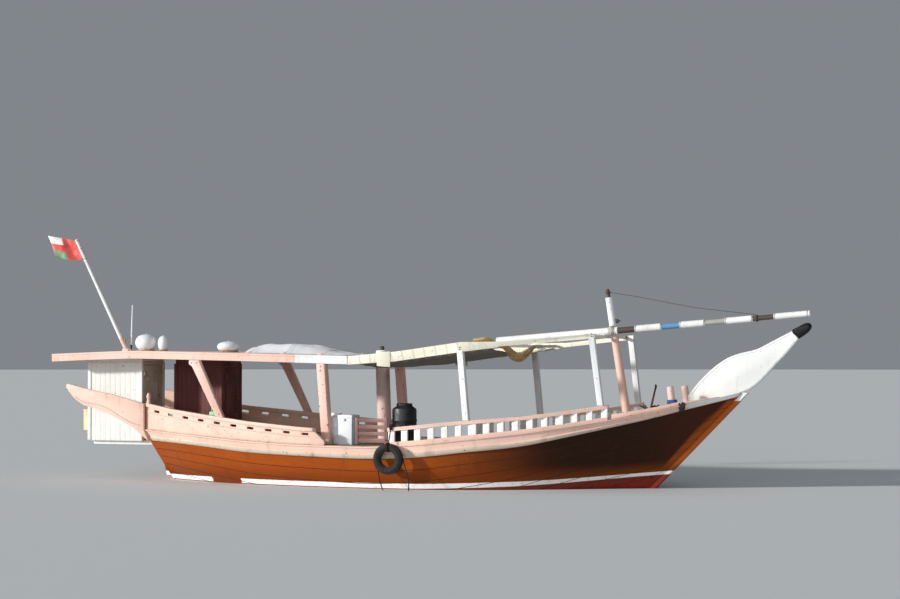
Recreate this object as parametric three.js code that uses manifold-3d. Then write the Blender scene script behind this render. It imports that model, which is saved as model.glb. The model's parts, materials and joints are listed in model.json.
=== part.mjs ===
// A wooden dhow, a passenger boat of the Gulf coast, afloat. Millimetres, +X to the bow, +Y to port,
// +Z up. The origin is on the centreline at the waterline, half way along the boat.
import * as THREE from "three";
import { mergeVertices } from "three/addons/utils/BufferGeometryUtils.js";
import Module from "manifold-3d";

const wasm = await Module();
wasm.setup();

// Driving dimensions of the hull
const GAP = 0.4; // left between pieces that touch
const PIN_ROOM = 0.7; // a bore's radius over its pin's
const SIDES = { starboard: -1, port: 1 };
const KEEL_Z = -1150; // lower edge of the planking, on the straight part of the keel
const KEEL_DEPTH = 200;
const KEEL_WIDTH = 160;
const STEM_WIDTH = 150;
const POST_WIDTH = 150;
const POST_DEPTH = 150;
const TRANSOM_THICK = 50;
const WALE_THICK = 60;
const DECK_THICK = 40;
const RAIL_THICK = 70; // bulwarks stand this thick on the deck's edge

// The hull's ribs lean with the stem forward and with the transom aft. Half breadths are to the
// outside of the planking at the deck's edge.
const STATION_COLUMNS = ["xDeck", "xKeel", "half", "deckZ", "waleZ", "keelZ", "fullness"];
const STATIONS = [
  [-6320, -5290, 1440, 1120, 870, KEEL_Z, 0.62],
  [-5400, -4500, 1830, 1070, 840, KEEL_Z, 0.42],
  [-4500, -3750, 2100, 1015, 785, KEEL_Z, 0.31],
  [-3300, -2750, 2370, 945, 695, KEEL_Z, 0.24],
  [-2000, -1700, 2520, 895, 655, KEEL_Z, 0.2],
  [-500, -500, 2580, 880, 625, KEEL_Z, 0.18],
  [500, 350, 2540, 940, 660, KEEL_Z, 0.18],
  [1700, 1200, 2330, 1065, 780, KEEL_Z, 0.21],
  [2800, 1900, 2010, 1190, 900, KEEL_Z, 0.27],
  [3800, 2450, 1610, 1340, 1110, KEEL_Z, 0.36],
  [4600, 2850, 1240, 1480, 1300, KEEL_Z, 0.46],
  [5300, 3200, 890, 1630, 1470, KEEL_Z, 0.58],
  [5900, 3500, 590, 1770, 1640, KEEL_Z, 0.72],
  [6450, 3780, 310, 1900, 1790, -1080, 0.86],
  [6880, 4050, 78, 2000, 1915, -880, 1],
];
const [STERN, STEM] = [0, STATIONS.length - 1];
const BOTTOM_HALF = KEEL_WIDTH / 2 - 5; // half width of the planking's lower edge
const ROWS_BELOW = [0, 0.08, 0.2, 0.36, 0.56, 0.78, 1]; // share of the height up to the wale

const PAINT = {
  varnish: { color: 0xa5521f, roughness: 0.4 },
  pink: { color: 0xf5d9cb, roughness: 0.65 },
  white: { color: 0xf1f1ec, roughness: 0.55 },
  cream: { color: 0xefe8d2, roughness: 0.6 },
  deck: { color: 0xb39a7c, roughness: 0.8 },
  maroon: { color: 0x6e3b36, roughness: 0.7 },
  mauve: { color: 0xb8988d, roughness: 0.7 },
  dark: { color: 0x2a2422, roughness: 0.7 },
  rubber: { color: 0x17181a, roughness: 0.9 },
  navy: { color: 0x18243a, roughness: 0.5 },
  rust: { color: 0x7c3c28, roughness: 0.9, metalness: 0.3 },
  bronze: { color: 0x8d6b35, roughness: 0.45, metalness: 0.9 },
  canvas: { color: 0xd9d0bb, roughness: 0.95 },
  ochre: { color: 0xb48a4a, roughness: 0.95 },
  tarp: { color: 0xe9eaf0, roughness: 0.85 },
  red: { color: 0xc8352c, roughness: 0.9 },
  green: { color: 0x9fdfae, roughness: 0.5 },
};

const boat = new THREE.Group();

// Shapes and joining

function solidOf(geometry, matrix = new THREE.Matrix4()) {
  const bare = geometry.clone();
  for (const name of ["normal", "uv"]) bare.deleteAttribute(name);
  bare.applyMatrix4(matrix);
  const merged = mergeVertices(bare, 1e-3);
  return new wasm.Manifold(
    new wasm.Mesh({
      numProp: 3,
      vertProperties: new Float32Array(merged.attributes.position.array),
      triVerts: new Uint32Array(merged.index.array),
    }),
  );
}

function geometryOf(solid) {
  const mesh = solid.getMesh();
  const geometry = new THREE.BufferGeometry();
  geometry.setAttribute("position", new THREE.BufferAttribute(mesh.vertProperties, 3));
  geometry.setIndex(new THREE.BufferAttribute(mesh.triVerts, 1));
  const flat = geometry.toNonIndexed();
  flat.computeVertexNormals();
  return flat;
}

const joined = (geometries) =>
  geometryOf(geometries.map((g) => solidOf(g)).reduce((a, b) => a.add(b)));
const cut = (geometry, tools) =>
  geometryOf(tools.map((g) => solidOf(g)).reduce((a, b) => a.subtract(b), solidOf(geometry)));

// A turned shape about Y from a profile of [radius, height] points.
const lathe = (profile, sides) =>
  new THREE.LatheGeometry(profile.map(([r, h]) => new THREE.Vector2(r, h)), sides);

// A box from its lowest to its highest corner.
function box([x0, y0, z0], [x1, y1, z1]) {
  const size = new THREE.BoxGeometry(x1 - x0, y1 - y0, z1 - z0);
  return size.translate((x0 + x1) / 2, (y0 + y1) / 2, (z0 + z1) / 2);
}

// A solid between rings of points, each ring [[x, y, z], ...] with the same count, first and last
// rings closed by flat fans. Rings run anticlockwise seen from the last ring.
function loft(rings) {
  const count = rings[0].length;
  const index = [];
  for (let i = 0; i + 1 < rings.length; i++)
    for (let j = 0; j < count; j++) {
      const k = (j + 1) % count;
      const [a, b] = [i * count + j, i * count + k];
      index.push(a, b, b + count, a, b + count, a + count);
    }
  const last = (rings.length - 1) * count;
  for (let j = 1; j + 1 < count; j++) {
    index.push(0, j + 1, j);
    index.push(last, last + j, last + j + 1);
  }
  const geometry = new THREE.BufferGeometry();
  geometry.setAttribute("position", new THREE.Float32BufferAttribute(rings.flat(2), 3));
  geometry.setIndex(index);
  return solidOf(geometry).volume() < 0 ? turnedOut(geometry) : geometry;
}

function turnedOut(geometry) {
  const index = geometry.index.array;
  for (let i = 0; i < index.length; i += 3) [index[i + 1], index[i + 2]] = [index[i + 2], index[i + 1]];
  return geometry;
}

// A flat board: an outline [[x, z], ...] in the XZ plane, from y0 to y1.
function board(outline, y0, y1, holes = []) {
  const shape = new THREE.Shape(outline.map(([x, z]) => new THREE.Vector2(x, z)));
  for (const hole of holes) shape.holes.push(new THREE.Path(hole.map(([x, z]) => new THREE.Vector2(x, z))));
  const geometry = new THREE.ExtrudeGeometry(shape, { depth: y1 - y0, bevelEnabled: false });
  return geometry.rotateX(Math.PI / 2).translate(0, y1, 0);
}

// A round timber from one point to another, with its two radii.
function pole(from, to, radiusFrom, radiusTo = radiusFrom, sides = 12) {
  const [a, b] = [new THREE.Vector3(...from), new THREE.Vector3(...to)];
  const along = b.clone().sub(a);
  const geometry = new THREE.CylinderGeometry(radiusTo, radiusFrom, along.length(), sides);
  geometry.applyQuaternion(
    new THREE.Quaternion().setFromUnitVectors(new THREE.Vector3(0, 1, 0), along.clone().normalize()),
  );
  const middle = a.add(b).multiplyScalar(0.5);
  return geometry.translate(middle.x, middle.y, middle.z);
}

// An upright pin or bore about x and y, from z0 to z1.
const upright = (x, y, z0, z1, radius, sides = 12) => pole([x, y, z0], [x, y, z1], radius, radius, sides);

// A square timber from one point to another in a plane of constant y, its ends cut level.
function post([x0, z0], [x1, z1], y, alongX, acrossY) {
  const outline = [
    [x0 - alongX / 2, z0],
    [x0 + alongX / 2, z0],
    [x1 + alongX / 2, z1],
    [x1 - alongX / 2, z1],
  ];
  return board(outline, y - acrossY / 2, y + acrossY / 2);
}

function piece(name, geometry, paint) {
  const mesh = new THREE.Mesh(
    geometry,
    new THREE.MeshStandardMaterial({ metalness: 0, ...PAINT[paint] }),
  );
  mesh.name = name;
  boat.add(mesh);
  return mesh;
}

// The hull's shape as functions

const stations = STATIONS.map((row) => Object.fromEntries(STATION_COLUMNS.map((key, i) => [key, row[i]])));

const mix = (a, b, t) => a + (b - a) * t;

// The outside of the planking on a station's rib at height z.
function onRib(station, z, outwards = 0) {
  const t = Math.max(0, (z - station.keelZ) / (station.deckZ - station.keelZ));
  const half = mix(BOTTOM_HALF, station.half, t ** station.fullness);
  return [mix(station.xKeel, station.xDeck, t), -(half + outwards), z];
}

// A value of the stations' table at a place x along the deck.
function atDeck(key, x) {
  const i = Math.min(Math.max(stations.findIndex((s) => s.xDeck >= x), 1), STEM);
  const [a, b] = [stations[i - 1], stations[i]];
  return mix(a[key], b[key], (x - a.xDeck) / (b.xDeck - a.xDeck));
}

const deckZ = (x) => atDeck("deckZ", x);
const deckHalf = (x) => atDeck("half", x);
const mirrored = (ring) => ring.map(([x, y, z]) => [x, -y, z]).reverse();
const bothSides = (ring) => [...ring, ...mirrored(ring)];
const onSide = (side, ring) => (side < 0 ? ring : mirrored(ring));

// Hull, deck, wales and keel

const hullRows = (s) => [...ROWS_BELOW.map((t) => mix(s.keelZ, s.waleZ, t)), s.deckZ - DECK_THICK];
const rib = (s) => hullRows(s).map((z) => onRib(s, z));
piece("hull", loft(stations.map((s) => bothSides(rib(s)))), "varnish");

const deckRing = (s) =>
  bothSides([s.deckZ - DECK_THICK + GAP, s.deckZ].map((z) => onRib(s, z)));
piece("deck", loft(stations.map(deckRing)), "deck");

function waleRing(station, index) {
  const heights = [station.waleZ, station.deckZ - DECK_THICK, station.deckZ];
  const thick = index === STEM ? WALE_THICK / 2 : WALE_THICK;
  const inner = heights.map((z) => onRib(station, z, GAP));
  const outer = heights.map((z) => onRib(station, z, thick)).reverse();
  return [...inner, ...outer];
}
for (const [name, side] of Object.entries(SIDES))
  piece(`wale_${name}`, loft(stations.map((s, i) => onSide(side, waleRing(s, i)))), "pink");

// Everything under the deck's face, to cut the feet of what stands on it.
const underDeck = loft(
  stations.map(({ xDeck, deckZ: z }) => [
    [xDeck, -3000, -3000],
    [xDeck, 3000, -3000],
    [xDeck, 3000, z + GAP],
    [xDeck, -3000, z + GAP],
  ]),
);
const onDeck = (geometry) => cut(geometry, [underDeck]);

const FOREFOOT_X = 3300; // scarf between keel and stem
const KEEL_AFT_X = -5460;
const STEM_PROUD = 130; // how far the stem's face stands ahead of the planking, along x
const stemRib = stations[STEM];
piece(
  "keel",
  box([KEEL_AFT_X, -KEEL_WIDTH / 2, KEEL_Z - KEEL_DEPTH], [FOREFOOT_X - GAP, KEEL_WIDTH / 2, KEEL_Z - GAP]),
  "varnish",
);

const forefoot = new THREE.QuadraticBezierCurve(
  new THREE.Vector2(FOREFOOT_X, KEEL_Z - KEEL_DEPTH),
  new THREE.Vector2(stemRib.xKeel - 330, KEEL_Z - KEEL_DEPTH),
  new THREE.Vector2(stemRib.xKeel + STEM_PROUD, stemRib.keelZ),
).getPoints(6);
const stemBack = stations.slice(-3).map((s) => [s.xKeel + GAP, s.keelZ - GAP]);
const STEM_TOP_Z = stemRib.deckZ;
piece(
  "stem",
  board(
    [
      ...forefoot.map((p) => [p.x, p.y]),
      [stemRib.xDeck + STEM_PROUD, STEM_TOP_Z],
      [stemRib.xDeck + GAP, STEM_TOP_Z],
      ...stemBack.reverse(),
      [FOREFOOT_X, KEEL_Z - GAP],
    ],
    -STEM_WIDTH / 2,
    STEM_WIDTH / 2,
  ),
  "varnish",
);

// Stern: transom, sternpost and rudder share a frame that leans with the transom. In it u runs aft
// from the planking's end, square to the transom, and w runs up along it from the keel.
const aftRib = stations[STERN];
const RAKE = Math.atan2(aftRib.xKeel - aftRib.xDeck, aftRib.deckZ - aftRib.keelZ);
const leaning = (geometry) => geometry.rotateY(-RAKE).translate(aftRib.xKeel, 0, aftRib.keelZ);
const leaningBoard = (outline, y0, y1, holes = []) =>
  board(outline.map(([u, w]) => [-u, w]), y0, y1, holes.map((h) => h.map(([u, w]) => [-u, w])));
const LEAN_HEIGHT = (aftRib.deckZ - aftRib.keelZ) / Math.cos(RAKE);

const transomRing = (out) =>
  bothSides([...hullRows(aftRib).slice(0, -1), aftRib.deckZ].map((z) => onRib(aftRib, z))).map(
    ([x, y, z]) => [x - out / Math.cos(RAKE), y, z],
  );

const POST_U = TRANSOM_THICK + GAP; // forward face of the sternpost
const RUDDER_U = POST_U + POST_DEPTH + 78; // the rudder's axis
const RUDDER_EDGE_R = 65; // rounded leading edge
const RUDDER_THICK = 80;
const PIN_R = 20;
const GUDGEON_R = 45;
const GUDGEON_HEIGHT = 100;
const GUDGEON_W = [60, 1330, 2150];
const NOTCH_ROOM = 15; // room round a gudgeon in the rudder
const SHAFT_Z = -620;
const PROP_R = 300;
const APERTURE_HALF = 370; // room for the propeller in the rudder's leading edge
const APERTURE_U = 430;
const SHAFT_R = 32;

const leanAt = (u, w) => [
  aftRib.xKeel - u * Math.cos(RAKE) - w * Math.sin(RAKE),
  aftRib.keelZ - u * Math.sin(RAKE) + w * Math.cos(RAKE),
];
const leanW = (u, z) => (z - aftRib.keelZ + u * Math.sin(RAKE)) / Math.cos(RAKE);
const shaftW = leanW(RUDDER_U, SHAFT_Z);

const postBlock = leaning(
  leaningBoard(
    [
      [POST_U, -200],
      [POST_U + POST_DEPTH, -200],
      [POST_U + POST_DEPTH, LEAN_HEIGHT - 20],
      [POST_U, LEAN_HEIGHT - 20],
    ],
    -POST_WIDTH / 2,
    POST_WIDTH / 2,
  ),
);
const BIG = 30000;
const belowKeelTop = box([-BIG, -BIG, -BIG], [BIG, BIG, KEEL_Z + GAP]);
const shaftBore = new THREE.CylinderGeometry(SHAFT_R + 6, SHAFT_R + 6, 1600, 20)
  .rotateZ(Math.PI / 2)
  .translate(leanAt(POST_U, shaftW)[0], 0, SHAFT_Z);
piece("transom", cut(loft([transomRing(GAP), transomRing(TRANSOM_THICK)]), [shaftBore]), "varnish");

const rudderBlade = leaningBoard(
  [
    [0, -40],
    [560, 60],
    [720, 420],
    [700, 900],
    [420, 1500],
    [300, 2330],
    [0, 2380],
  ],
  -RUDDER_THICK / 2,
  RUDDER_THICK / 2,
);
const roundAxis = (r, w0, w1, sides = 20) =>
  new THREE.CylinderGeometry(r, r, w1 - w0, sides).rotateX(Math.PI / 2).translate(0, 0, (w0 + w1) / 2);
const notches = GUDGEON_W.map((w) => {
  const [low, high] = [w - GUDGEON_HEIGHT / 2 - NOTCH_ROOM, w + GUDGEON_HEIGHT / 2 + NOTCH_ROOM];
  const ahead = box([0, -RUDDER_EDGE_R - 5, low], [RUDDER_EDGE_R + 5, RUDDER_EDGE_R + 5, high]);
  return joined([roundAxis(GUDGEON_R + NOTCH_ROOM, low, high), ahead]);
});
const pins = GUDGEON_W.map((w) =>
  roundAxis(PIN_R, w - GUDGEON_HEIGHT / 2 - NOTCH_ROOM - 5, w + GUDGEON_HEIGHT / 2 + NOTCH_ROOM + 5, 16),
);
const aperture = leaningBoard(
  [
    [-200, shaftW - APERTURE_HALF],
    [APERTURE_U, shaftW - APERTURE_HALF],
    [APERTURE_U, shaftW + APERTURE_HALF],
    [-200, shaftW + APERTURE_HALF],
  ],
  -200,
  200,
);
const rudderWood = joined([rudderBlade, roundAxis(RUDDER_EDGE_R, -40, 2380)]);
piece(
  "rudder",
  leaning(joined([cut(rudderWood, [...notches, aperture]), ...pins]).translate(-RUDDER_U, 0, 0)),
  "varnish",
);

// Each gudgeon is an eye on a tongue, let into the sternpost's after face.
const gudgeons = GUDGEON_W.map((w) => {
  const low = w - GUDGEON_HEIGHT / 2;
  const high = w + GUDGEON_HEIGHT / 2;
  const tongue = box([0, -30, low], [RUDDER_U - POST_U - POST_DEPTH + 20, 30, high]);
  const eye = joined([roundAxis(GUDGEON_R, low, high), tongue]);
  const bored = cut(eye, [roundAxis(PIN_R + 0.8, low - 10, high + 10)]);
  return leaning(bored.translate(-RUDDER_U, 0, 0));
});
piece("sternpost", cut(joined([postBlock, ...gudgeons]), [belowKeelTop, shaftBore]), "varnish");

// Propeller and shaft: they turn together in the sternpost's bore, with the blades in the rudder's
// aperture.
const PROP_X = leanAt(RUDDER_U, shaftW)[0] - 90; // middle of the propeller
const HUB_HALF = 70;
const SHAFT_START_X = leanAt(0, leanW(0, SHAFT_Z + SHAFT_R))[0] - GAP;
const shaft = pole([SHAFT_START_X, 0, SHAFT_Z], [PROP_X, 0, SHAFT_Z], SHAFT_R, SHAFT_R, 20);

const BLADES = 3;
const BLADE_WIDTH = 200;
const BLADE_THICK = 16;
const BLADE_PITCH = 0.5; // radians from the propeller's plane
function blade(turn) {
  const outline = new THREE.Shape();
  outline.moveTo(-45, 40);
  outline.quadraticCurveTo(-BLADE_WIDTH * 0.75, PROP_R * 0.75, -20, PROP_R);
  outline.lineTo(20, PROP_R);
  outline.quadraticCurveTo(BLADE_WIDTH * 0.75, PROP_R * 0.75, 45, 40);
  const sizes = { depth: BLADE_THICK, bevelEnabled: false, curveSegments: 5 };
  const flat = new THREE.ExtrudeGeometry(outline, sizes);
  flat.translate(0, 0, -BLADE_THICK / 2).rotateY(Math.PI / 2 - BLADE_PITCH);
  return flat.rotateX(turn);
}
const hub = pole([-HUB_HALF, 0, 0], [HUB_HALF, 0, 0], 55, 65, 20);
const blades = Array.from({ length: BLADES }, (_, i) => blade((i * 2 * Math.PI) / BLADES));
piece("propeller", joined([joined([hub, ...blades]).translate(PROP_X, 0, SHAFT_Z), shaft]), "bronze");

// Bow: the head board and its black cap stand on the deck over the stem.
const HEAD_THICK = 110;
const HEAD_TIP = [8050, 3100];
const headLow = [
  [6860, 2010],
  [7060, 2080],
  [7310, 2290],
  [7580, 2590],
  [7790, 2800],
  HEAD_TIP,
];
const headHigh = [
  [7920, 3260],
  [7490, 3040],
  [7190, 2890],
  [6820, 2800],
  [6580, 2710],
  [6270, 2500],
  [5960, 2200],
  [5720, 1900],
];
const HEAD_FOOT_X = 5720;
const headBase = [HEAD_FOOT_X, 5900, 6450].map((x) => [x, deckZ(x) + GAP]);
piece("prow_head", board([...headLow, ...headHigh, ...headBase], -HEAD_THICK / 2, HEAD_THICK / 2), "white");

const capOutline = [
  [HEAD_TIP[0] + GAP, HEAD_TIP[1]],
  [8240, 3250],
  [8310, 3330],
  [8300, 3400],
  [8210, 3425],
  [8080, 3370],
  [headHigh[0][0] + GAP, headHigh[0][1]],
];
piece("prow_cap", board(capOutline, -75, 75), "rubber");

// Rails and bulwarks. Each runs along the deck's edge by a table of places, with its heights above
// the water. A side's line stands inside the wale, and bends with the deck.
const RAIL_IN = 20; // from the planking's outside in to the rail's outer face
const alongEdge = (x, inwards) => -(deckHalf(x) - inwards);

// A strip that follows the deck's edge: columns x, low, high, for outer and inner faces.
function edgeStrip(side, places, outer, inner) {
  return loft(
    places.map(([x, low, high]) =>
      onSide(side, [
        [x, alongEdge(x, inner), low],
        [x, alongEdge(x, inner), high],
        [x, alongEdge(x, outer), high],
        [x, alongEdge(x, outer), low],
      ]),
    ),
  );
}

// Heights of the after bulwark's top edge at its places, from the stern forward.
const BULWARK_TOP = [
  [-6300, 1640],
  [-5400, 1520],
  [-4500, 1425],
  [-3300, 1300],
  [-2000, 1200],
  [-1650, 1185],
];
const BULWARK_END = [-1400, 975]; // its fore end slants down to the deck
const CAP_HEIGHT = 60;
const CAP_OVERHANG = 45;
const SLOT_COUNT = 10; // short slots cut under the cap rail
const SLOT_SPAN = [-5950, -1850];
const SLOT_SIZE = [170, 55];
const bulwarkTop = (x) => {
  const i = Math.max(1, BULWARK_TOP.findIndex(([at]) => at >= x));
  const [[xa, za], [xb, zb]] = [BULWARK_TOP[i - 1], BULWARK_TOP[i]];
  return mix(za, zb, (x - xa) / (xb - xa));
};

for (const [name, side] of Object.entries(SIDES)) {
  const places = [...BULWARK_TOP, BULWARK_END].map(([x, top]) => [x, deckZ(x) + GAP, top]);
  const wall = edgeStrip(side, places, RAIL_IN, RAIL_IN + RAIL_THICK);
  const slots = Array.from({ length: SLOT_COUNT }, (_, i) => {
    const x = mix(...SLOT_SPAN, i / (SLOT_COUNT - 1));
    const z = bulwarkTop(x) - 75;
    const slope = (bulwarkTop(x + 100) - bulwarkTop(x - 100)) / 200;
    const [half, high] = [SLOT_SIZE[0] / 2, SLOT_SIZE[1] / 2];
    const outline = [
      [x - half, z - high - slope * half],
      [x + half, z - high + slope * half],
      [x + half, z + high + slope * half],
      [x - half, z + high - slope * half],
    ];
    const y = side * (deckHalf(x) - RAIL_IN);
    return board(outline, y - 300, y + 300);
  });
  const cap = BULWARK_TOP.map(([x, top]) => [x, top - 10, top + CAP_HEIGHT]);
  const rail = edgeStrip(side, cap, RAIL_IN - CAP_OVERHANG, RAIL_IN + RAIL_THICK + CAP_OVERHANG);
  piece(`aft_bulwark_${name}`, joined([cut(wall, slots), rail]), "pink");
}

// Forward balustrades: a lower and an upper rail with balusters between, joined in one piece.
const BALUSTER_X = { first: 130, last: 4330, count: 16, width: 135 };
const BALUSTRADE = [
  [50, 370],
  [1160, 385],
  [2800, 335],
  [4240, 315],
  [4400, 315],
].map(([x, above]) => [x, deckZ(x) + GAP, deckZ(x) + above]);
const LOW_RAIL = 70;
const TOP_RAIL = 75;
const RAIL_WIDE = 90;
const BALUSTER_THICK = 60;
const railSections = [50, 500, 1160, 1700, 2800, 3800, 4400];
// The boarding gate hangs on two eyes at the starboard balustrade's after end.
const GATE = { x: [-690, 20], top: 560, y: -2490, slats: 4 };
const GATE_PIN = 9;
const GATE_HINGES = [1010, 1210];
const gateEyes = GATE_HINGES.map((z) => {
  const arm = box([GATE.x[1], GATE.y - 15, z - 9], [80, GATE.y + 15, z + 9]);
  const eye = upright(GATE.x[1], GATE.y, z - 9, z + 9, 17, 16);
  const bore = upright(GATE.x[1], GATE.y, z - 15, z + 15, GATE_PIN + PIN_ROOM);
  return cut(joined([arm, eye]), [bore]);
});
const balustradeTop = (x) => {
  const i = Math.max(1, BALUSTRADE.findIndex(([at]) => at >= x));
  const [a, b] = [BALUSTRADE[i - 1], BALUSTRADE[i]];
  return mix(a[2], b[2], (x - a[0]) / (b[0] - a[0]));
};
const balusterPlaces = Array.from({ length: BALUSTER_X.count }, (_, i) =>
  mix(BALUSTER_X.first, BALUSTER_X.last, i / (BALUSTER_X.count - 1)),
);
for (const [name, side] of Object.entries(SIDES)) {
  const low = railSections.map((x) => [x, deckZ(x) + GAP, deckZ(x) + LOW_RAIL]);
  const high = railSections.map((x) => [x, balustradeTop(x) - TOP_RAIL, balustradeTop(x)]);
  const balusters = balusterPlaces.map((x) => {
    const y = side * (deckHalf(x) - RAIL_IN - RAIL_WIDE / 2);
    const outline = [x - BALUSTER_X.width / 2, x + BALUSTER_X.width / 2];
    return box(
      [outline[0], y - BALUSTER_THICK / 2, deckZ(x) + LOW_RAIL / 2],
      [outline[1], y + BALUSTER_THICK / 2, balustradeTop(x) - TOP_RAIL / 2],
    );
  });
  const rails = [low, high].map((places) => edgeStrip(side, places, RAIL_IN, RAIL_IN + RAIL_WIDE));
  const eyes = side < 0 ? gateEyes : [];
  piece(`fore_rail_${name}`, joined([...rails, ...balusters, ...eyes]), "white");
}

// Low bulwark round the bow, up to the head board.
const BOW_BULWARK = [
  [4470, 110],
  [4960, 90],
  [5300, 85],
  [5700, 90],
  [5900, 60],
  [6450, 20],
].map(([x, above]) => [x, deckZ(x) + GAP, deckZ(x) + above]);
for (const [name, side] of Object.entries(SIDES))
  piece(`bow_bulwark_${name}`, edgeStrip(side, BOW_BULWARK, RAIL_IN, RAIL_IN + RAIL_THICK), "pink");

// Bitts just inside the bow bulwark, leaning aft.
const BITT = { x: 5560, half: 560, radius: 85, height: 440, lean: 60 };
for (const [name, side] of Object.entries(SIDES)) {
  const foot = [BITT.x, side * BITT.half, deckZ(BITT.x) - 50];
  const head = [BITT.x - BITT.lean, side * BITT.half, deckZ(BITT.x) + BITT.height];
  const timber = pole(foot, head, BITT.radius, BITT.radius * 0.9, 14);
  piece(`bitt_${name}`, onDeck(timber), "pink");
}

// Stern above the transom: the wings, the beam between them and the taffrail on the port side.
const transomX = (z) => mix(aftRib.xKeel, aftRib.xDeck, (z - KEEL_Z) / (aftRib.deckZ - KEEL_Z));
const WING_Y = [aftRib.half + GAP, aftRib.half + 85];
const wingOutline = [
  [aftRib.xDeck - 3 * GAP, aftRib.deckZ + 1],
  [aftRib.xDeck - 3 * GAP, 1690],
  [-6670, 1770],
  [-7190, 1900],
  [-7710, 1990],
  [-7970, 2050],
  [-8270, 2125],
  [-8330, 2110],
  [-8340, 2050],
  [-8260, 1940],
  [-8100, 1780],
  [-7890, 1650],
  [-7530, 1570],
  [-7190, 1450],
  [-6800, 1260],
  [-6570, 1150],
  [-6410, 1020],
  [transomX(aftRib.waleZ) - 2 * GAP, aftRib.waleZ],
];
const wings = [board(wingOutline, -WING_Y[1], -WING_Y[0]), board(wingOutline, ...WING_Y)];
const sternBeam = box([-8080, -WING_Y[0] - 10, 1790], [-7970, WING_Y[0] + 10, 1930]);
piece("quarter_wings", joined([...wings, sternBeam]), "pink");

const TAFFRAIL_Y = [-200, 1300];
const TAFFRAIL_TOP = 1640;
piece(
  "taffrail",
  onDeck(
    joined([
      box([-6290, TAFFRAIL_Y[0], 1000], [-6230, TAFFRAIL_Y[1], TAFFRAIL_TOP]),
      box([-6300, TAFFRAIL_Y[0] - 30, TAFFRAIL_TOP - 50], [-6190, TAFFRAIL_Y[1], TAFFRAIL_TOP + 20]),
    ]),
  ),
  "pink",
);

// A hut of boards: walls round a floor plan, with a doorway in its forward face.
function hut({ x, y, z, wall, doorway }) {
  const shell = box([x[0], y[0], z[0]], [x[1], y[1], z[1]]);
  const room = box([x[0] + wall, y[0] + wall, z[0] + wall], [x[1] - wall, y[1] - wall, z[1] - wall]);
  const hole = box([x[1] - wall - 20, doorway.y[0], doorway.z[0]], [x[1] + 20, doorway.y[1], doorway.z[1]]);
  return cut(shell, [room, hole]);
}
const DOOR_GAP = 6;
const DOOR_THICK = 30;
const DOOR_PROUD = 8;
// A door panel in a doorway, standing a little proud of the face, with its knob.
function door({ x, doorway }, knobY) {
  const face = x[1];
  const [y0, y1] = doorway.y;
  const [z0, z1] = doorway.z;
  const panel = box(
    [face - DOOR_THICK + DOOR_PROUD, y0 + DOOR_GAP, z0 + DOOR_GAP],
    [face + DOOR_PROUD, y1 - DOOR_GAP, z1 - DOOR_GAP],
  );
  const knob = pole([face, knobY, (z0 + z1) / 2], [face + 50, knobY, (z0 + z1) / 2], 18, 18, 12);
  return joined([panel, knob]);
}

// A hinge with an upright pin on a forward face: lugs and pin on the wall, and a barrel on the door,
// which opens forwards about the pin at hingeX and hingeY.
const HINGE = { ahead: 20, pin: 5, barrel: 10, high: 60, lug: 12, room: 1 };
const hingeX = ({ x }) => x[1] + HINGE.ahead;
const hingeY = ({ doorway }) => doorway.y[0] + DOOR_GAP;
const hingeHeights = ({ doorway }) => [doorway.z[0] + 180, doorway.z[1] - 180];
function wallHinges(plan) {
  const [x, y, face] = [hingeX(plan), hingeY(plan), plan.x[1]];
  return hingeHeights(plan).flatMap((z) => {
    const reach = HINGE.high / 2 + HINGE.room;
    const leaf = box([face - 5, y - 50, z - reach - HINGE.lug], [x + 11, y - 13, z + reach + HINGE.lug]);
    const arms = [z - reach - HINGE.lug, z + reach].map((low) =>
      box([x - 8, y - 20, low], [x + 8, y + 8, low + HINGE.lug]),
    );
    return [leaf, ...arms, upright(x, y, z - reach - 5, z + reach + 5, HINGE.pin)];
  });
}
function doorHinges(plan) {
  const [x, y, face] = [hingeX(plan), hingeY(plan), plan.x[1]];
  const bores = hingeHeights(plan).map((z) => upright(x, y, z - 40, z + 40, HINGE.pin + PIN_ROOM));
  const barrels = hingeHeights(plan).flatMap((z) => [
    upright(x, y, z - HINGE.high / 2, z + HINGE.high / 2, HINGE.barrel),
    box([face + 5, y + 1, z - HINGE.high / 2], [x, y + 80, z + HINGE.high / 2]),
  ]);
  return { barrels, bores };
}
const hungDoor = (plan, knobY) => {
  const { barrels, bores } = doorHinges(plan);
  return cut(joined([door(plan, knobY), ...barrels]), bores);
};

// Heads cabin, hung aft of the transom on two bearers
const HEADS = {
  x: [-7860, -6490],
  y: [-1300, -350],
  z: [850, 2640],
  wall: 30,
  doorway: { y: [-1200, -560], z: [1180, 2540] },
};
const transomAft = (z) => transomX(z) - TRANSOM_THICK / Math.cos(RAKE);
const BEARER = { z: [770, HEADS.z[0] + 10], aft: HEADS.x[0] + 60, wide: 100, at: [-1150, -500] };
const bearers = BEARER.at.map((y) => {
  const fore = BEARER.z.map((z) => [transomAft(z) - 2 * GAP, z]);
  const outline = [[BEARER.aft, BEARER.z[0]], fore[0], fore[1], [BEARER.aft, BEARER.z[1]]];
  return board(outline, y - BEARER.wide / 2, y + BEARER.wide / 2);
});
const locker = box([-8020, -1290, 1080], [HEADS.x[0] + 10, -900, 1530]);
piece("heads_cabin", joined([hut(HEADS), ...bearers, locker, ...wallHinges(HEADS)]), "cream");
piece("heads_door", hungDoor(HEADS, -640), "cream");

// Wheelhouse cabin on the after deck
const CABIN = {
  x: [-6120, -4930],
  y: [-450, 450],
  z: [1000, 2600],
  wall: 30,
  doorway: { y: [-300, 320], z: [1110, 2480] },
};
const cabinWalls = hut({ ...CABIN, z: [900, CABIN.z[1]] });
piece("wheelhouse", onDeck(joined([cabinWalls, ...wallHinges(CABIN)])), "maroon");
piece("wheelhouse_door", hungDoor(CABIN, 240), "maroon");

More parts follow.
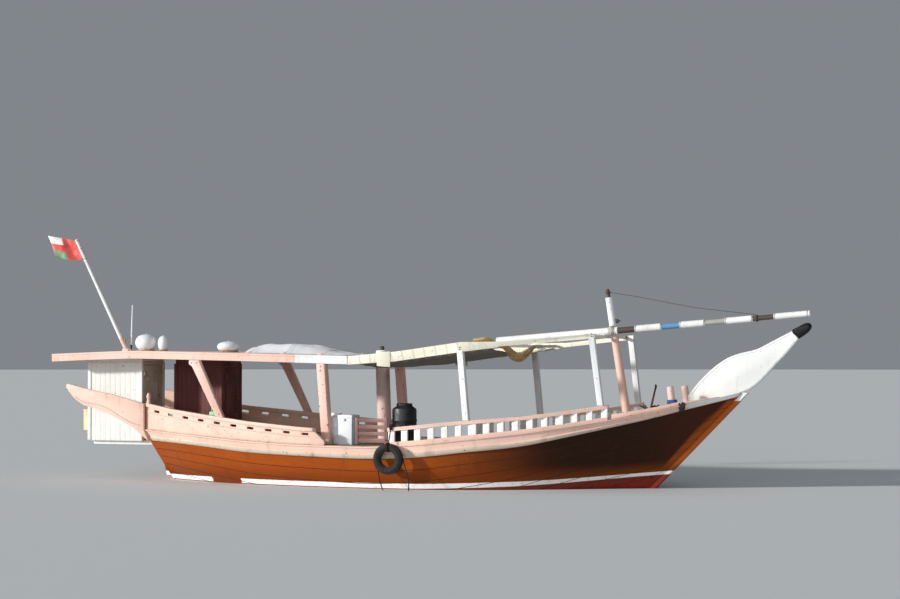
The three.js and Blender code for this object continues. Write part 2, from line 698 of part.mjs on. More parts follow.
// Helm: a stand with the wheel on its after face
const HELM = { x: -5250, y: 900, hubZ: 1950, radius: 310 };
piece(
  "helm_stand",
  onDeck(box([HELM.x - 240, HELM.y - 140, 900], [HELM.x, HELM.y + 140, 2080])),
  "pink",
);
const HELM_FACE_X = HELM.x - 240;
const HELM_WHEEL_X = HELM_FACE_X - 60;
const helmHub = pole(
  [HELM_FACE_X - GAP, HELM.y, HELM.hubZ],
  [HELM_WHEEL_X - 30, HELM.y, HELM.hubZ],
  42,
  42,
  16,
);
const helmRimSection = [
  [HELM.radius - 45, -16],
  [HELM.radius - 5, -16],
  [HELM.radius - 5, 16],
  [HELM.radius - 45, 16],
  [HELM.radius - 45, -16],
];
const helmRim = lathe(helmRimSection, 28).rotateZ(Math.PI / 2).translate(HELM_WHEEL_X, HELM.y, HELM.hubZ);
const HELM_SPOKES = 6;
const helmSpokes = Array.from({ length: HELM_SPOKES }, (_, i) => {
  const turn = (i * 2 * Math.PI) / HELM_SPOKES;
  const reach = HELM.radius + 60;
  const tip = [HELM_WHEEL_X, HELM.y + reach * Math.sin(turn), HELM.hubZ + reach * Math.cos(turn)];
  return pole([HELM_WHEEL_X, HELM.y, HELM.hubZ], tip, 14, 14, 8);
});
piece("helm_wheel", joined([helmHub, helmRim, ...helmSpokes]), "varnish");

// Masts and the long yard
const FOREMAST = { foot: [4430, 1380], head: [3990, 4160], radius: [92, 72] };
const MAINMAST = { foot: [-1120, 800], head: [-1200, 2970], radius: [155, 150] };
for (const [name, mast, paint, sides] of [
  ["foremast", FOREMAST, "pink", 16],
  ["main_mast", MAINMAST, "mauve", 20],
]) {
  const [[x0, z0], [x1, z1]] = [mast.foot, mast.head];
  piece(name, onDeck(pole([x0, 0, z0], [x1, 0, z1], ...mast.radius, sides)), paint);
}
const mastX = ({ foot, head }, z) => mix(foot[0], head[0], (z - foot[1]) / (head[1] - foot[1]));

const YARD_Y = -160;
const YARD = [
  { x: 1570, z: 3070, r: 76 },
  { x: 4110, z: 3270, r: 73 },
  { x: 6000, z: 3420, r: 65 },
  { x: 8310, z: 3610, r: 56 },
];
const yardRing = ({ x, z, r }, sides = 12) =>
  Array.from({ length: sides }, (_, i) => {
    const turn = (i * 2 * Math.PI) / sides;
    return [x, YARD_Y + r * Math.sin(turn), z + r * Math.cos(turn)];
  });
piece("yard", loft(YARD.map((at) => yardRing(at))), "white");

// Roof: a planked top on cross beams with a deep edge board all round. Its top edge runs by a table.
const ROOF_TOP = [
  [-8440, 2800],
  [-7350, 2840],
  [-6330, 2870],
  [-3600, 2815],
  [-1070, 2750],
];
const ROOF_EDGE = 170;
const ROOF_EDGE_THICK = 45;
const ROOF_PLANK = 30;
const ROOF_BEAM = { deep: 85, wide: 70, count: 9 };
const ROOF_HALF = [1950, 2110]; // at the stern and at the front
const roofTop = (x) => {
  const i = Math.max(1, ROOF_TOP.findIndex(([at]) => at >= x));
  const [[xa, za], [xb, zb]] = [ROOF_TOP[i - 1], ROOF_TOP[i]];
  return mix(za, zb, (x - xa) / (xb - xa));
};
const [ROOF_AFT, ROOF_FORE] = [ROOF_TOP[0][0], ROOF_TOP.at(-1)[0]];
const roofHalf = (x) => mix(...ROOF_HALF, (x - ROOF_AFT) / (ROOF_FORE - ROOF_AFT));
const roofStrip = (yOf, deep) =>
  loft(
    ROOF_TOP.map(([x, top]) => {
      const [y0, y1] = yOf(x);
      return [[x, y0, top - deep], [x, y1, top - deep], [x, y1, top], [x, y0, top]];
    }),
  );
const roofBeams = Array.from({ length: ROOF_BEAM.count }, (_, i) => {
  const x = mix(ROOF_AFT + 300, ROOF_FORE - 300, i / (ROOF_BEAM.count - 1));
  const [half, top] = [roofHalf(x) - 10, roofTop(x) - 12];
  return box([x - ROOF_BEAM.wide / 2, -half, top - ROOF_BEAM.deep], [x + ROOF_BEAM.wide / 2, half, top]);
});
const roofEnds = [
  [ROOF_AFT, ROOF_AFT + ROOF_EDGE_THICK],
  [ROOF_FORE - ROOF_EDGE_THICK, ROOF_FORE],
].map(([x0, x1]) => {
  const half = roofHalf(x0) - 5;
  const top = Math.min(roofTop(x0), roofTop(x1)) - 2;
  return box([x0, -half, top - ROOF_EDGE + 5], [x1, half, top]);
});
const roofWood = joined([
  roofStrip((x) => [-roofHalf(x), roofHalf(x)], ROOF_PLANK),
  roofStrip((x) => [-roofHalf(x), ROOF_EDGE_THICK - roofHalf(x)], ROOF_EDGE),
  roofStrip((x) => [roofHalf(x) - ROOF_EDGE_THICK, roofHalf(x)], ROOF_EDGE),
  ...roofEnds,
  ...roofBeams,
]);
const mastHole = pole(
  [mastX(MAINMAST, 2400), 0, 2400],
  [mastX(MAINMAST, 2960), 0, 2960],
  MAINMAST.radius[0] + 2,
  MAINMAST.radius[0] + 2,
  20,
);
piece("roof", cut(roofWood, [mastHole]), "pink");
const roofUnder = (x) => roofTop(x) - ROOF_EDGE - GAP;

// Struts lean aft from the cap rail to the roof's edge, with a corbel at the head.
const STRUT = { footX: -4050, headX: -4650, wide: 190, thick: 110 };
const strutFootZ = (x) => bulwarkTop(x) + CAP_HEIGHT + GAP;
for (const [name, side] of Object.entries(SIDES)) {
  const y = side * (deckHalf(STRUT.footX) - RAIL_IN - RAIL_THICK / 2);
  const headZ = roofUnder(STRUT.headX) - 3;
  const [f, h, w] = [STRUT.footX, STRUT.headX, STRUT.wide / 2];
  const outline = [
    [f - w, strutFootZ(f - w)],
    [f + w, strutFootZ(f + w)],
    [h + w, headZ],
    [h - w - 60, headZ],
    [h - w - 60, headZ - 90],
    [h - w + 20, headZ - 140],
  ];
  piece(`strut_${name}`, board(outline, y - STRUT.thick / 2, y + STRUT.thick / 2), "pink");
}

// Posts under the roof's front end, standing on the deck inside the bulwark.
const FRONT_POST = { footX: -1530, headX: -1670, size: 190 };
for (const [name, side] of Object.entries(SIDES)) {
  const y = side * (roofHalf(FRONT_POST.headX) - FRONT_POST.size / 2 + 60);
  const { footX, headX, size } = FRONT_POST;
  const timber = post([footX, 800], [headX, roofUnder(headX) - 5], y, size, size);
  piece(`front_post_${name}`, onDeck(timber), "pink");
}

// Awning frame: side beams from the roof's corners forward to two pairs of posts on the rail.
const AWNING_BEAM = [
  { x: ROOF_FORE + GAP, y: 2060, low: 2570, high: 2745 },
  { x: 70, y: 2170, low: 2640, high: 2840 },
  { x: 1570, y: 2265, low: 2832, high: 3035 },
  { x: 2300, y: 2090, low: 2925, high: 3045 },
  { x: 2350, y: 2075, low: 2945, high: 3040 },
  { x: 4160, y: 1345, low: 3110, high: 3200 },
];
const BEAM_THICK = 70;
const awningFrames = {};
for (const [name, side] of Object.entries(SIDES)) {
  const rings = AWNING_BEAM.map(({ x, y, low, high }) => [
    [x, side * (y - BEAM_THICK / 2), low],
    [x, side * (y + BEAM_THICK / 2), low],
    [x, side * (y + BEAM_THICK / 2), high],
    [x, side * (y - BEAM_THICK / 2), high],
  ]);
  awningFrames[name] = [loft(rings)];
}
const beamAt = (key, x) => {
  const i = Math.max(1, AWNING_BEAM.findIndex((at) => at.x >= x));
  const [a, b] = [AWNING_BEAM[i - 1], AWNING_BEAM[i]];
  return mix(a[key], b[key], (x - a.x) / (b.x - a.x));
};
const AWNING_POSTS = [
  { footX: 1690, headX: 1560, size: 120 },
  { footX: 4260, headX: 4090, size: 115 },
];
for (const { footX, headX, size } of AWNING_POSTS)
  for (const [name, side] of Object.entries(SIDES)) {
    const edge = (x) => side * (deckHalf(x) - RAIL_IN - RAIL_WIDE / 2);
    const [foot, head] = [balustradeTop(footX + size / 2) + 2, beamAt("low", headX) + 30];
    const heads = side * beamAt("y", headX);
    const corners = [[-1, -1], [1, -1], [1, 1], [-1, 1]];
    const ring = (x, y, z) => corners.map(([u, v]) => [x + (u * size) / 2, y + (v * size) / 2, z]);
    awningFrames[name].push(loft([ring(footX, edge(footX), foot), ring(headX, heads, head)]));
  }
for (const [name, parts] of Object.entries(awningFrames))
  piece(`awning_frame_${name}`, joined(parts), "white");

// Cross bars between the beams; the yard lies over the first.
const CROSS_BARS = [1640, 3960];
const CROSS_BAR = 60;
const yardUnder = (x) => {
  const share = (x - YARD[0].x) / (YARD[1].x - YARD[0].x);
  return mix(YARD[0].z - YARD[0].r, YARD[1].z - YARD[1].r, share);
};
CROSS_BARS.forEach((x, i) => {
  const half = beamAt("y", x + CROSS_BAR / 2) - BEAM_THICK / 2 - GAP;
  const top = yardUnder(x - CROSS_BAR / 2) - GAP;
  piece(
    `cross_bar_${i + 1}`,
    box([x - CROSS_BAR / 2, -half, top - CROSS_BAR], [x + CROSS_BAR / 2, half, top]),
    "white",
  );
});

// Soft goods, plain: the awning cloth, its part gathered in a roll at the front, the tarp on the
// roof and the flag.
const CLOTH = 12;
const AWNING_PLACES = [-1010, -500, 70, 800, 1570, 2050];
const AWNING_SHARES = [-1, -0.55, 0, 0.55, 1]; // across the boat
const AWNING_SAG = 130;
const awningRing = (x) => {
  const half = beamAt("y", x) - BEAM_THICK / 2 - 4;
  const z = beamAt("low", x) + 40;
  const under = AWNING_SHARES.map((s) => [x, s * half, z - AWNING_SAG * (1 - s * s)]);
  return [...under, ...under.map(([a, b, c]) => [a, b, c + CLOTH]).reverse()];
};
piece("awning_cloth", loft(AWNING_PLACES.map(awningRing)), "canvas");

// The roll hangs in a bight on the starboard side, and thins to port.
const ROLL = { x: 2160, radius: [100, 55], sag: 255 };
const rollRing = (share, sides = 10) => {
  const radius = mix(...ROLL.radius, (share + 1) / 2);
  const half = beamAt("y", ROLL.x + ROLL.radius[0]) - BEAM_THICK / 2 - GAP;
  const bight = Math.sin(Math.PI * Math.min(1, (share + 1) / 1.1)) ** 2;
  const z = beamAt("low", ROLL.x) + 60 - ROLL.sag * bight;
  return Array.from({ length: sides }, (_, i) => {
    const turn = (i * 2 * Math.PI) / sides;
    return [ROLL.x + radius * Math.cos(turn), share * half, z + radius * Math.sin(turn)];
  });
};
piece("awning_roll", loft([-1, -0.8, -0.6, -0.45, -0.3, -0.1, 0.1, 1].map((s) => rollRing(s))), "ochre");

// A tarp thrown over a heap of gear on the roof.
const TARP = {
  places: [-4250, -3750, -3600, -3250, -2750, -2150, -1700],
  rise: [110, 215, 230, 245, 205, 70, 40],
  half: 900,
};
const tarpRing = (x, i) => {
  const base = roofTop(x) + GAP;
  const rise = TARP.rise[i];
  return [
    [x, -TARP.half, base],
    [x, TARP.half, base],
    [x, TARP.half * 0.85, base + rise * 0.55],
    [x, TARP.half * 0.4, base + rise],
    [x, -TARP.half * 0.4, base + rise],
    [x, -TARP.half * 0.85, base + rise * 0.55],
  ];
};
piece("roof_tarp", loft(TARP.places.map(tarpRing)), "tarp");

// Net floats on the roof
const FLOATS = [
  { name: "float_large", at: [-6690, -800], radius: 270, high: 385 },
  { name: "float_middle", at: [-6250, -800], radius: 130, high: 340 },
  { name: "float_flat", at: [-4690, -600], radius: 280, high: 240 },
];
for (const { name, at, radius, high } of FLOATS) {
  const steps = 6;
  const profile = Array.from({ length: steps + 1 }, (_, i) => {
    const turn = (i * Math.PI) / 2 / steps;
    return new THREE.Vector2(radius * Math.cos(turn), high * 0.45 + high * 0.55 * Math.sin(turn));
  });
  profile[steps].x = 0;
  const outline = [new THREE.Vector2(0, 0), new THREE.Vector2(radius * 0.8, 0), ...profile];
  const dome = new THREE.LatheGeometry(outline, 20).rotateX(Math.PI / 2);
  const ends = [at[0] - radius * 0.8, at[0] + radius * 0.8];
  const kinks = ROOF_TOP.map(([x]) => x).filter((x) => x > ends[0] && x < ends[1]);
  const seat = Math.max(...[...ends, ...kinks].map(roofTop)) + GAP;
  piece(name, dome.translate(at[0], at[1], seat), "white");
}

// Flagstaff leaning aft from the roof, with the flag.
const STAFF = { foot: [-6985, 2700], head: [-8430, 5430], y: -1000, radius: [48, 38] };
const roofBlock = roofStrip((x) => [-roofHalf(x), roofHalf(x)], 400).translate(0, 0, GAP);
const staffEnd = ([x, z]) => [x, STAFF.y, z];
const staffPole = pole(staffEnd(STAFF.foot), staffEnd(STAFF.head), ...STAFF.radius, 12);
piece("flagstaff", cut(staffPole, [roofBlock]), "white");
const STAFF_LEAN = Math.atan2(STAFF.foot[0] - STAFF.head[0], STAFF.head[1] - STAFF.foot[1]);
const staffEdge = (z) => {
  const share = (z - STAFF.foot[1]) / (STAFF.head[1] - STAFF.foot[1]);
  return mix(STAFF.foot[0], STAFF.head[0], share) - mix(...STAFF.radius, share) / Math.cos(STAFF_LEAN) - GAP;
};
const FLAG = { z: [4960, 5400], length: 760, rise: [70, 130], thick: 14 };
const flagOutline = [
  [staffEdge(FLAG.z[0]), FLAG.z[0]],
  [staffEdge(FLAG.z[1]), FLAG.z[1]],
  [staffEdge(FLAG.z[1]) - FLAG.length, FLAG.z[1] + FLAG.rise[1]],
  [staffEdge(FLAG.z[0]) - FLAG.length, FLAG.z[0] + FLAG.rise[0]],
];
piece("flag", board(flagOutline, STAFF.y - FLAG.thick / 2, STAFF.y + FLAG.thick / 2), "red");

// Boarding gate of slats, on the brackets of the balustrade's after end
const gateLow = deckZ(GATE.x[1]) + 15;
const gateHigh = deckZ(GATE.x[1]) + GATE.top;
const stiles = [
  [GATE.x[0], GATE.x[0] + 60],
  [GATE.x[1] - 60, GATE.x[1]],
].map(([x0, x1]) => box([x0, GATE.y - 20, gateLow], [x1, GATE.y + 20, gateHigh]));
const gateRound = upright(GATE.x[1], GATE.y, gateLow, gateHigh, 20, 16);
const gateNotches = GATE_HINGES.map((z) =>
  box([GATE.x[1] - 28, GATE.y - 25, z - 18], [GATE.x[1] + 25, GATE.y + 25, z + 18]),
);
const gatePins = GATE_HINGES.map((z) => upright(GATE.x[1], GATE.y, z - 20, z + 20, GATE_PIN));
const slats = Array.from({ length: GATE.slats }, (_, i) => {
  const z = mix(gateLow + 40, gateHigh - 90, i / (GATE.slats - 1));
  return box([GATE.x[0] + 10, GATE.y - 14, z], [GATE.x[1] - 10, GATE.y + 14, z + 80]);
});
const gateWood = cut(joined([...stiles, ...slats, gateRound]), gateNotches);
piece("boarding_gate", joined([gateWood, ...gatePins]), "dark");

// Chest with a hinged lid, drum, barrel and can
const CHEST = { x: [-1290, -980], y: [-2060, -1680], high: 560, lid: 60, wall: 25 };
const chestZ = deckZ(CHEST.x[1]) + GAP;
const chestShell = box([CHEST.x[0], CHEST.y[0], chestZ - 60], [CHEST.x[1], CHEST.y[1], chestZ + CHEST.high]);
const chestRoom = box(
  [CHEST.x[0] + CHEST.wall, CHEST.y[0] + CHEST.wall, chestZ + 60],
  [CHEST.x[1] - CHEST.wall, CHEST.y[1] - CHEST.wall, chestZ + CHEST.high + 50],
);
const lidZ = chestZ + CHEST.high + GAP;
const LID_PIN = { x: [CHEST.x[0] + 60, CHEST.x[1] - 60], y: CHEST.y[1] + 16, z: lidZ + 14, radius: 5 };
const alongX = (x0, x1, radius) =>
  pole([x0, LID_PIN.y, LID_PIN.z], [x1, LID_PIN.y, LID_PIN.z], radius, radius, 12);
const lidLugs = LID_PIN.x.map((x) =>
  box([x - 6, CHEST.y[1] - 10, lidZ - 60], [x + 6, LID_PIN.y + 8, LID_PIN.z + 9]),
);
const lidPin = alongX(LID_PIN.x[0], LID_PIN.x[1], LID_PIN.radius);
const lidNotches = LID_PIN.x.map((x) =>
  box([x - 11, CHEST.y[1] - 15, lidZ - 1], [x + 11, CHEST.y[1] + 40, lidZ + 80]),
);
piece("chest", onDeck(joined([cut(chestShell, [chestRoom]), ...lidLugs, lidPin])), "white");
const lidBoard = box(
  [CHEST.x[0] - 10, CHEST.y[0] - 10, lidZ],
  [CHEST.x[1] + 10, CHEST.y[1] + 1, lidZ + CHEST.lid],
);
const lidTongue = box(
  [LID_PIN.x[0] + 10, CHEST.y[1], LID_PIN.z - 7],
  [LID_PIN.x[1] - 10, LID_PIN.y, LID_PIN.z + 11],
);
const lidBarrel = alongX(LID_PIN.x[0] + 8, LID_PIN.x[1] - 8, LID_PIN.radius + 6);
const lidBore = alongX(LID_PIN.x[0], LID_PIN.x[1], LID_PIN.radius + PIN_ROOM);
piece("chest_lid", cut(joined([lidBoard, lidTongue, lidBarrel]), [...lidNotches, lidBore]), "white");

const turned = (profile, x, y, z, sides = 24) =>
  lathe(profile, sides).rotateX(Math.PI / 2).translate(x, y, z);
const drumAt = (x, y, radius, high) =>
  onDeck(
    turned(
      [
        [0, -80],
        [radius, -80],
        [radius, high * 0.86],
        [radius * 0.62, high * 0.93],
        [radius * 0.62, high],
        [0, high],
      ],
      x,
      y,
      deckZ(x),
    ),
  );
piece("water_drum", drumAt(-1510, -1690, 190, 660), "white");
piece("barrel", drumAt(-230, -1000, 265, 860), "navy");
piece("can", onDeck(box([-4470, -1890, 900], [-4260, -1750, 1650])), "green");

// Anchor lying on the foredeck: a shank with four flukes
const ANCHOR = { at: [5020, -430], length: 520, radius: 22, fluke: 230 };
const anchorZ = deckZ(ANCHOR.at[0]) + 60;
const shankFoot = [ANCHOR.at[0], ANCHOR.at[1], anchorZ];
const shankHead = [ANCHOR.at[0] + 160, ANCHOR.at[1] - 30, anchorZ + ANCHOR.length];
const flukes = [0, 1, 2, 3].map((i) => {
  const turn = Math.PI / 4 + (i * Math.PI) / 2;
  const tip = [
    shankFoot[0] + ANCHOR.fluke * Math.cos(turn),
    shankFoot[1] + ANCHOR.fluke * Math.sin(turn),
    anchorZ + 110,
  ];
  return pole(shankFoot, tip, ANCHOR.radius, 10, 8);
});
const shank = pole([shankFoot[0], shankFoot[1], anchorZ - 90], shankHead, 24, 18, 10);
piece("anchor", onDeck(joined([shank, ...flukes])), "rust");

// Tyre fender hung on the starboard side, with its lanyard and a loop of slack rope below
const TYRE = { x: 140, z: 640, radius: 315, hole: 165, wide: 150 };
const TYRE_Y = -(deckHalf(TYRE.x - TYRE.radius) + WALE_THICK + GAP + TYRE.wide / 2);
const tyreProfile = [
  [TYRE.hole, -45],
  [TYRE.hole + 40, -TYRE.wide / 2],
  [TYRE.radius - 45, -TYRE.wide / 2],
  [TYRE.radius, -45],
  [TYRE.radius, 45],
  [TYRE.radius - 45, TYRE.wide / 2],
  [TYRE.hole + 40, TYRE.wide / 2],
  [TYRE.hole, 45],
  [TYRE.hole, -45],
];
piece("tyre_fender", lathe(tyreProfile, 28).translate(TYRE.x, TYRE_Y, TYRE.z), "rubber");
const LANYARD = { radius: 12, top: 1255 };
const lanyardY = -(deckHalf(TYRE.x) - RAIL_IN) - LANYARD.radius + 0.6;
piece(
  "fender_lanyard",
  pole(
    [TYRE.x, TYRE_Y + 20, TYRE.z + TYRE.radius + 6],
    [TYRE.x, lanyardY, LANYARD.top],
    LANYARD.radius,
    LANYARD.radius,
    10,
  ),
  "dark",
);

// Slack rope in a loop under the fender, from its fore side down under the water to its after side
const ROPE_RADIUS = 12;
const ROPE_ROUTE = [
  [461.8, 690],
  [482, 600],
  [520, 480],
  [560, 350],
  [590, 220],
  [600, 100],
  [588, -20],
  [552, -120],
  [490, -190],
  [400, -225],
  [300, -225],
  [200, -190],
  [110, -120],
  [40, -20],
  [-10, 90],
  [-45, 200],
  [-72, 310],
  [-88, 406],
].map(([x, z]) => new THREE.Vector3(x, TYRE_Y, z));
const ropeSection = new THREE.Shape(
  Array.from({ length: 8 }, (_, i) => {
    const turn = (i * Math.PI) / 4;
    return new THREE.Vector2(ROPE_RADIUS * Math.cos(turn), ROPE_RADIUS * Math.sin(turn));
  }),
);
piece(
  "fender_rope",
  new THREE.ExtrudeGeometry(ropeSection, {
    steps: 34,
    extrudePath: new THREE.CatmullRomCurve3(ROPE_ROUTE, false, "centripetal"),
  }),
  "dark",
);

export default boat;
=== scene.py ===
"""The looks of a wooden dhow: planking, paint, spars, lashings, cloth, light and camera.

Everything is in metres in the boat's own frame: +X to the bow, +Y to port, +Z up from the water.
"""

import json
import logging
import math
import random
from collections.abc import Callable, Iterable, Iterator, Sequence
from contextlib import contextmanager
from dataclasses import dataclass
from enum import Enum

import bmesh
import bpy
import numpy as np
from mathutils import Matrix, Vector

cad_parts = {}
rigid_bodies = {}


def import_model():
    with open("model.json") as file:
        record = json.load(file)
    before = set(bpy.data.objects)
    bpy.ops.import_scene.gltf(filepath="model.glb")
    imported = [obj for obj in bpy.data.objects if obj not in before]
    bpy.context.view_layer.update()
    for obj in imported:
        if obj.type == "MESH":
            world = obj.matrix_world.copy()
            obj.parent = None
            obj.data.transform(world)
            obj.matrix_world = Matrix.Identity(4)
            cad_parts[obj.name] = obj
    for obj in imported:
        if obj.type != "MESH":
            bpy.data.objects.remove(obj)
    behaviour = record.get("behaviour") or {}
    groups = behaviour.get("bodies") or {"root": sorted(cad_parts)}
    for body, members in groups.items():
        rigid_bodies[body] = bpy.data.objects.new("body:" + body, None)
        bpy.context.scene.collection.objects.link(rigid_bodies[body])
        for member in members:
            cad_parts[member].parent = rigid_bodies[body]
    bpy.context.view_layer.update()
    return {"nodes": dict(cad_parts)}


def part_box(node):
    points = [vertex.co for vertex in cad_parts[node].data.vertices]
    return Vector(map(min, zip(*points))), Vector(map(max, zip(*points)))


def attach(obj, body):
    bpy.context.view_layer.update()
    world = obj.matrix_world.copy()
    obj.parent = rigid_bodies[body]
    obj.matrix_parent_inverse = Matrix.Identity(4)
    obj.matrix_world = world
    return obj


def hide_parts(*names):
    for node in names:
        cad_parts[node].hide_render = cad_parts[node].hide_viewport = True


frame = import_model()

log = logging.getLogger("dhow")

Pair = tuple[float, float]
Table = tuple[Pair, ...]
Point = tuple[float, float, float]
Colour = tuple[float, float, float]
Ring = list[Point]
Piece = bpy.types.Object
Socket = bpy.types.NodeSocket

BODY = "boat"
SEED = 7


class Side(Enum):
    """The two sides of the boat, with the sign of Y on each."""

    STARBOARD = -1
    PORT = 1

    @property
    def label(self) -> str:
        """The side's word as the frame's nodes spell it."""
        return self.name.lower()


# Numbers and curves


def mix(a: float, b: float, share: float) -> float:
    """The value at a share of the way from a to b."""
    return a + (b - a) * share


def smooth(share: float) -> float:
    """An even start and stop between 0 and 1."""
    s = min(1.0, max(0.0, share))
    return s * s * (3 - 2 * s)


def spread(first: float, last: float, count: int) -> list[float]:
    """Evenly spaced values, both ends included."""
    return [mix(first, last, i / (count - 1)) for i in range(count)]


class Fair:
    """A fair curve through a table of places: a monotone cubic, so it never swings past them."""

    def __init__(self, table: Sequence[Pair]) -> None:
        """Keeps the places and works out a slope at each.

        Args:
            table: Pairs of place and value, with the places rising.
        """
        self.x = [float(row[0]) for row in table]
        self.y = [float(row[1]) for row in table]
        run = [b - a for a, b in zip(self.x, self.x[1:])]
        rise = [(b - a) / r for a, b, r in zip(self.y, self.y[1:], run)]
        self.slope = [rise[0]]
        for left, right in zip(rise, rise[1:]):
            self.slope.append(0.0 if left * right <= 0 else 2 * left * right / (left + right))
        self.slope.append(rise[-1])

    def __call__(self, at: float) -> float:
        """The value at a place, kept to the table's ends beyond it."""
        at = min(max(at, self.x[0]), self.x[-1])
        i = max(0, min(len(self.x) - 2, sum(x < at for x in self.x) - 1))
        run = self.x[i + 1] - self.x[i]
        t = (at - self.x[i]) / run
        low, high = self.y[i], self.y[i + 1]
        a = (1 + 2 * t) * (1 - t) ** 2 * low + t * (1 - t) ** 2 * run * self.slope[i]
        return a + t * t * (3 - 2 * t) * high + t * t * (t - 1) * run * self.slope[i + 1]


def rounded_path(points: Sequence[Point], steps: int) -> list[Point]:
    """A smooth centripetal line through points.

    Args:
        points: Where the line passes.
        steps: How many pieces each stretch between two points is cut into.

    Returns:
        The line's points, ends included.
    """
    p = [Vector(q) for q in points]
    p = [p[0] * 2 - p[1], *p, p[-1] * 2 - p[-2]]
    line: list[Point] = []
    for i in range(1, len(p) - 2):
        knots = [0.0]
        for a, b in zip(p[i - 1 : i + 2], p[i : i + 3]):
            knots.append(knots[-1] + max(1e-6, (b - a).length ** 0.5))
        for step in range(steps):
            at = mix(knots[1], knots[2], step / steps)
            line.append(tuple(_knotted(p[i - 1 : i + 3], knots, at)))
    return [*line, tuple(p[-2])]


def _between(a: Vector, b: Vector, low: float, high: float, t: float) -> Vector:
    """The point at knot t on the line from a, at knot low, to b, at knot high."""
    return a * ((high - t) / (high - low)) + b * ((t - low) / (high - low))


def _knotted(p: Sequence[Vector], k: Sequence[float], t: float) -> Vector:
    """A point of a centripetal curve through four points at knot t."""
    a = [_between(p[i], p[i + 1], k[i], k[i + 1], t) for i in range(3)]
    b = [_between(a[i], a[i + 1], k[i], k[i + 2], t) for i in range(2)]
    return _between(b[0], b[1], k[1], k[2], t)


# Meshes


def linked(name: str, data: bpy.types.ID) -> Piece:
    """A new object in the scene for a mesh, a light or a camera."""
    obj = bpy.data.objects.new(name, data)
    bpy.context.scene.collection.objects.link(obj)
    return obj


def meshed(
    name: str, points: Iterable[Point], faces: Iterable[Sequence[int]], edges: Sequence[tuple[int, int]] = ()
) -> Piece:
    """A new piece with its place in its mesh."""
    mesh = bpy.data.meshes.new(name)
    mesh.from_pydata([tuple(p) for p in points], list(edges), [tuple(f) for f in faces])
    return linked(name, mesh)


@contextmanager
def opened(mesh: bpy.types.Mesh) -> Iterator[bmesh.types.BMesh]:
    """A mesh opened for work on its edges and faces, and written back after it."""
    work = bmesh.new()
    work.from_mesh(mesh)
    yield work
    work.to_mesh(mesh)
    work.free()


def piece_from(name: str, points: Iterable[Point], faces: Iterable[Sequence[int]]) -> Piece:
    """A new piece with its doubled points merged and its faces turned out."""
    obj = meshed(name, points, faces)
    distance = 1e-5
    with opened(obj.data) as work:
        bmesh.ops.remove_doubles(work, verts=work.verts, dist=distance)
        bmesh.ops.dissolve_degenerate(work, edges=work.edges, dist=distance)
        bmesh.ops.recalc_face_normals(work, faces=work.faces)
    return obj


def soften(obj: Piece, angle: float = 32.0) -> Piece:
    """Shades smooth, and keeps edges sharper than angle degrees crisp."""
    obj.data.polygons.foreach_set("use_smooth", [True] * len(obj.data.polygons))
    obj.data.set_sharp_from_angle(angle=math.radians(angle))
    return obj


def settled(obj: Piece) -> Piece:
    """Turns an object's modifiers, or a curve, into its own plain mesh.

    Args:
        obj: A mesh or curve object with its place in its data.

    Returns:
        The same object for a mesh, or the mesh object that takes a curve's place.
    """
    bpy.context.view_layer.update()
    graph = bpy.context.evaluated_depsgraph_get()
    mesh = bpy.data.meshes.new_from_object(obj.evaluated_get(graph), depsgraph=graph)
    if obj.type == "MESH":
        obj.modifiers.clear()
        obj.data = mesh
        return obj
    name = obj.name
    bpy.data.objects.remove(obj)
    return linked(name, mesh)


def joined(name: str, parts: Sequence[Piece]) -> Piece:
    """Joins parts into one piece of that name, keeping their materials and attributes."""
    parts = [p for p in parts if p is not None]
    with bpy.context.temp_override(
        active_object=parts[0], object=parts[0], selected_objects=parts, selected_editable_objects=parts
    ):
        if len(parts) > 1:
            bpy.ops.object.join()
    parts[0].name = name
    parts[0].data.name = name
    return parts[0]


def lofted(name: str, rings: Sequence[Ring], capped: bool = True) -> Piece:
    """A skin over rings of points, each ring closed, with its ends closed by fans if capped."""
    count = len(rings[0])
    faces: list[tuple[int, ...]] = []
    for i in range(len(rings) - 1):
        for j in range(count):
            k = (j + 1) % count
            faces.append((i * count + j, i * count + k, (i + 1) * count + k, (i + 1) * count + j))
    if capped:
        last = (len(rings) - 1) * count
        faces.append(tuple(range(count)))
        faces.append(tuple(last + j for j in range(count)))
    return piece_from(name, [p for ring in rings for p in ring], faces)


def sheeted(name: str, rows: Sequence[Ring]) -> Piece:
    """An open surface over rows of points, with a UV map that follows rows and columns."""
    count = len(rows[0])
    faces = [
        (i * count + j, i * count + j + 1, (i + 1) * count + j + 1, (i + 1) * count + j)
        for i in range(len(rows) - 1)
        for j in range(count - 1)
    ]
    obj = meshed(name, [p for row in rows for p in row], faces)
    layer = obj.data.uv_layers.new(name="UVMap")
    for loop in obj.data.loops:
        row, column = divmod(loop.vertex_index, count)
        layer.data[loop.index].uv = (row / (len(rows) - 1), column / (count - 1))
    return obj


def slab(
    name: str, outline: Sequence[Pair], y: Sequence[float], ease: float = 0.0, segments: int = 2
) -> Piece:
    """A flat board with an outline in the XZ plane, from y[0] to y[1], its edges rounded by ease."""
    board = lofted(name, [[(px, at, pz) for px, pz in outline] for at in y])
    return eased(board, ease, segments) if ease else board


def block(name: str, low: Point, high: Point, ease: float = 0.0, segments: int = 2) -> Piece:
    """A squared timber from its lowest to its highest corner, its edges rounded by ease."""
    outline = [(low[0], low[2]), (high[0], low[2]), (high[0], high[2]), (low[0], high[2])]
    return slab(name, outline, (low[1], high[1]), ease, segments)


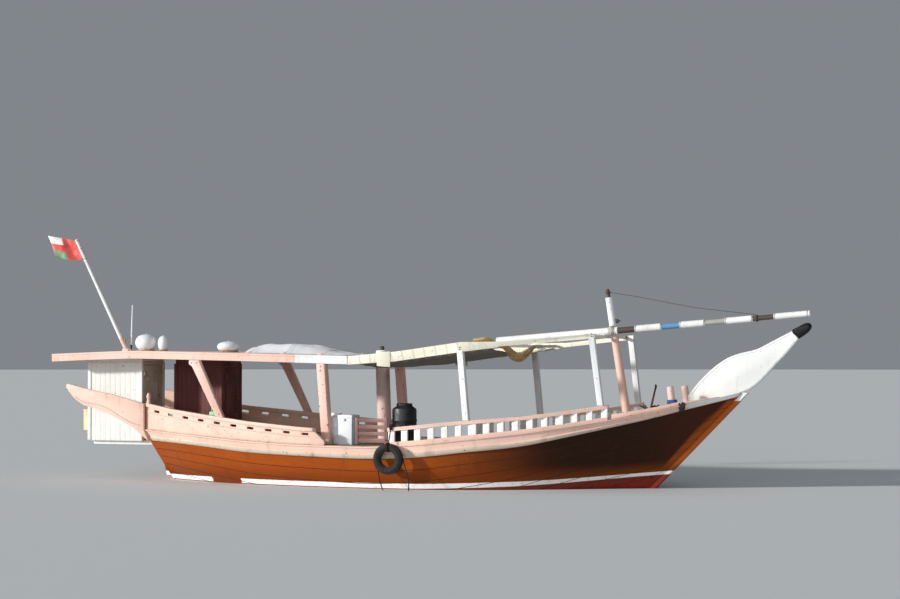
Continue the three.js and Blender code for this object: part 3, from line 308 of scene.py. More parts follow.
def eased(obj: Piece, width: float, segments: int = 2, angle: float = 28.0) -> Piece:
    """Rounds the piece's sharp edges, and marks the rounded faces for wear.

    Args:
        obj: A closed mesh.
        width: How wide the rounding is.
        segments: Faces across the rounding.
        angle: Edges sharper than this many degrees are rounded.

    Returns:
        The piece, with a face attribute "edge" that is 1 on the rounding.
    """
    marker = bpy.data.materials.get("edge_marker") or bpy.data.materials.new("edge_marker")
    while len(obj.data.materials) < 2:
        obj.data.materials.append(marker)
    bevel = obj.modifiers.new("ease", "BEVEL")
    bevel.width = width
    bevel.segments = segments
    bevel.limit_method = "ANGLE"
    bevel.angle_limit = math.radians(angle)
    bevel.use_clamp_overlap = True
    bevel.material = 1
    settled(obj)
    marked = [float(p.material_index == 1) for p in obj.data.polygons]
    obj.data.materials.clear()
    obj.data.polygons.foreach_set("material_index", [0] * len(marked))
    store(obj, "edge", marked, "FACE")
    return soften(obj, 40)


def store(obj: Piece, name: str, values: Sequence[float], domain: str = "POINT") -> None:
    """Writes a number for each point or face as a named attribute."""
    found = obj.data.attributes.get(name) or obj.data.attributes.new(name, "FLOAT", domain)
    found.data.foreach_set("value", np.asarray(values, np.float32))


def scored(obj: Piece, z: float) -> None:
    """Cuts a line of edges round a piece at a height, for where its paint changes."""
    with opened(obj.data) as work:
        parts = [*work.verts, *work.edges, *work.faces]
        bmesh.ops.bisect_plane(work, geom=parts, plane_co=(0, 0, z), plane_no=(0, 0, 1))


def copied(node: str, name: str | None = None, width: float = 0.008) -> Piece:
    """A merged copy of a frame node with its edges rounded, to stand in its place.

    Args:
        node: The node's name in the frame.
        name: The piece's name, or None for the node's with _wood added.
        width: How wide its edges are rounded, or 0 for none.

    Returns:
        The piece.
    """
    mesh = frame["nodes"][node].data.copy()
    obj = linked(name or f"{node}_wood", mesh)
    mesh.materials.clear()
    with opened(mesh) as work:
        bmesh.ops.remove_doubles(work, verts=work.verts, dist=2e-5)
        bmesh.ops.dissolve_limit(work, angle_limit=math.radians(0.6), verts=work.verts, edges=work.edges)
    for layer in list(mesh.uv_layers):
        mesh.uv_layers.remove(layer)
    return eased(obj, width) if width else soften(obj)


def placed(at: Sequence[float], degrees: float = 0.0, axis: str = "X") -> Matrix:
    """The matrix of a place, turned about an axis."""
    return Matrix.Translation(at) @ Matrix.Rotation(math.radians(degrees), 4, axis)


def turned(place: Matrix, radius: float, height: float, sides: int) -> Ring:
    """A ring of points round a matrix's Z axis."""
    ring = []
    for i in range(sides):
        turn = 2 * math.pi * i / sides
        ring.append(tuple(place @ Vector((radius * math.cos(turn), radius * math.sin(turn), height))))
    return ring


def spun(name: str, profile: Sequence[Pair], place: Matrix, sides: int = 40) -> Piece:
    """A turned piece from a profile of radius and height, put in place by a matrix."""
    return soften(lofted(name, [turned(place, radius, height, sides) for radius, height in profile]), 35)


def open_ring(name: str, profile: Sequence[Pair], place: Matrix, sides: int) -> Piece:
    """A turned ring whose profile closes on itself."""
    rows = len(profile) - 1
    points = [p for radius, height in profile[:-1] for p in turned(place, radius, height, sides)]
    faces = []
    for r in range(rows):
        n = (r + 1) % rows
        for i in range(sides):
            k = (i + 1) % sides
            faces.append((r * sides + i, r * sides + k, n * sides + k, n * sides + i))
    return soften(piece_from(name, points, faces), 40)


def rod(name: str, path: Sequence[Point], radius: float | Sequence[float], sides: int = 12) -> Piece:
    """A round rod or rope along a path, with a UV map: x in metres along it, y once round it.

    Args:
        name: The piece's name.
        path: The middle line.
        radius: One radius, or one for each point of the path.
        sides: Faces round it.

    Returns:
        The piece, closed at its ends.
    """
    p = [Vector(q) for q in path]
    radii = [radius] * len(p) if isinstance(radius, (int, float)) else list(radius)
    tangent = [(p[min(i + 1, len(p) - 1)] - p[max(i - 1, 0)]).normalized() for i in range(len(p))]
    side = tangent[0].orthogonal().normalized()
    points: list[Point] = []
    along = [0.0]
    for i, t in enumerate(tangent):
        side = (side - t * side.dot(t)).normalized()
        up = t.cross(side)
        for j in range(sides):
            turn = 2 * math.pi * j / sides
            points.append(tuple(p[i] + (side * math.cos(turn) + up * math.sin(turn)) * radii[i]))
        if i:
            along.append(along[-1] + (p[i] - p[i - 1]).length)
    faces = [
        (i * sides + j, i * sides + (j + 1) % sides, (i + 1) * sides + (j + 1) % sides, (i + 1) * sides + j)
        for i in range(len(p) - 1)
        for j in range(sides)
    ]
    quads = len(faces)
    faces += [tuple(reversed(range(sides))), tuple(range((len(p) - 1) * sides, len(p) * sides))]
    obj = meshed(name, points, faces)
    mesh = obj.data
    layer = mesh.uv_layers.new(name="UVMap")
    for face in mesh.polygons[:quads]:
        column = face.index % sides
        for loop in face.loop_indices:
            i, j = divmod(mesh.loops[loop].vertex_index, sides)
            layer.data[loop].uv = (along[i], (sides if column == sides - 1 and j == 0 else j) / sides)
    with opened(mesh) as work:
        bmesh.ops.recalc_face_normals(work, faces=work.faces)
    return soften(obj, 50)


def hung(
    obj: Piece, body: str = BODY, replaces: Iterable[str] = ()
) -> Piece:
    """Puts a finished piece on its body and hides the nodes it stands for."""
    nodes = tuple(replaces)
    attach(obj, body)
    if nodes:
        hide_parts(*nodes)
    log.info("%s: %d faces on %s", obj.name, len(obj.data.polygons), body)
    return obj


# Finishes


def paint(code: str) -> Colour:
    """A linear colour from a six-figure code."""
    parts = [int(code[i : i + 2], 16) / 255 for i in (0, 2, 4)]
    return tuple(c / 12.92 if c <= 0.04045 else ((c + 0.055) / 1.055) ** 2.4 for c in parts)


class Tree:
    """A node tree, with short ways to add nodes and join them."""

    def __init__(self, tree: bpy.types.NodeTree, family: str = "") -> None:
        """Keeps a tree, and the word that its nodes' kinds begin with."""
        self.tree = tree
        self.family = family

    def feed(self, socket: Socket, value: object) -> None:
        """Joins a socket to a value, which is a number, a colour or another socket."""
        if isinstance(value, Socket):
            self.tree.links.new(value, socket)
        elif isinstance(value, tuple) and socket.type == "RGBA":
            socket.default_value = (*value, 1.0)
        else:
            socket.default_value = value

    def add(self, kind: str, inputs: dict, output: int | str = 0, **settings: object) -> Socket:
        """Adds a node, feeds its inputs and gives one of its outputs."""
        node = self.tree.nodes.new(f"{self.family}{kind}")
        for key, value in settings.items():
            setattr(node, key, value)
        for key, value in inputs.items():
            self.feed(node.inputs[key], value)
        return node.outputs[output]


class Palette(Tree):
    """A material's node tree."""

    def __init__(self, name: str) -> None:
        """Starts an empty material with one surface shader."""
        self.material = bpy.data.materials.new(name)
        self.material.use_nodes = True
        super().__init__(self.material.node_tree, "ShaderNode")
        self.tree.nodes.clear()
        self.surface = self.tree.nodes.new("ShaderNodeBsdfPrincipled")
        output = self.tree.nodes.new("ShaderNodeOutputMaterial")
        self.tree.links.new(self.surface.outputs[0], output.inputs[0])

    def dress(self, **values: object) -> None:
        """Feeds the surface shader's sockets, named with spaces as underscores."""
        for key, value in values.items():
            self.feed(self.surface.inputs[key.replace("_", " ")], value)

    def place(self, scale: Point = (1, 1, 1), source: str = "Object") -> Socket:
        """Coordinates of the piece, stretched by scale."""
        coords = self.add("TexCoord", {}, source)
        return self.add("Mapping", {"Vector": coords, "Scale": scale})

    def grain(self, where: Socket, scale: float, detail: float = 4.0, twist: float = 0.0) -> Socket:
        """Cloudy noise from 0 to 1."""
        values = {"Vector": where, "Scale": scale, "Detail": detail, "Distortion": twist}
        return self.add("TexNoise", values)

    def told(self, name: str) -> Socket:
        """A number stored on the piece."""
        return self.add("Attribute", {}, "Fac", attribute_name=name)

    def band(
        self, value: Socket, low: float, high: float, to_low: float = 0.0, to_high: float = 1.0
    ) -> Socket:
        """A value's rise between low and high, kept to the ends outside them."""
        inputs = {0: value, 1: low, 2: high, 3: to_low, 4: to_high}
        return self.add("MapRange", inputs, interpolation_type="SMOOTHSTEP")

    def sum(self, how: str, a: object, b: object = 0.5) -> Socket:
        """A sum of two values, by the name of the operation."""
        return self.add("Math", {0: a, 1: b}, operation=how)

    def times(self, a: object, b: object) -> Socket:
        """One value times another."""
        return self.sum("MULTIPLY", a, b)

    def plus(self, a: object, b: object) -> Socket:
        """One value and another added."""
        return self.sum("ADD", a, b)

    def blend(self, share: object, a: object, b: object, how: str = "MIX") -> Socket:
        """Two colours mixed by a share of the second."""
        node = self.tree.nodes.new("ShaderNodeMix")
        node.data_type = "RGBA"
        node.blend_type = how
        for index, value in ((0, share), (6, a), (7, b)):
            self.feed(node.inputs[index], value)
        return node.outputs[2]

    def relief(
        self, height: Socket, distance: float, strength: float = 1.0, under: object = None
    ) -> Socket:
        """A bump from a height, over another bump if one is given."""
        values: dict = {"Height": height, "Distance": distance, "Strength": strength}
        if under is not None:
            values["Normal"] = under
        return self.add("Bump", values)


@dataclass(frozen=True)
class Finish:
    """A finish that dresses pieces: each kind builds its own nodes once."""

    name: str
    slot: str

    def build(self, palette: Palette) -> None:
        """Fills in the material's nodes."""
        raise NotImplementedError

    def material(self) -> bpy.types.Material:
        """The finish's material, built at its first use."""
        full_name = f"{self.name}_finish"
        found = bpy.data.materials.get(full_name)
        if found:
            return found
        palette = Palette(full_name)
        self.build(palette)
        return palette.material

    def on(self, obj: Piece) -> Piece:
        """Gives every face of a piece this finish."""
        if obj.data.materials:
            for i in range(len(obj.data.materials)):
                obj.data.materials[i] = self.material()
        else:
            obj.data.materials.append(self.material())
        return obj


@dataclass(frozen=True)
class PaintedWood(Finish):
    """Brushed paint over timber: faded, streaked by rain and salt, and worn through at its edges."""

    colour: Colour = (1.0, 1.0, 1.0)
    dirt: Colour = paint("8f7663")
    wood: Colour = paint("7b5237")
    streaks: float = 0.3
    wear: float = 0.5
    gloss: float = 0.55
    run: Point = (0.9, 16.0, 16.0)

    def build(self, palette: Palette) -> None:
        """Paint, streaks, chips and brush marks."""
        plain = palette.place()
        fade = palette.band(palette.grain(plain, 0.9, 3), 0.3, 0.7)
        colour = palette.blend(fade, tuple(c * 0.86 for c in self.colour), self.colour)
        runs = palette.grain(palette.place((7, 7, 0.55)), 1.0, 5)
        patches = palette.grain(plain, 3.1, 5, 0.4)
        stain = palette.times(palette.band(runs, 0.5, 0.74), palette.band(patches, 0.36, 0.66))
        colour = palette.blend(palette.times(stain, self.streaks), colour, self.dirt)
        specks = palette.grain(plain, 21.0, 7, 0.6)
        edge = palette.times(palette.told("edge"), 0.17 * self.wear)
        chips = palette.band(palette.plus(specks, edge), 0.7 - 0.08 * self.wear, 0.74 - 0.06 * self.wear)
        colour = palette.blend(chips, colour, self.wood)
        brush = palette.grain(palette.place(self.run), 5.0, 5)
        rough = palette.band(patches, 0.2, 0.8, self.gloss - 0.12, self.gloss + 0.16)
        marks = palette.relief(brush, 0.003, 0.5)
        surface = palette.relief(chips, 0.002, 0.6, marks)
        palette.dress(Base_Color=colour, Roughness=rough, Normal=surface, Specular_IOR_Level=0.3)


@dataclass(frozen=True)
class HullVarnish(Finish):
    """Oiled orange planks over a white boot stripe and dark red bottom paint.

    The pieces tell it four numbers at each point: "over", the height above the stripe's lower
    edge, "tone", the plank's own shade, "bare", where the stripe is worn away, and "bow", how much
    painted shade darkens the flaring bow there.
    """

    light: Colour = paint("c4611c")
    dark: Colour = paint("96450f")
    bottom: Colour = paint("8c2a20")
    # Painted shade: near-black colour for the flaring bow, standing in for the shade it turns into.
    bow: Colour = paint("1b0f07")
    stripe: Colour = paint("f4f4f0")
    stripe_high: float = 0.1

    def build(self, palette: Palette) -> None:
        """Grain and planks above the stripe, the stripe, and the bottom paint under it."""
        plain = palette.place()
        figure = palette.grain(palette.place((0.5, 5.0, 7.0)), 4.0, 7, 0.8)
        cloud = palette.grain(palette.place((0.6, 1, 1)), 0.8, 3)
        tone = palette.times(palette.told("tone"), 0.42)
        depth = palette.plus(palette.times(figure, 0.45), tone)
        depth = palette.plus(depth, palette.times(cloud, 0.3))
        wood = palette.blend(palette.band(depth, 0.2, 0.95), self.dark, self.light)
        # Painted shade: the "bow" number blends the wood towards near black where the bow turns from the
        # light.
        wood = palette.blend(palette.times(palette.told("bow"), 0.95), wood, self.bow)
        damp = palette.band(palette.told("over"), 0.08, 0.5)
        wood = palette.blend(damp, tuple(c * 0.62 for c in self.dark), wood)
        runs = palette.band(palette.grain(palette.place((5, 5, 0.4)), 1.0, 5), 0.55, 0.78)
        wood = palette.blend(palette.times(runs, 0.3), wood, paint("4a2413"))
        specks = palette.grain(plain, 9.0, 6, 0.5)
        worn = palette.sum("SUBTRACT", specks, palette.told("bare"))
        white = palette.blend(palette.band(specks, 0.5, 0.8), self.stripe, paint("d3cfc2"))
        shown = palette.band(worn, 0.2, 0.3)
        over = palette.plus(palette.told("over"), palette.times(palette.sum("SUBTRACT", specks), 0.012))
        above = palette.band(over, -0.003, 0.003)
        under_top = palette.band(over, self.stripe_high - 0.003, self.stripe_high + 0.003, 1.0, 0.0)
        stripe = palette.times(palette.times(above, under_top), shown)
        weed = palette.blend(palette.band(specks, 0.5, 0.75), self.bottom, paint("4b241d"))
        slime = palette.band(palette.told("over"), -0.35, -0.02)
        weed = palette.blend(palette.times(slime, 0.2), weed, paint("39402b"))
        colour = palette.blend(above, weed, wood)
        colour = palette.blend(stripe, colour, white)
        rough = palette.band(palette.plus(specks, stripe), 0.3, 1.2, 0.34, 0.62)
        fine = palette.relief(figure, 0.004, 0.55)
        palette.dress(Base_Color=colour, Roughness=rough, Normal=fine, Specular_IOR_Level=0.16)


@dataclass(frozen=True)
class BareBoards(Finish):
    """Scrubbed boards, each with its own shade, and footmarks."""

    light: Colour = paint("b79f80")
    dark: Colour = paint("7d6450")
    run: Point = (0.7, 9.0, 9.0)

    def build(self, palette: Palette) -> None:
        """Long grain in shades by board."""
        figure = palette.grain(palette.place(self.run), 4.0, 6, 0.5)
        depth = palette.plus(palette.times(palette.told("tone"), 0.5), figure)
        colour = palette.blend(palette.band(depth, 0.35, 1.0), self.dark, self.light)
        worn = palette.band(palette.grain(palette.place(), 1.6, 6, 0.5), 0.45, 0.72)
        colour = palette.blend(palette.times(worn, 0.35), colour, paint("5b4839"))
        palette.dress(Base_Color=colour, Roughness=0.82, Normal=palette.relief(figure, 0.004, 0.6))


@dataclass(frozen=True)
class Moulded(Finish):
    """Sun-bleached moulded plastic with scuffs."""

    colour: Colour = (0.8, 0.8, 0.8)
    scuff: Colour = paint("8d8d88")
    gloss: float = 0.42

    def build(self, palette: Palette) -> None:
        """Chalked plastic, scratched and dusty."""
        plain = palette.place()
        chalk = palette.band(palette.grain(plain, 4.0, 5, 0.4), 0.35, 0.75)
        colour = palette.blend(chalk, self.colour, tuple(min(1.0, c * 0.82 + 0.03) for c in self.colour))
        scratches = palette.band(palette.grain(palette.place((3, 3, 26)), 5.0, 6, 0.8), 0.64, 0.76)
        colour = palette.blend(palette.times(scratches, 0.4), colour, self.scuff)
        rough = palette.band(chalk, 0.0, 1.0, self.gloss, self.gloss + 0.25)
        skin = palette.relief(palette.grain(plain, 160.0, 2), 0.0008, 0.35)
        palette.dress(Base_Color=colour, Roughness=rough, Normal=skin)


@dataclass(frozen=True)
class Woven(Finish):
    """Canvas or thin cloth, its threads on the piece's UV map, faded and stained."""

    colour: Colour = (0.8, 0.8, 0.8)
    faded: Colour = (0.7, 0.7, 0.7)
    stain: Colour = paint("6e5f4c")
    threads: float = 420.0
    stained: float = 0.3
    sheen: float = 0.15

    def shade(self, palette: Palette) -> Socket:
        """The cloth's colour before its stains."""
        fade = palette.band(palette.grain(palette.place(), 1.4, 4, 0.3), 0.3, 0.7)
        return palette.blend(fade, self.colour, self.faded)

    def build(self, palette: Palette) -> None:
        """Threads both ways, stains and a soft sheen."""
        plain = palette.place()
        colour = self.shade(palette)
        marks = palette.band(palette.grain(plain, 2.7, 6, 0.7), 0.52, 0.72)
        colour = palette.blend(palette.times(marks, self.stained), colour, self.stain)
        cloth = palette.place(source="UV")
        waves = {"Vector": cloth, "Scale": self.threads, "Distortion": 0.4}
        warp = palette.add("TexWave", waves, 1, bands_direction="X")
        weft = palette.add("TexWave", waves, 1, bands_direction="Y")
        threads = palette.times(warp, weft)
        folds = palette.grain(plain, 13.0, 5, 0.5)
        surface = palette.relief(threads, 0.0012, 0.45, palette.relief(folds, 0.006, 0.35))
        palette.dress(Base_Color=colour, Roughness=0.88, Normal=surface, Sheen_Weight=self.sheen)


@dataclass(frozen=True)
class StripedCloth(Woven):
    """Thin cloth in plain stripes: one beside the staff, and three along the fly."""

    hoist: Colour = paint("d8453a")
    top: Colour = paint("f2f2ee")
    low: Colour = paint("5c9466")
    hoist_share: float = 0.5

    def shade(self, palette: Palette) -> Socket:
        """Stripes on the cloth's UV map: x along the fly, y from the foot up."""
        where = palette.add("SeparateXYZ", {0: palette.add("TexCoord", {}, "UV")}, "X")
        height = palette.add("SeparateXYZ", {0: palette.add("TexCoord", {}, "UV")}, "Y")
        upper = palette.sum("GREATER_THAN", height, 2 / 3)
        lower = palette.sum("LESS_THAN", height, 1 / 3)
        fly = palette.blend(upper, self.hoist, self.top)
        fly = palette.blend(lower, fly, self.low)
        colour = palette.blend(palette.sum("LESS_THAN", where, self.hoist_share), fly, self.hoist)
        fade = palette.band(palette.grain(palette.place(), 5.0, 4), 0.35, 0.8)
        return palette.blend(palette.times(fade, 0.35), colour, self.faded)


@dataclass(frozen=True)
class Laid(Finish):
    """Rope laid in three strands, on a UV map with metres along it."""

    colour: Colour = (0.1, 0.1, 0.1)
    pale: Colour = (0.2, 0.2, 0.2)
    lay: float = 0.05

    def build(self, palette: Palette) -> None:
        """Strands that wind round the rope."""
        parts = palette.add("TexCoord", {}, "UV")
        along = palette.add("SeparateXYZ", {0: parts}, "X")
        around = palette.add("SeparateXYZ", {0: parts}, "Y")
        turns = palette.plus(palette.times(along, 1 / self.lay), around)
        wave = palette.sum("SINE", palette.times(turns, 6 * math.pi))
        strand = palette.band(wave, -1.0, 1.0)
        fibre = palette.grain(palette.place(), 70.0, 4)
        shade = palette.times(strand, palette.band(fibre, 0.3, 0.8, 0.5, 1.0))
        colour = palette.blend(shade, self.colour, self.pale)
        surface = palette.relief(strand, 0.004, 0.7, palette.relief(fibre, 0.001, 0.4))
        palette.dress(Base_Color=colour, Roughness=0.9, Normal=surface)


@dataclass(frozen=True)
class Metal(Finish):
    """Cast or forged metal with rust or tarnish over it."""

    colour: Colour = (0.4, 0.3, 0.2)
    crust: Colour = paint("7d4326")
    cover: float = 0.5
    rough: float = 0.45

    def build(self, palette: Palette) -> None:
        """Metal under patches of crust."""
        plain = palette.place()
        patches = palette.grain(plain, 11.0, 7, 0.5)
        crust = palette.band(patches, 0.75 - 0.5 * self.cover, 0.85 - 0.5 * self.cover)
        colour = palette.blend(crust, self.colour, palette.blend(patches, paint("46261a"), self.crust))
        rough = palette.band(crust, 0.0, 1.0, self.rough, 0.92)
        metal = palette.band(crust, 0.0, 1.0, 0.9, 0.0)
        pits = palette.relief(palette.grain(plain, 60.0, 5), 0.002, 0.6)
        palette.dress(Base_Color=colour, Roughness=rough, Metallic=metal, Normal=pits)


@dataclass(frozen=True)
class OldRubber(Finish):
    """Greyed tyre rubber with salt in its cracks."""

    def build(self, palette: Palette) -> None:
        """Black rubber, dusted and cracked."""
        plain = palette.place()
        dust = palette.band(palette.grain(plain, 6.0, 6, 0.6), 0.4, 0.75)
        colour = palette.blend(palette.times(dust, 0.6), paint("101113"), paint("34332f"))
        cracks = palette.grain(plain, 45.0, 5, 1.2)
        palette.dress(Base_Color=colour, Roughness=0.78, Normal=palette.relief(cracks, 0.002, 0.5))


def finished(
    obj: Piece, finishes: Sequence[Finish], choice: Callable[[bpy.types.MeshPolygon], int | bool]
) -> Piece:
    """Dresses a piece in the first finish, and adds the others where the choice of a face says so."""
    finishes[0].on(obj)
    for finish in finishes[1:]:
        obj.data.materials.append(finish.material())
    for face in obj.data.polygons:
        face.material_index = int(choice(face))
    return obj


PINK = PaintedWood("pink_paint", "pink_paint", colour=paint("f4cdbb"), streaks=0.34, wear=0.45)
PINK_UP = PaintedWood("pink_post_paint", "pink_paint", colour=paint("f3c9ba"), run=(16, 16, 0.9), streaks=0.3)
WHITE = PaintedWood("white_paint", "white_paint", colour=paint("f0f1ee"), streaks=0.26, wear=0.3, gloss=0.45)
WHITE_UP = PaintedWood(
    "white_post_paint", "white_paint", colour=paint("eef0f0"), run=(16, 16, 0.9), streaks=0.25
)
CREAM = PaintedWood(
    "cream_paint", "cream_paint", colour=paint("eeefe8"), run=(9, 9, 0.8), streaks=0.22, wear=0.2
)
MAROON = PaintedWood(
    "maroon_paint", "maroon_paint", colour=paint("6b3a35"), dirt=paint("3d2320"), run=(12, 12, 0.8), wear=0.4
)
# Painted shade: a darker mauve on the main mast's stump under the awning, standing in for the shade on its
# cream paint. Its streaks and wear are real.
MAUVE_SHADE = PaintedWood(
    "mauve_paint",
    "mauve_paint",
    colour=paint("dfc1b8"),
    dirt=paint("8f7973"),
    run=(10, 10, 0.7),
    streaks=0.6,
    wear=0.8,
)
BLACK = PaintedWood(
    "black_paint", "black_paint", colour=paint("0d0e10"), dirt=paint("26262a"), wear=0.4, gloss=0.4
)
SLATE = PaintedWood("slat_stain", "dark_wood", colour=paint("8a6761"), dirt=paint("3c2c2a"), wear=0.4)
BLUE_BAND = PaintedWood("blue_band_paint", "white_paint", colour=paint("5b93bd"), wear=0.3)
GREY_BAND = PaintedWood("grey_band_paint", "white_paint", colour=paint("a8a49d"), wear=0.3)
DARK_BAND = PaintedWood("dark_band_paint", "white_paint", colour=paint("514640"), wear=0.5)
VARNISH = HullVarnish("hull_varnish", "varnished_wood")
BOARDS = BareBoards("deck_boards", "deck_wood")
WHITE_PLASTIC = Moulded("white_plastic", "white_plastic", colour=paint("eef1f5"))
NAVY_PLASTIC = Moulded("navy_plastic", "navy_plastic", colour=paint("060b16"), scuff=paint("0f1826"))
GREEN_PLASTIC = Moulded("green_plastic", "green_plastic", colour=paint("6fd492"))
CANVAS = Woven("awning_canvas", "canvas", colour=paint("dedace"), faded=paint("cbc5b5"), stained=0.4)
# Painted shade: a darker canvas for the awning's downward faces, standing in for the shade under it. Its
# stains are dirt.
SHADED_UNDER_CANVAS = Woven("under_canvas", "canvas", colour=paint("5f5c4f"), faded=paint("726e5f"), stained=0.5)
OCHRE = Woven("ochre_canvas", "ochre_cloth", colour=paint("b08745"), faded=paint("c9a768"), stained=0.5)
TARP = Woven("tarp_weave", "tarp", colour=paint("f0f1f4"), faded=paint("dcdee4"), stained=0.16, threads=260.0)
FLAG = StripedCloth("striped_cloth", "flag_cloth", faded=paint("e8c9c0"), stained=0.1, threads=300.0)
ROPE = Laid("dark_rope", "rope", colour=paint("14130f"), pale=paint("2f2c26"))
PALE_ROPE = Laid("hemp_rope", "rope", colour=paint("8a7656"), pale=paint("c7b48d"))
SERVING = Laid("pale_rope", "rope", colour=paint("b9b6ab"), pale=paint("e4e2da"))
STAY_ROPE = Laid("grey_rope", "rope", colour=paint("4a443c"), pale=paint("7a7266"))
BLUE_ROPE = Laid("blue_rope", "rope", colour=paint("26458a"), pale=paint("5f84c4"))
BRONZE = Metal("cast_bronze", "bronze", colour=paint("a5803e"), crust=paint("4f6f5e"), cover=0.35)
IRON = Metal("rusty_iron", "rusty_iron", colour=paint("54392f"), cover=0.85)
TYRE = OldRubber("old_tyre", "tyre")


def stand_in(
    node: str, parts: Sequence[Piece], word: str = "wood", body: str = BODY
) -> Piece:
    """Joins parts into the piece that takes a node's place, named for it, and hangs it on its body."""
    return hung(joined(f"{node}_{word}", parts), body, replaces=[node])


# Repeats made by node trees


class Recipe(Tree):
    """A Geometry Nodes tree with named inputs, which ends in realized, dressed mesh."""

    KINDS = {float: "NodeSocketFloat", int: "NodeSocketInt", Piece: "NodeSocketObject"}

    def __init__(self, name: str, inputs: dict[str, type]) -> None:
        """Starts a tree.

        Args:
            name: The tree's name.
            inputs: The kind of each named input after the geometry.
        """
        super().__init__(bpy.data.node_groups.new(name, "GeometryNodeTree"))
        self.tree.interface.new_socket("Geometry", in_out="INPUT", socket_type="NodeSocketGeometry")
        self.ids: dict[str, str] = {}
        for key, kind in inputs.items():
            made = self.tree.interface.new_socket(key, in_out="INPUT", socket_type=self.KINDS[kind])
            self.ids[key] = made.identifier
        made = self.tree.interface.new_socket("Material", in_out="INPUT", socket_type="NodeSocketMaterial")
        self.ids["Material"] = made.identifier
        self.tree.interface.new_socket("Geometry", in_out="OUTPUT", socket_type="NodeSocketGeometry")
        self.start = self.tree.nodes.new("NodeGroupInput")
        self.end = self.tree.nodes.new("NodeGroupOutput")

    def given(self, name: str) -> Socket:
        """One of the tree's named inputs."""
        return self.start.outputs[name]

    def close(self, geometry: Socket) -> None:
        """Realizes the geometry, gives it its material and ends the tree."""
        made = self.add("GeometryNodeRealizeInstances", {0: geometry})
        made = self.add("GeometryNodeSetMaterial", {"Geometry": made, "Material": self.given("Material")})
        self.tree.links.new(made, self.end.inputs[0])

    def run(self, obj: Piece, finish: Finish, **values: object) -> Piece:
        """Runs the tree on a piece and leaves its result as the piece's plain mesh.

        Args:
            obj: The piece, whose mesh holds the places.
            finish: What the result is dressed in.
            values: The tree's inputs by name.

        Returns:
            The piece.
        """
        modifier = obj.modifiers.new("recipe", "NODES")
        modifier.node_group = self.tree
        modifier[self.ids["Material"]] = finish.material()
        for key, value in values.items():
            modifier[self.ids[key]] = value
        return settled(obj)


def repeats_recipe() -> Recipe:
    """A pattern piece at every point, turned to the point's "out" and stretched by its "size"."""
    made = Recipe("repeats", {"Pattern": Piece, "Seed": int})
    out = made.add("GeometryNodeInputNamedAttribute", {"Name": "out"}, data_type="FLOAT_VECTOR")
    size = made.add("GeometryNodeInputNamedAttribute", {"Name": "size"}, data_type="FLOAT_VECTOR")
    facing = made.add("FunctionNodeAlignRotationToVector", {"Vector": out}, axis="Z")
    pattern = made.add("GeometryNodeObjectInfo", {"Object": made.given("Pattern")}, "Geometry")
    places = made.add("GeometryNodeMeshToPoints", {"Mesh": made.start.outputs[0]})
    put = {"Points": places, "Instance": pattern, "Rotation": facing, "Scale": size}
    instances = made.add("GeometryNodeInstanceOnPoints", put)
    shade = made.add("FunctionNodeRandomValue", {"Seed": made.given("Seed")}, 1, data_type="FLOAT")
    store_tone = {"Geometry": instances, "Name": "tone", "Value": shade}
    made.close(made.add("GeometryNodeStoreNamedAttribute", store_tone, data_type="FLOAT", domain="INSTANCE"))
    return made


def sweeps_recipe() -> Recipe:
    """A flat board swept along every chain of edges, each with a shade of its own."""
    made = Recipe("sweeps", {"Width": float, "Thickness": float, "Seed": int})
    lines = made.add("GeometryNodeMeshToCurve", {"Mesh": made.start.outputs[0]})
    lines = made.add("GeometryNodeSetCurveNormal", {"Curve": lines}, mode="Z_UP")
    shape = {"Width": made.given("Width"), "Height": made.given("Thickness")}
    profile = made.add("GeometryNodeCurvePrimitiveQuadrilateral", shape)
    swept = made.add("GeometryNodeCurveToMesh", {"Curve": lines, "Profile Curve": profile, "Fill Caps": True})
    island = made.add("GeometryNodeInputMeshIsland", {})
    seeded = {"ID": island, "Seed": made.given("Seed")}
    shade = made.add("FunctionNodeRandomValue", seeded, 1, data_type="FLOAT")
    store_tone = {"Geometry": swept, "Name": "tone", "Value": shade}
    made.close(made.add("GeometryNodeStoreNamedAttribute", store_tone, data_type="FLOAT", domain="POINT"))
    return made


REPEATS = repeats_recipe()
SWEEPS = sweeps_recipe()


def repeated(
    name: str,
    pattern: Piece,
    places: Sequence[Point],
    finish: Finish,
    outs: Sequence[Point] | None = None,
    sizes: Sequence[Point] | None = None,
) -> Piece:
    """Copies of a pattern at places, by the repeats recipe, with the pattern then removed.

    Args:
        name: The piece's name.
        pattern: A small piece about the origin, with its own Z pointing out.
        places: Where the copies stand.
        finish: What they are dressed in.
        outs: Which way each copy's Z points, or None for up.
        sizes: How each copy is stretched, or None for its own size.

    Returns:
        The piece.
    """
    obj = meshed(name, places, [])
    for key, values, plain in (("out", outs, (0.0, 0.0, 1.0)), ("size", sizes, (1.0, 1.0, 1.0))):
        layer = obj.data.attributes.new(key, "FLOAT_VECTOR", "POINT")
        layer.data.foreach_set("vector", np.array(values or [plain] * len(places), np.float32).ravel())
    REPEATS.run(obj, finish, Pattern=pattern, Seed=SEED)
    bpy.data.objects.remove(pattern)
    return soften(obj, 35)


def boarded(
    name: str, lines: Sequence[Sequence[Point]], width: float, thickness: float, finish: Finish
) -> Piece:
    """Boards swept along lines, by the sweeps recipe.

    Args:
        name: The piece's name.
        lines: The middle line of each board.
        width: Across the boards, level.
        thickness: Their height.
        finish: What they are dressed in.

    Returns:
        The piece.
    """
    points: list[Point] = []
    edges: list[tuple[int, int]] = []
    for line in lines:
        start = len(points)
        points.extend(tuple(p) for p in line)
        edges.extend((start + i, start + i + 1) for i in range(len(line) - 1))
    obj = meshed(name, points, [], edges)
    SWEEPS.run(obj, finish, Width=width, Thickness=thickness, Seed=SEED)
    return soften(obj, 30)


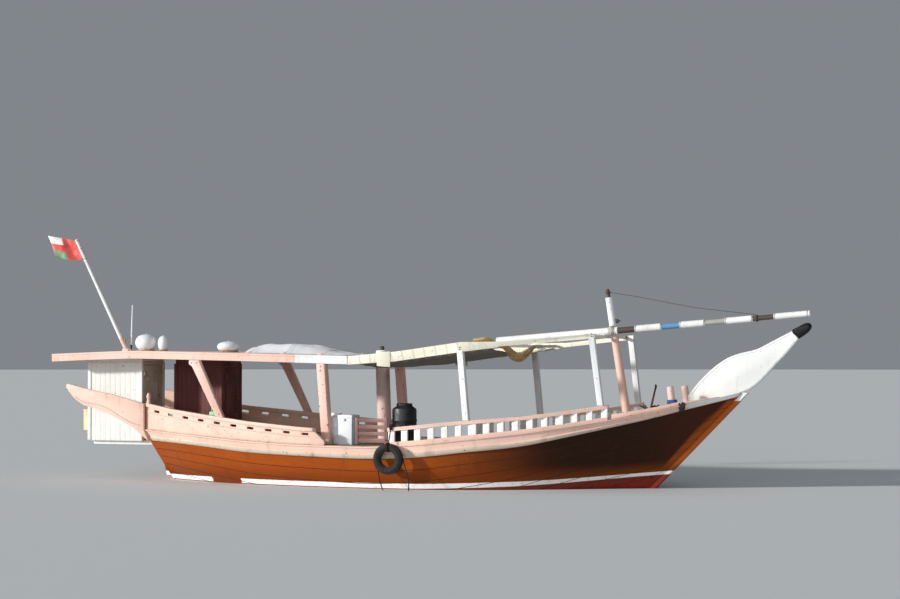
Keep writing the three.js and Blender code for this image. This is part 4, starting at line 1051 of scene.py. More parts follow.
def bead_round(reach: float, radius: float) -> list[Pair]:
    """The round profile of a ring whose middle lies at some reach from its axis."""
    turns = spread(0, 2 * math.pi, 11)
    return [(reach + radius * math.cos(t), radius * math.sin(t)) for t in turns]


def stud(radius: float, height: float, sides: int = 8) -> Piece:
    """A low domed head, as a pattern for nails and bolts."""
    profile = [(radius, -height), (radius, height * 0.5)]
    profile += [(radius * 0.55, height), (radius * 0.05, height * 1.05)]
    return spun("stud_pattern", profile, Matrix.Identity(4), sides)


# Hull


@dataclass
class HullForm:
    """The hull's lines. Ribs lean with the stem forward and with the transom aft."""

    keel_half: float = 0.075
    deck_thick: float = 0.04
    girth_steps: int = 160
    stations: tuple[tuple[float, ...], ...] = (
        # x at the deck, x at the keel, half breadth, deck, wale's lower edge, keel, fullness
        (-6.32, -5.29, 1.44, 1.12, 0.87, -1.15, 0.62),
        (-5.4, -4.5, 1.83, 1.07, 0.84, -1.15, 0.42),
        (-4.5, -3.75, 2.1, 1.015, 0.785, -1.15, 0.31),
        (-3.3, -2.75, 2.37, 0.945, 0.695, -1.15, 0.24),
        (-2.0, -1.7, 2.52, 0.895, 0.655, -1.15, 0.2),
        (-0.5, -0.5, 2.58, 0.88, 0.625, -1.15, 0.18),
        (0.5, 0.35, 2.54, 0.94, 0.66, -1.15, 0.18),
        (1.7, 1.2, 2.33, 1.065, 0.78, -1.15, 0.21),
        (2.8, 1.9, 2.01, 1.19, 0.9, -1.15, 0.27),
        (3.8, 2.45, 1.61, 1.34, 1.11, -1.15, 0.36),
        (4.6, 2.85, 1.24, 1.48, 1.3, -1.15, 0.46),
        (5.3, 3.2, 0.89, 1.63, 1.47, -1.15, 0.58),
        (5.9, 3.5, 0.59, 1.77, 1.64, -1.15, 0.72),
        (6.45, 3.78, 0.31, 1.9, 1.79, -1.08, 0.86),
        (6.88, 4.05, 0.078, 2.0, 1.915, -0.88, 1.0),
    )
    stripe: Table = ((-6.6, 0.02), (0.2, 0.02), (2.2, 0.065), (5.0, 0.28), (7.5, 0.475))
    stripe_gap: Pair = (-4.56, -3.63)
    stem_strip: float = 0.13

    def __post_init__(self) -> None:
        """Fairs each column of the stations along the deck."""
        keys = ("keel_x", "half", "deck_z", "wale_z", "keel_z", "fullness")
        for i, key in enumerate(keys, 1):
            setattr(self, key, Fair([(row[0], row[i]) for row in self.stations]))
        self.stripe_low = Fair(self.stripe)
        self.ends = (self.stations[0][0], self.stations[-1][0])

    def rib(self, x: float, z: float, out: float = 0.0) -> Point:
        """The outside of the planking on the starboard side, on the rib that meets the deck at x."""
        low, high = self.keel_z(x), self.deck_z(x)
        share = max(0.0, (z - low) / (high - low))
        half = mix(self.keel_half, self.half(x), share ** self.fullness(x))
        return (mix(self.keel_x(x), x, share), -(half + out), z)

    def girth(self, x: float, shares: Sequence[float]) -> list[Point]:
        """Points of a rib from the keel to the wale, at shares of its length."""
        low, high = self.keel_z(x), self.wale_z(x)
        last = self.girth_steps
        fine = [self.rib(x, mix(low, high, (i / last) ** 2.2)) for i in range(last + 1)]
        run = [0.0]
        for a, b in zip(fine, fine[1:]):
            run.append(run[-1] + math.dist(a, b))
        points = []
        for place in np.interp([s * run[-1] for s in shares], run, range(last + 1)):
            before = np.array(fine[min(last - 1, int(place))])
            after = np.array(fine[min(last, int(place) + 1)])
            points.append(tuple(before * (1 - place % 1) + after * (place % 1)))
        return points

    def told(self, obj: Piece, shaded: float = 1.0) -> Piece:
        """Tells a piece its height over the stripe, where the stripe is bare, and its painted shade at the
        bow.
        """
        co = np.empty(len(obj.data.vertices) * 3, np.float32)
        obj.data.vertices.foreach_get("co", co)
        co = co.reshape(-1, 3)
        thinner = [1 + 0.5 * smooth((float(x) - 2.0) / 3.0) for x, _, _ in co]
        store(obj, "over", [(z - self.stripe_low(float(x))) * by for (x, _, z), by in zip(co, thinner)])
        start, end = self.stripe_gap
        store(obj, "bare", [smooth((x - start) / 0.15) * smooth((end - x) / 0.15) for x, _, _ in co])
        # Painted shade: darker towards the bow, where its sides turn from the light. A strip by the stem and
        # pieces told shaded=0 stay unshaded.
        dark = []
        for x, _, z in co:
            before_stem = (self.end_x(z) - self.stem_strip - x) / 0.03
            flare_shade = smooth((x - 0.2) / 3.4) * (1 - 0.08 * smooth((x - 4.5) / 1.5))
            dark.append(flare_shade * smooth(before_stem) * shaded)
        store(obj, "bow", dark)
        return obj

    def end_x(self, z: float) -> float:
        """Where the planking ends at the stem, by height."""
        row = self.stations[-1]
        return mix(row[1], row[0], (z - row[5]) / (row[3] - row[5]))

    def edge(self, x: float, side: Side, inwards: float, z: float) -> Point:
        """A place on the deck's edge, some way in from the planking's outside."""
        return (x, side.value * (self.half(x) - inwards), z)


HULL = HullForm()


def both_sides(rib: Ring) -> Ring:
    """A ring from the keel up the starboard side, over, and down the port side."""
    return [*rib, *[(x, -y, z) for x, y, z in reversed(rib)]]


@dataclass
class Planking:
    """The hull's skin in strakes, and the timbers below it."""

    strakes: int = 13
    frames: int = 120
    seam_wide: float = 0.007
    seam_deep: float = 0.006
    plank_length: float = 3.4
    nail_step: float = 0.42
    board_wide: float = 0.135
    board_gap: float = 0.008
    board_thick: float = 0.024
    boards_to: float = 6.7
    strake_share: float = 0.36
    white_from: float = 5.86
    head_white_z: float = 1.83
    stem_scores: tuple[float, ...] = (0.2, 0.3, 0.4, 0.5)

    def skin(self) -> Piece:
        """The planks, with a groove at each seam and a shade for each plank."""
        stations = spread(*HULL.ends, self.frames)
        rings: list[Ring] = []
        for x in stations:
            length = self._length(x)
            lip = self.seam_wide / length
            shares: list[float] = [0.0]
            for i in range(self.strakes):
                low, high = i / self.strakes, (i + 1) / self.strakes
                shares += [low + lip, mix(low, high, 0.5), high - lip, high]
            side = HULL.girth(x, shares)
            for i in range(4, len(side) - 1, 4):
                a, b = Vector(side[i - 1]), Vector(side[i + 1])
                inwards = (b - a).cross(Vector((1, 0, 0))).normalized()
                middle = Vector(side[i])
                side[i] = tuple(middle + inwards * (self.seam_deep if inwards.y > 0 else -self.seam_deep))
            side.append(HULL.rib(x, HULL.deck_z(x) - HULL.deck_thick))
            rings.append(both_sides(side))
        obj = lofted("hull_planking", rings)
        self._shade(obj)
        HULL.told(obj)

        def in_seam(face: bpy.types.MeshPolygon) -> bool:
            """Whether a face is one of the narrow ones beside a seam."""
            corners = [obj.data.vertices[i].co for i in face.vertices]
            edges = [(a - b).length for a, b in zip(corners, [*corners[1:], corners[0]])]
            return min(edges) < 1.6 * self.seam_wide

        return finished(soften(obj, 25), [VARNISH, PUTTY], in_seam)

    def _length(self, x: float) -> float:
        """The girth of a rib from the keel to the wale."""
        points = HULL.girth(x, spread(0, 1, 12))
        return sum(math.dist(a, b) for a, b in zip(points, points[1:]))

    def _shade(self, obj: Piece) -> None:
        """Gives each plank a shade, its butts staggered from strake to strake."""
        draw = random.Random(SEED)
        shades = [[draw.random() for _ in range(12)] for _ in range(2 * self.strakes)]
        starts = [draw.uniform(0, self.plank_length) for _ in range(2 * self.strakes)]
        tones = []
        for face in obj.data.polygons:
            x, y, z = face.center
            share = min(1.0, max(0.0, (z - HULL.keel_z(x)) / (HULL.wale_z(x) - HULL.keel_z(x))))
            strake = min(self.strakes - 1, int(share**0.6 * self.strakes))
            row = strake * 2 + (y > 0)
            tones.append(shades[row][int((x + 8 + starts[row]) / self.plank_length)])
        store(obj, "tone", tones, "FACE")

    def nails(self) -> Piece:
        """Plugged nail heads in pairs down every frame."""
        places: list[Point] = []
        outs: list[Point] = []
        count = int((HULL.ends[1] - HULL.ends[0]) / self.nail_step)
        for x in spread(HULL.ends[0] + 0.2, HULL.ends[1] - 0.5, count):
            middles = [(i + at) / self.strakes for i in range(2, self.strakes) for at in (0.3, 0.7)]
            points = HULL.girth(x, middles)
            for a, b in zip(points, points[1:]):
                out = Vector((0, b[2] - a[2], a[1] - b[1])).normalized()
                out = -out if out.y > 0 else out
                for sign in (1, -1):
                    places.append((a[0], a[1] * sign, a[2]))
                    outs.append((0.0, out.y * sign, out.z))
        obj = repeated("hull_nails", stud(0.013, 0.003, 6), places, VARNISH, outs)
        HULL.told(obj)
        return obj

    def deck(self) -> Piece:
        """Caulked deck boards over a dark bed."""
        width, thick = self.board_wide, self.board_thick
        stations = spread(*HULL.ends, 60)
        rings = []
        for x in stations:
            z = HULL.deck_z(x)
            side = [HULL.rib(x, z - HULL.deck_thick), HULL.rib(x, z - 0.01)]
            rings.append(both_sides(side))
        bed = BLACK.on(soften(lofted("deck_bed", rings)))
        lines = []
        board_stations = spread(HULL.ends[0] + 0.01, self.boards_to, 80)
        rows = int(max(row[2] for row in HULL.stations) / (width + self.board_gap)) + 1
        for i in range(-rows, rows + 1):
            y = i * (width + self.board_gap)
            reach = abs(y) + width / 2
            inside = [x for x in board_stations if HULL.half(x) - 0.03 > reach]
            if len(inside) > 2:
                lines.append([(x, y, HULL.deck_z(x) + 0.001 - thick / 2) for x in inside])
        boards = boarded("deck_planks", lines, width, thick, BOARDS)
        return joined("deck_boards", [boards, bed])

    def wale(self, side: Side) -> Piece:
        """The painted band at the deck's edge: a board over a rounded rubbing strake."""
        profile = [  # share of the band's height, and how far it stands out
            (0.0, 0.002), (0.0, 0.04), (0.06, 0.055), (0.17, 0.06), (0.3, 0.055), (0.37, 0.04),
            (0.4, 0.034), (0.84, 0.034), (0.86, 0.05), (0.93, 0.056), (1.0, 0.048), (1.0, 0.002),
        ]
        rings = []
        for x in spread(HULL.ends[0], HULL.ends[1] - 0.01, 90):
            low, high = HULL.wale_z(x), HULL.deck_z(x)
            narrow = mix(1.0, 0.5, smooth((x - 6.3) / 0.6))
            ring = [HULL.rib(x, mix(low, high, share), out * narrow) for share, out in profile]
            rings.append([(px, -py * side.value, pz) for px, py, pz in ring])

        def stretch(face: bpy.types.MeshPolygon) -> int:
            """Rubbed paint on the strake, and white on the board towards the bow."""
            x, _, z = face.center
            low, high = HULL.wale_z(x), HULL.deck_z(x)
            under = (z - low) / (high - low) < self.strake_share
            white = x > self.white_from
            return int(under and not white) + 2 * int(white and not under)

        obj = soften(lofted(f"wale_{side.label}_wood", rings), 40)
        return finished(obj, [PINK, RUBBED, WHITE], stretch)

    def build(self) -> None:
        """Builds the hull, its deck and wales, and dresses the timbers under it."""
        stand_in("hull", [self.skin(), self.nails()], word="planks")
        hung(self.deck(), replaces=["deck"])
        for side in Side:
            hung(self.wale(side), replaces=[f"wale_{side.label}"])
        for node, width in (("keel", 0.012), ("stem", 0.012), ("sternpost", 0.006), ("transom", 0.004)):
            obj = copied(node, width=width)
            if node == "stem":
                for z in (*self.stem_scores, self.head_white_z):
                    scored(obj, z)
            VARNISH.on(HULL.told(obj, shaded=0.0))
            store(obj, "tone", [0.75 if node == "stem" else 0.5] * len(obj.data.vertices))
            if node == "stem":
                finished(obj, [VARNISH, WHITE], lambda face: face.center.z > self.head_white_z)
            hung(obj, replaces=[node])


RUBBED = PaintedWood(
    "rubbed_paint",
    "pink_paint",
    colour=paint("d2c1ae"),
    dirt=paint("6a5848"),
    streaks=0.6,
    wear=0.9,
    gloss=0.7,
)
PUTTY = PaintedWood("seam_putty", "varnished_wood", colour=paint("4a2512"), dirt=paint("2a150b"), gloss=0.9)


# Bulwarks, rails and the bow


@dataclass
class Balustrade:
    """The open rail round the foredeck: two rails with flat balusters between."""

    rail_in: float = 0.02
    rail_wide: float = 0.09
    low_high: float = 0.07
    top_high: float = 0.075
    first: float = 0.13
    last: float = 4.33
    count: int = 16
    above: Table = ((0.05, 0.37), (1.16, 0.385), (2.8, 0.335), (4.24, 0.315), (4.4, 0.315))
    span: Pair = (0.05, 4.4)
    broad_at: tuple[int, ...] = (6, 12)
    eye_at: Pair = (0.02, -2.49)
    eye_z: Pair = (1.01, 1.21)

    def top(self, x: float) -> float:
        """The top rail's upper face."""
        return HULL.deck_z(x) + float(np.interp(x, *zip(*self.above)))

    def rail(self, name: str, side: Side, low: Callable[[float], float], high: float) -> Piece:
        """A rail that follows the deck's edge, its upper corners rounded.

        Args:
            name: The piece's name.
            side: The side of the boat.
            low: Its lower face by place.
            high: How high it is.

        Returns:
            The rail.
        """
        lip, wide = 0.012, self.rail_wide
        section = [(0.0, 0.0), (0.0, high - lip), (lip, high)]
        section += [(wide - lip, high), (wide, high - lip), (wide, 0.0)]
        section = [(self.rail_in - 0.006 + across * 1.1, up) for across, up in section]
        stations = spread(*self.span, 50)
        rings = [[HULL.edge(x, side, inwards, low(x) + up) for inwards, up in section] for x in stations]
        return soften(lofted(name, rings), 35)

    def baluster(self) -> Piece:
        """A flat baluster one metre high and one wide about the origin, as a pattern."""
        outline = [(-0.5, 0.0), (-0.5, 1.0), (0.5, 1.0), (0.5, 0.0)]
        return eased(slab("baluster_pattern", outline, (-0.5, 0.5)), 0.05, 1, 40)

    def build(self, side: Side) -> None:
        """The rails in pink and the balusters in white."""
        low = self.rail("low_rail", side, HULL.deck_z, self.low_high)
        top = self.rail("top_rail", side, lambda x: self.top(x) - self.top_high, self.top_high)
        places, sizes = [], []
        for i, x in enumerate(spread(self.first, self.last, self.count)):
            foot = HULL.deck_z(x) + self.low_high - 0.01
            places.append(HULL.edge(x, side, self.rail_in + self.rail_wide / 2, foot))
            wide = 0.17 if i in self.broad_at else 0.135
            sizes.append((wide, 0.05, self.top(x) - self.top_high - foot + 0.01))
        posts = repeated("balusters", self.baluster(), places, WHITE, sizes=sizes)
        parts = [PINK.on(low), PINK.on(top), posts]
        if side is Side.STARBOARD:
            parts.append(self.eyes())
        stand_in(f"fore_rail_{side.label}", parts)

    def eyes(self) -> Piece:
        """The two iron eyes that the boarding gate hangs on."""
        rings = []
        x, y = self.eye_at
        profile = [(0.0097, -0.009), (0.017, -0.009), (0.017, 0.009), (0.0097, 0.009), (0.0097, -0.009)]
        for z in self.eye_z:
            rings.append(open_ring("gate_eye", profile, Matrix.Translation((x, y, z)), 20))
            lows, highs = (x + 0.016, y - 0.011, z - 0.008), (x + 0.06, y + 0.011, z + 0.008)
            rings.append(block("eye_arm", lows, highs, 0.002))
        return IRON.on(joined("gate_eyes", rings))


@dataclass
class UpperWorks:
    """The after bulwarks, the quarter wings, the bitts and the prow's head."""

    bulwark_top: Table = (
        (-6.3, 1.64), (-5.4, 1.52), (-4.5, 1.425), (-3.3, 1.3), (-2.0, 1.2), (-1.65, 1.185),
    )
    head_low: Table = (
        (6.86, 2.01), (7.06, 2.085), (7.31, 2.29), (7.58, 2.585), (7.79, 2.8), (8.05, 3.1),
    )
    head_high: Table = (
        (7.92, 3.26), (7.49, 3.04), (7.19, 2.89), (6.82, 2.8), (6.58, 2.71), (6.27, 2.5), (5.96, 2.2),
        (5.72, 1.9),
    )
    head_half: float = 0.055
    cap: Table = (
        (8.05, 3.1), (8.16, 3.17), (8.26, 3.25), (8.31, 3.34), (8.28, 3.41), (8.2, 3.42), (8.07, 3.36),
        (7.92, 3.26),
    )
    wing_seam: Table = (
        (-8.1, 1.83), (-7.9, 1.72), (-7.5, 1.66), (-7.15, 1.53), (-6.85, 1.36), (-6.55, 1.24),
        (-6.4, 1.21),
    )
    post_at: Point = (-6.255, 1.41, 1.62)
    finial: Table = (
        (0.05, 0.0), (0.05, 0.12), (0.035, 0.16), (0.05, 0.2), (0.052, 0.24), (0.03, 0.3),
        (0.002, 0.315),
    )
    bitt_foot: Point = (5.56, 0.56, 1.69)
    bitt_head: Point = (5.5, 0.56, 2.13)

    def bulwark(self, side: Side) -> None:
        """The after bulwark with its slots, and a bead under them."""
        wall = PINK.on(copied(f"aft_bulwark_{side.label}", "bulwark_wall", 0.014))
        run = spread(-6.28, -1.75, 46)
        top = Fair(self.bulwark_top)
        bead = rod("bulwark_bead", [HULL.edge(x, side, 0.016, top(x) - 0.125) for x in run], 0.011, 8)
        foot = rod("bulwark_foot", [HULL.edge(x, side, 0.012, HULL.deck_z(x) + 0.014) for x in run], 0.014, 8)
        heads = enumerate(spread(-6.1, -1.9, 24))
        places = [HULL.edge(x, side, 0.02, top(x) - 0.2 - 0.1 * (i % 2)) for i, x in heads]
        outs = [(0, side.value, 0)] * len(places)
        bolts = repeated("bulwark_bolts", stud(0.013, 0.004), places, PINK, outs)
        stand_in(f"aft_bulwark_{side.label}", [wall, PINK.on(bead), RUBBED.on(foot), bolts])

    def smooth_outline(self, points: Sequence[Pair], steps: int = 4) -> list[Pair]:
        """A rounded line through points of the XZ plane."""
        return [(x, z) for x, _, z in rounded_path([(x, 0.0, z) for x, z in points], steps)]

    def prow(self) -> None:
        """The white head board with its rounded rim, and the black cap."""
        low, high = self.smooth_outline(self.head_low), self.smooth_outline(self.head_high)
        base = [(x, HULL.deck_z(x) + 0.001) for x in (5.75, 5.9, 6.45, 6.84)]
        board = slab("prow_board", [*low, *high, *base], (-self.head_half, self.head_half), 0.016, 3)
        rims = []
        for side in Side:
            for name, line in (("rim_low", low), ("rim_high", high)):
                path = [(x, side.value * (self.head_half + 0.002), z) for x, z in self.inset(line, 0.035)]
                rims.append(rod(name, path, 0.007, 8))
        stand_in("prow_head", [WHITE.on(part) for part in (board, *rims)])
        outline = self.smooth_outline([*self.cap, self.cap[0]], 4)[:-1]
        centre = Vector(np.mean(outline, axis=0))
        rings = []
        for share in (-1.0, -0.94, -0.7, -0.35, 0.35, 0.7, 0.94, 1.0):
            close = math.sqrt(max(0.02, 1 - abs(share) ** 3))
            ring = []
            for x, z in outline:
                fixed = smooth((x - 7.95) / 0.2)
                pull = mix(1.0, close, fixed)
                at = centre + (Vector((x, z)) - centre) * mix(1.0, pull, 0.55)
                ring.append((at.x, 0.072 * share, at.y))
            rings.append(ring)
        cap = soften(lofted("prow_cap_wood", rings), 45)
        hung(BLACK.on(cap), replaces=["prow_cap"])

    def inset(self, line: Sequence[Pair], by: float) -> list[Pair]:
        """A line moved to its left by a distance."""
        moved = []
        for i, (x, z) in enumerate(line):
            ahead, back = line[min(i + 1, len(line) - 1)], line[max(i - 1, 0)]
            run = Vector((ahead[0] - back[0], ahead[1] - back[1])).normalized()
            moved.append((x - run.y * by, z + run.x * by))
        return moved[1:-1]

    def bitt(self, side: Side) -> None:
        """A mooring bitt: a plain round timber with a worn head."""
        foot, head = [Vector((x, y * side.value, z)) for x, y, z in (self.bitt_foot, self.bitt_head)]
        place = Matrix.Translation(foot) @ (head - foot).to_track_quat("Z", "Y").to_matrix().to_4x4()
        high = (head - foot).length
        profile = [(0.076, -0.01), (0.075, high * 0.3), (0.072, high * 0.7), (0.07, high * 0.93)]
        profile += [(0.062, high * 0.98), (0.045, high), (0.002, high + 0.002)]
        name = f"bitt_{side.label}"
        hung(PINK_UP.on(spun(f"{name}_wood", profile, place, 28)), replaces=[name])

    def stern(self) -> None:
        """The wings with their beads and corner posts, and the taffrail between them."""
        parts = [PINK.on(copied("quarter_wings", "wing_boards", 0.014))]
        reach = abs(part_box("quarter_wings")[0].y) - 0.01
        for side in Side:
            y = side.value * (reach + 0.012)
            path = rounded_path([(x, y, z) for x, z in self.wing_seam], 4)
            parts.append(RUBBED.on(rod("wing_bead", path, 0.012, 8)))
            place = Matrix.Translation((self.post_at[0], side.value * self.post_at[1], self.post_at[2]))
            parts.append(PINK_UP.on(spun("corner_post", self.finial, place, 20)))
        stand_in("quarter_wings", parts)
        stand_in("taffrail", [PINK.on(copied("taffrail", width=0.01))])

    def build(self) -> None:
        """Builds both sides and the ends."""
        for side in Side:
            self.bulwark(side)
            Balustrade().build(side)
            name = f"bow_bulwark_{side.label}"
            hung(PINK.on(copied(name, width=0.014)), replaces=[name])
            self.bitt(side)
        self.prow()
        self.stern()


# The fender, its lanyard and the slack rope


def laid_rope(name: str, path: Sequence[Point], radius: float, lay: float = 0.07) -> Piece:
    """A rope of three strands that wind round each other along a path.

    Args:
        name: The piece's name.
        path: The rope's middle line.
        radius: Its outer radius.
        lay: The length of one turn of a strand.

    Returns:
        The rope, with a UV map as a rod has.
    """
    sides, steps = 15, 9
    p = [Vector(q) for q in path]
    run = np.concatenate([[0.0], np.cumsum([(b - a).length for a, b in zip(p, p[1:])])])
    count = max(4, int(run[-1] / lay * steps))
    stops = spread(0, run[-1], count)
    fine = [Vector([float(np.interp(s, run, [q[k] for q in p])) for k in range(3)]) for s in stops]
    rope = rod(name, fine, radius, sides)
    step = run[-1] / (count - 1)
    for i, middle in enumerate(fine):
        for j in range(sides):
            turn = 2 * math.pi * (j / sides + i * step / lay)
            shrink = 0.8 + 0.2 * abs(math.cos(1.5 * turn))
            vertex = rope.data.vertices[i * sides + j]
            vertex.co = middle + (vertex.co - middle) * shrink
    return rope


def turns_round(
    name: str, centre: Point, across: Point, up: Point, half: Pair, turns: float, radius: float
) -> Piece:
    """Turns of rope round a timber.

    Args:
        name: The piece's name.
        centre: The middle of the first turn.
        across: The direction of the timber's width.
        up: The direction of its height.
        half: How far the rope's middle line runs from the centre, across and up.
        turns: How many times it goes round.
        radius: The rope's radius.

    Returns:
        The lashing, laid side by side along the timber.
    """
    a, b = Vector(across).normalized(), Vector(up).normalized()
    along = a.cross(b)
    path = []
    count = int(turns * 20)
    for i in range(count + 1):
        turn = 2 * math.pi * i / 20
        round_off = Vector((math.cos(turn), math.sin(turn)))
        square = max(abs(round_off.x), abs(round_off.y)) ** 0.55
        shift = along * (2.02 * radius * turns * (i / count - 0.5))
        reach = (a * round_off.x * half[0] + b * round_off.y * half[1]) / square
        path.append(tuple(Vector(centre) + shift + reach))
    return rod(name, path, radius, 8)


@dataclass
class FenderGear:
    """The tyre on the starboard side, the lanyard that holds it and the slack rope under it."""

    centre: Point = (0.14, -2.7024, 0.64)
    radius: float = 0.315
    hole: float = 0.165
    wide: float = 0.15
    blocks: int = 46
    rope_radius: float = 0.012
    rail_y: float = -2.555
    rail_top: float = 1.27
    route: Table = (
        (0.4618, 0.69), (0.482, 0.6), (0.52, 0.48), (0.56, 0.35), (0.59, 0.22), (0.6, 0.1),
        (0.588, -0.02), (0.552, -0.12), (0.49, -0.19), (0.4, -0.225), (0.3, -0.225), (0.2, -0.19),
        (0.11, -0.12), (0.04, -0.02), (-0.01, 0.09), (-0.045, 0.2), (-0.072, 0.31), (-0.088, 0.406),
    )

    def slack_rope(self) -> None:
        """The rope that hangs in a loop from the tyre's fore side to its after side."""
        path = rounded_path([(x, self.centre[1], z) for x, z in self.route], 8)
        rope = ROPE.on(laid_rope("fender_rope_laid", path, self.rope_radius))
        hung(rope, replaces=["fender_rope"])

    def tyre(self) -> None:
        """An old tyre: beads, bulged walls with ribs, shoulders, grooves and worn tread blocks."""
        place = placed(self.centre, 90, "X")
        wall = self.wide / 2
        bead = [(0.0, 0.0), (0.0, 0.034), (0.005, 0.044), (0.014, 0.05), (0.022, 0.049), (0.03, 0.06)]
        bead += [(0.045, 0.071), (0.06, wall - 0.001), (0.064, wall + 0.003), (0.068, wall - 0.001)]
        tread = [(0.062, wall), (0.058, wall + 0.003), (0.054, wall), (0.036, 0.068), (0.018, 0.06)]
        tread += [(0.007, 0.052), (0.004, 0.03), (0.012, 0.028), (0.012, 0.022), (0.002, 0.02)]
        tread += [(0.001, 0.006), (0.01, 0.004)]
        half = [(self.hole + out, h) for out, h in bead]
        half += [(self.radius - inwards, h) for inwards, h in tread]
        profile = [*half, *[(r, -h) for r, h in reversed(half[1:])], half[0]]
        parts = [TYRE.on(open_ring("tyre_body", profile, place, 72))]
        places, outs = [], []
        for i in range(self.blocks):
            for row, lean in ((0.042, 0.0), (-0.042, 0.5)):
                turn = 2 * math.pi * (i + lean) / self.blocks
                out = Vector((math.cos(turn), 0.0, math.sin(turn)))
                places.append(tuple(Vector(self.centre) + out * (self.radius - 0.006) + Vector((0, row, 0))))
                outs.append(tuple(out))
        lug = block("tread_pattern", (-0.011, -0.014, -0.004), (0.011, 0.014, 0.007))
        parts.append(repeated("tyre_tread", lug, places, TYRE, outs))
        stand_in("tyre_fender", parts, word="rubber")

    def lanyard(self) -> None:
        """The taut lanyard: a hitch round the tyre's crown and turns round the top rail."""
        x, y, z = self.centre
        crown = (x, y, z + mix(self.hole, self.radius, 0.5))
        hitch = turns_round("crown_hitch", crown, (0, 1, 0), (0, 0, 1), (0.088, 0.088), 2.0, self.rope_radius)
        foot = (x, y + 0.02, z + self.radius + 0.006)
        head = (x, self.rail_y - self.rope_radius, self.rail_top)
        line = laid_rope("lanyard_line", [foot, head], self.rope_radius)
        rail = (x, self.rail_y + 0.045, self.rail_top + 0.012)
        turns = turns_round("rail_hitch", rail, (0, 1, 0), (0, 0, 1), (0.06, 0.05), 3.0, self.rope_radius)
        knot = turns_round("lanyard_knot", head, (0, 1, 0), (1, 0, 0), (0.016, 0.016), 2.0, 0.011)
        parts = [ROPE.on(part) for part in (line, hitch, turns, knot)]
        stand_in("fender_lanyard", parts, word="laid")

    def build(self) -> None:
        """Builds the rope first, and then what it hangs from."""
        self.slack_rope()
        self.tyre()
        self.lanyard()


# Masts and the yard


def banded(
    name: str, path: Sequence[Point], radii: Sequence[float], bands: Sequence[Finish], sides: int = 24
) -> Piece:
    """A round spar with a finish for each stretch between the points of its path."""
    obj = rod(name, path, radii, sides)
    kinds = list(dict.fromkeys(bands))
    for finish in kinds:
        obj.data.materials.append(finish.material())
    ends = len(bands) * sides
    for face in obj.data.polygons:
        stretch = 0 if face.index == ends else min(face.index // sides, len(bands) - 1)
        face.material_index = kinds.index(bands[stretch])
    return obj


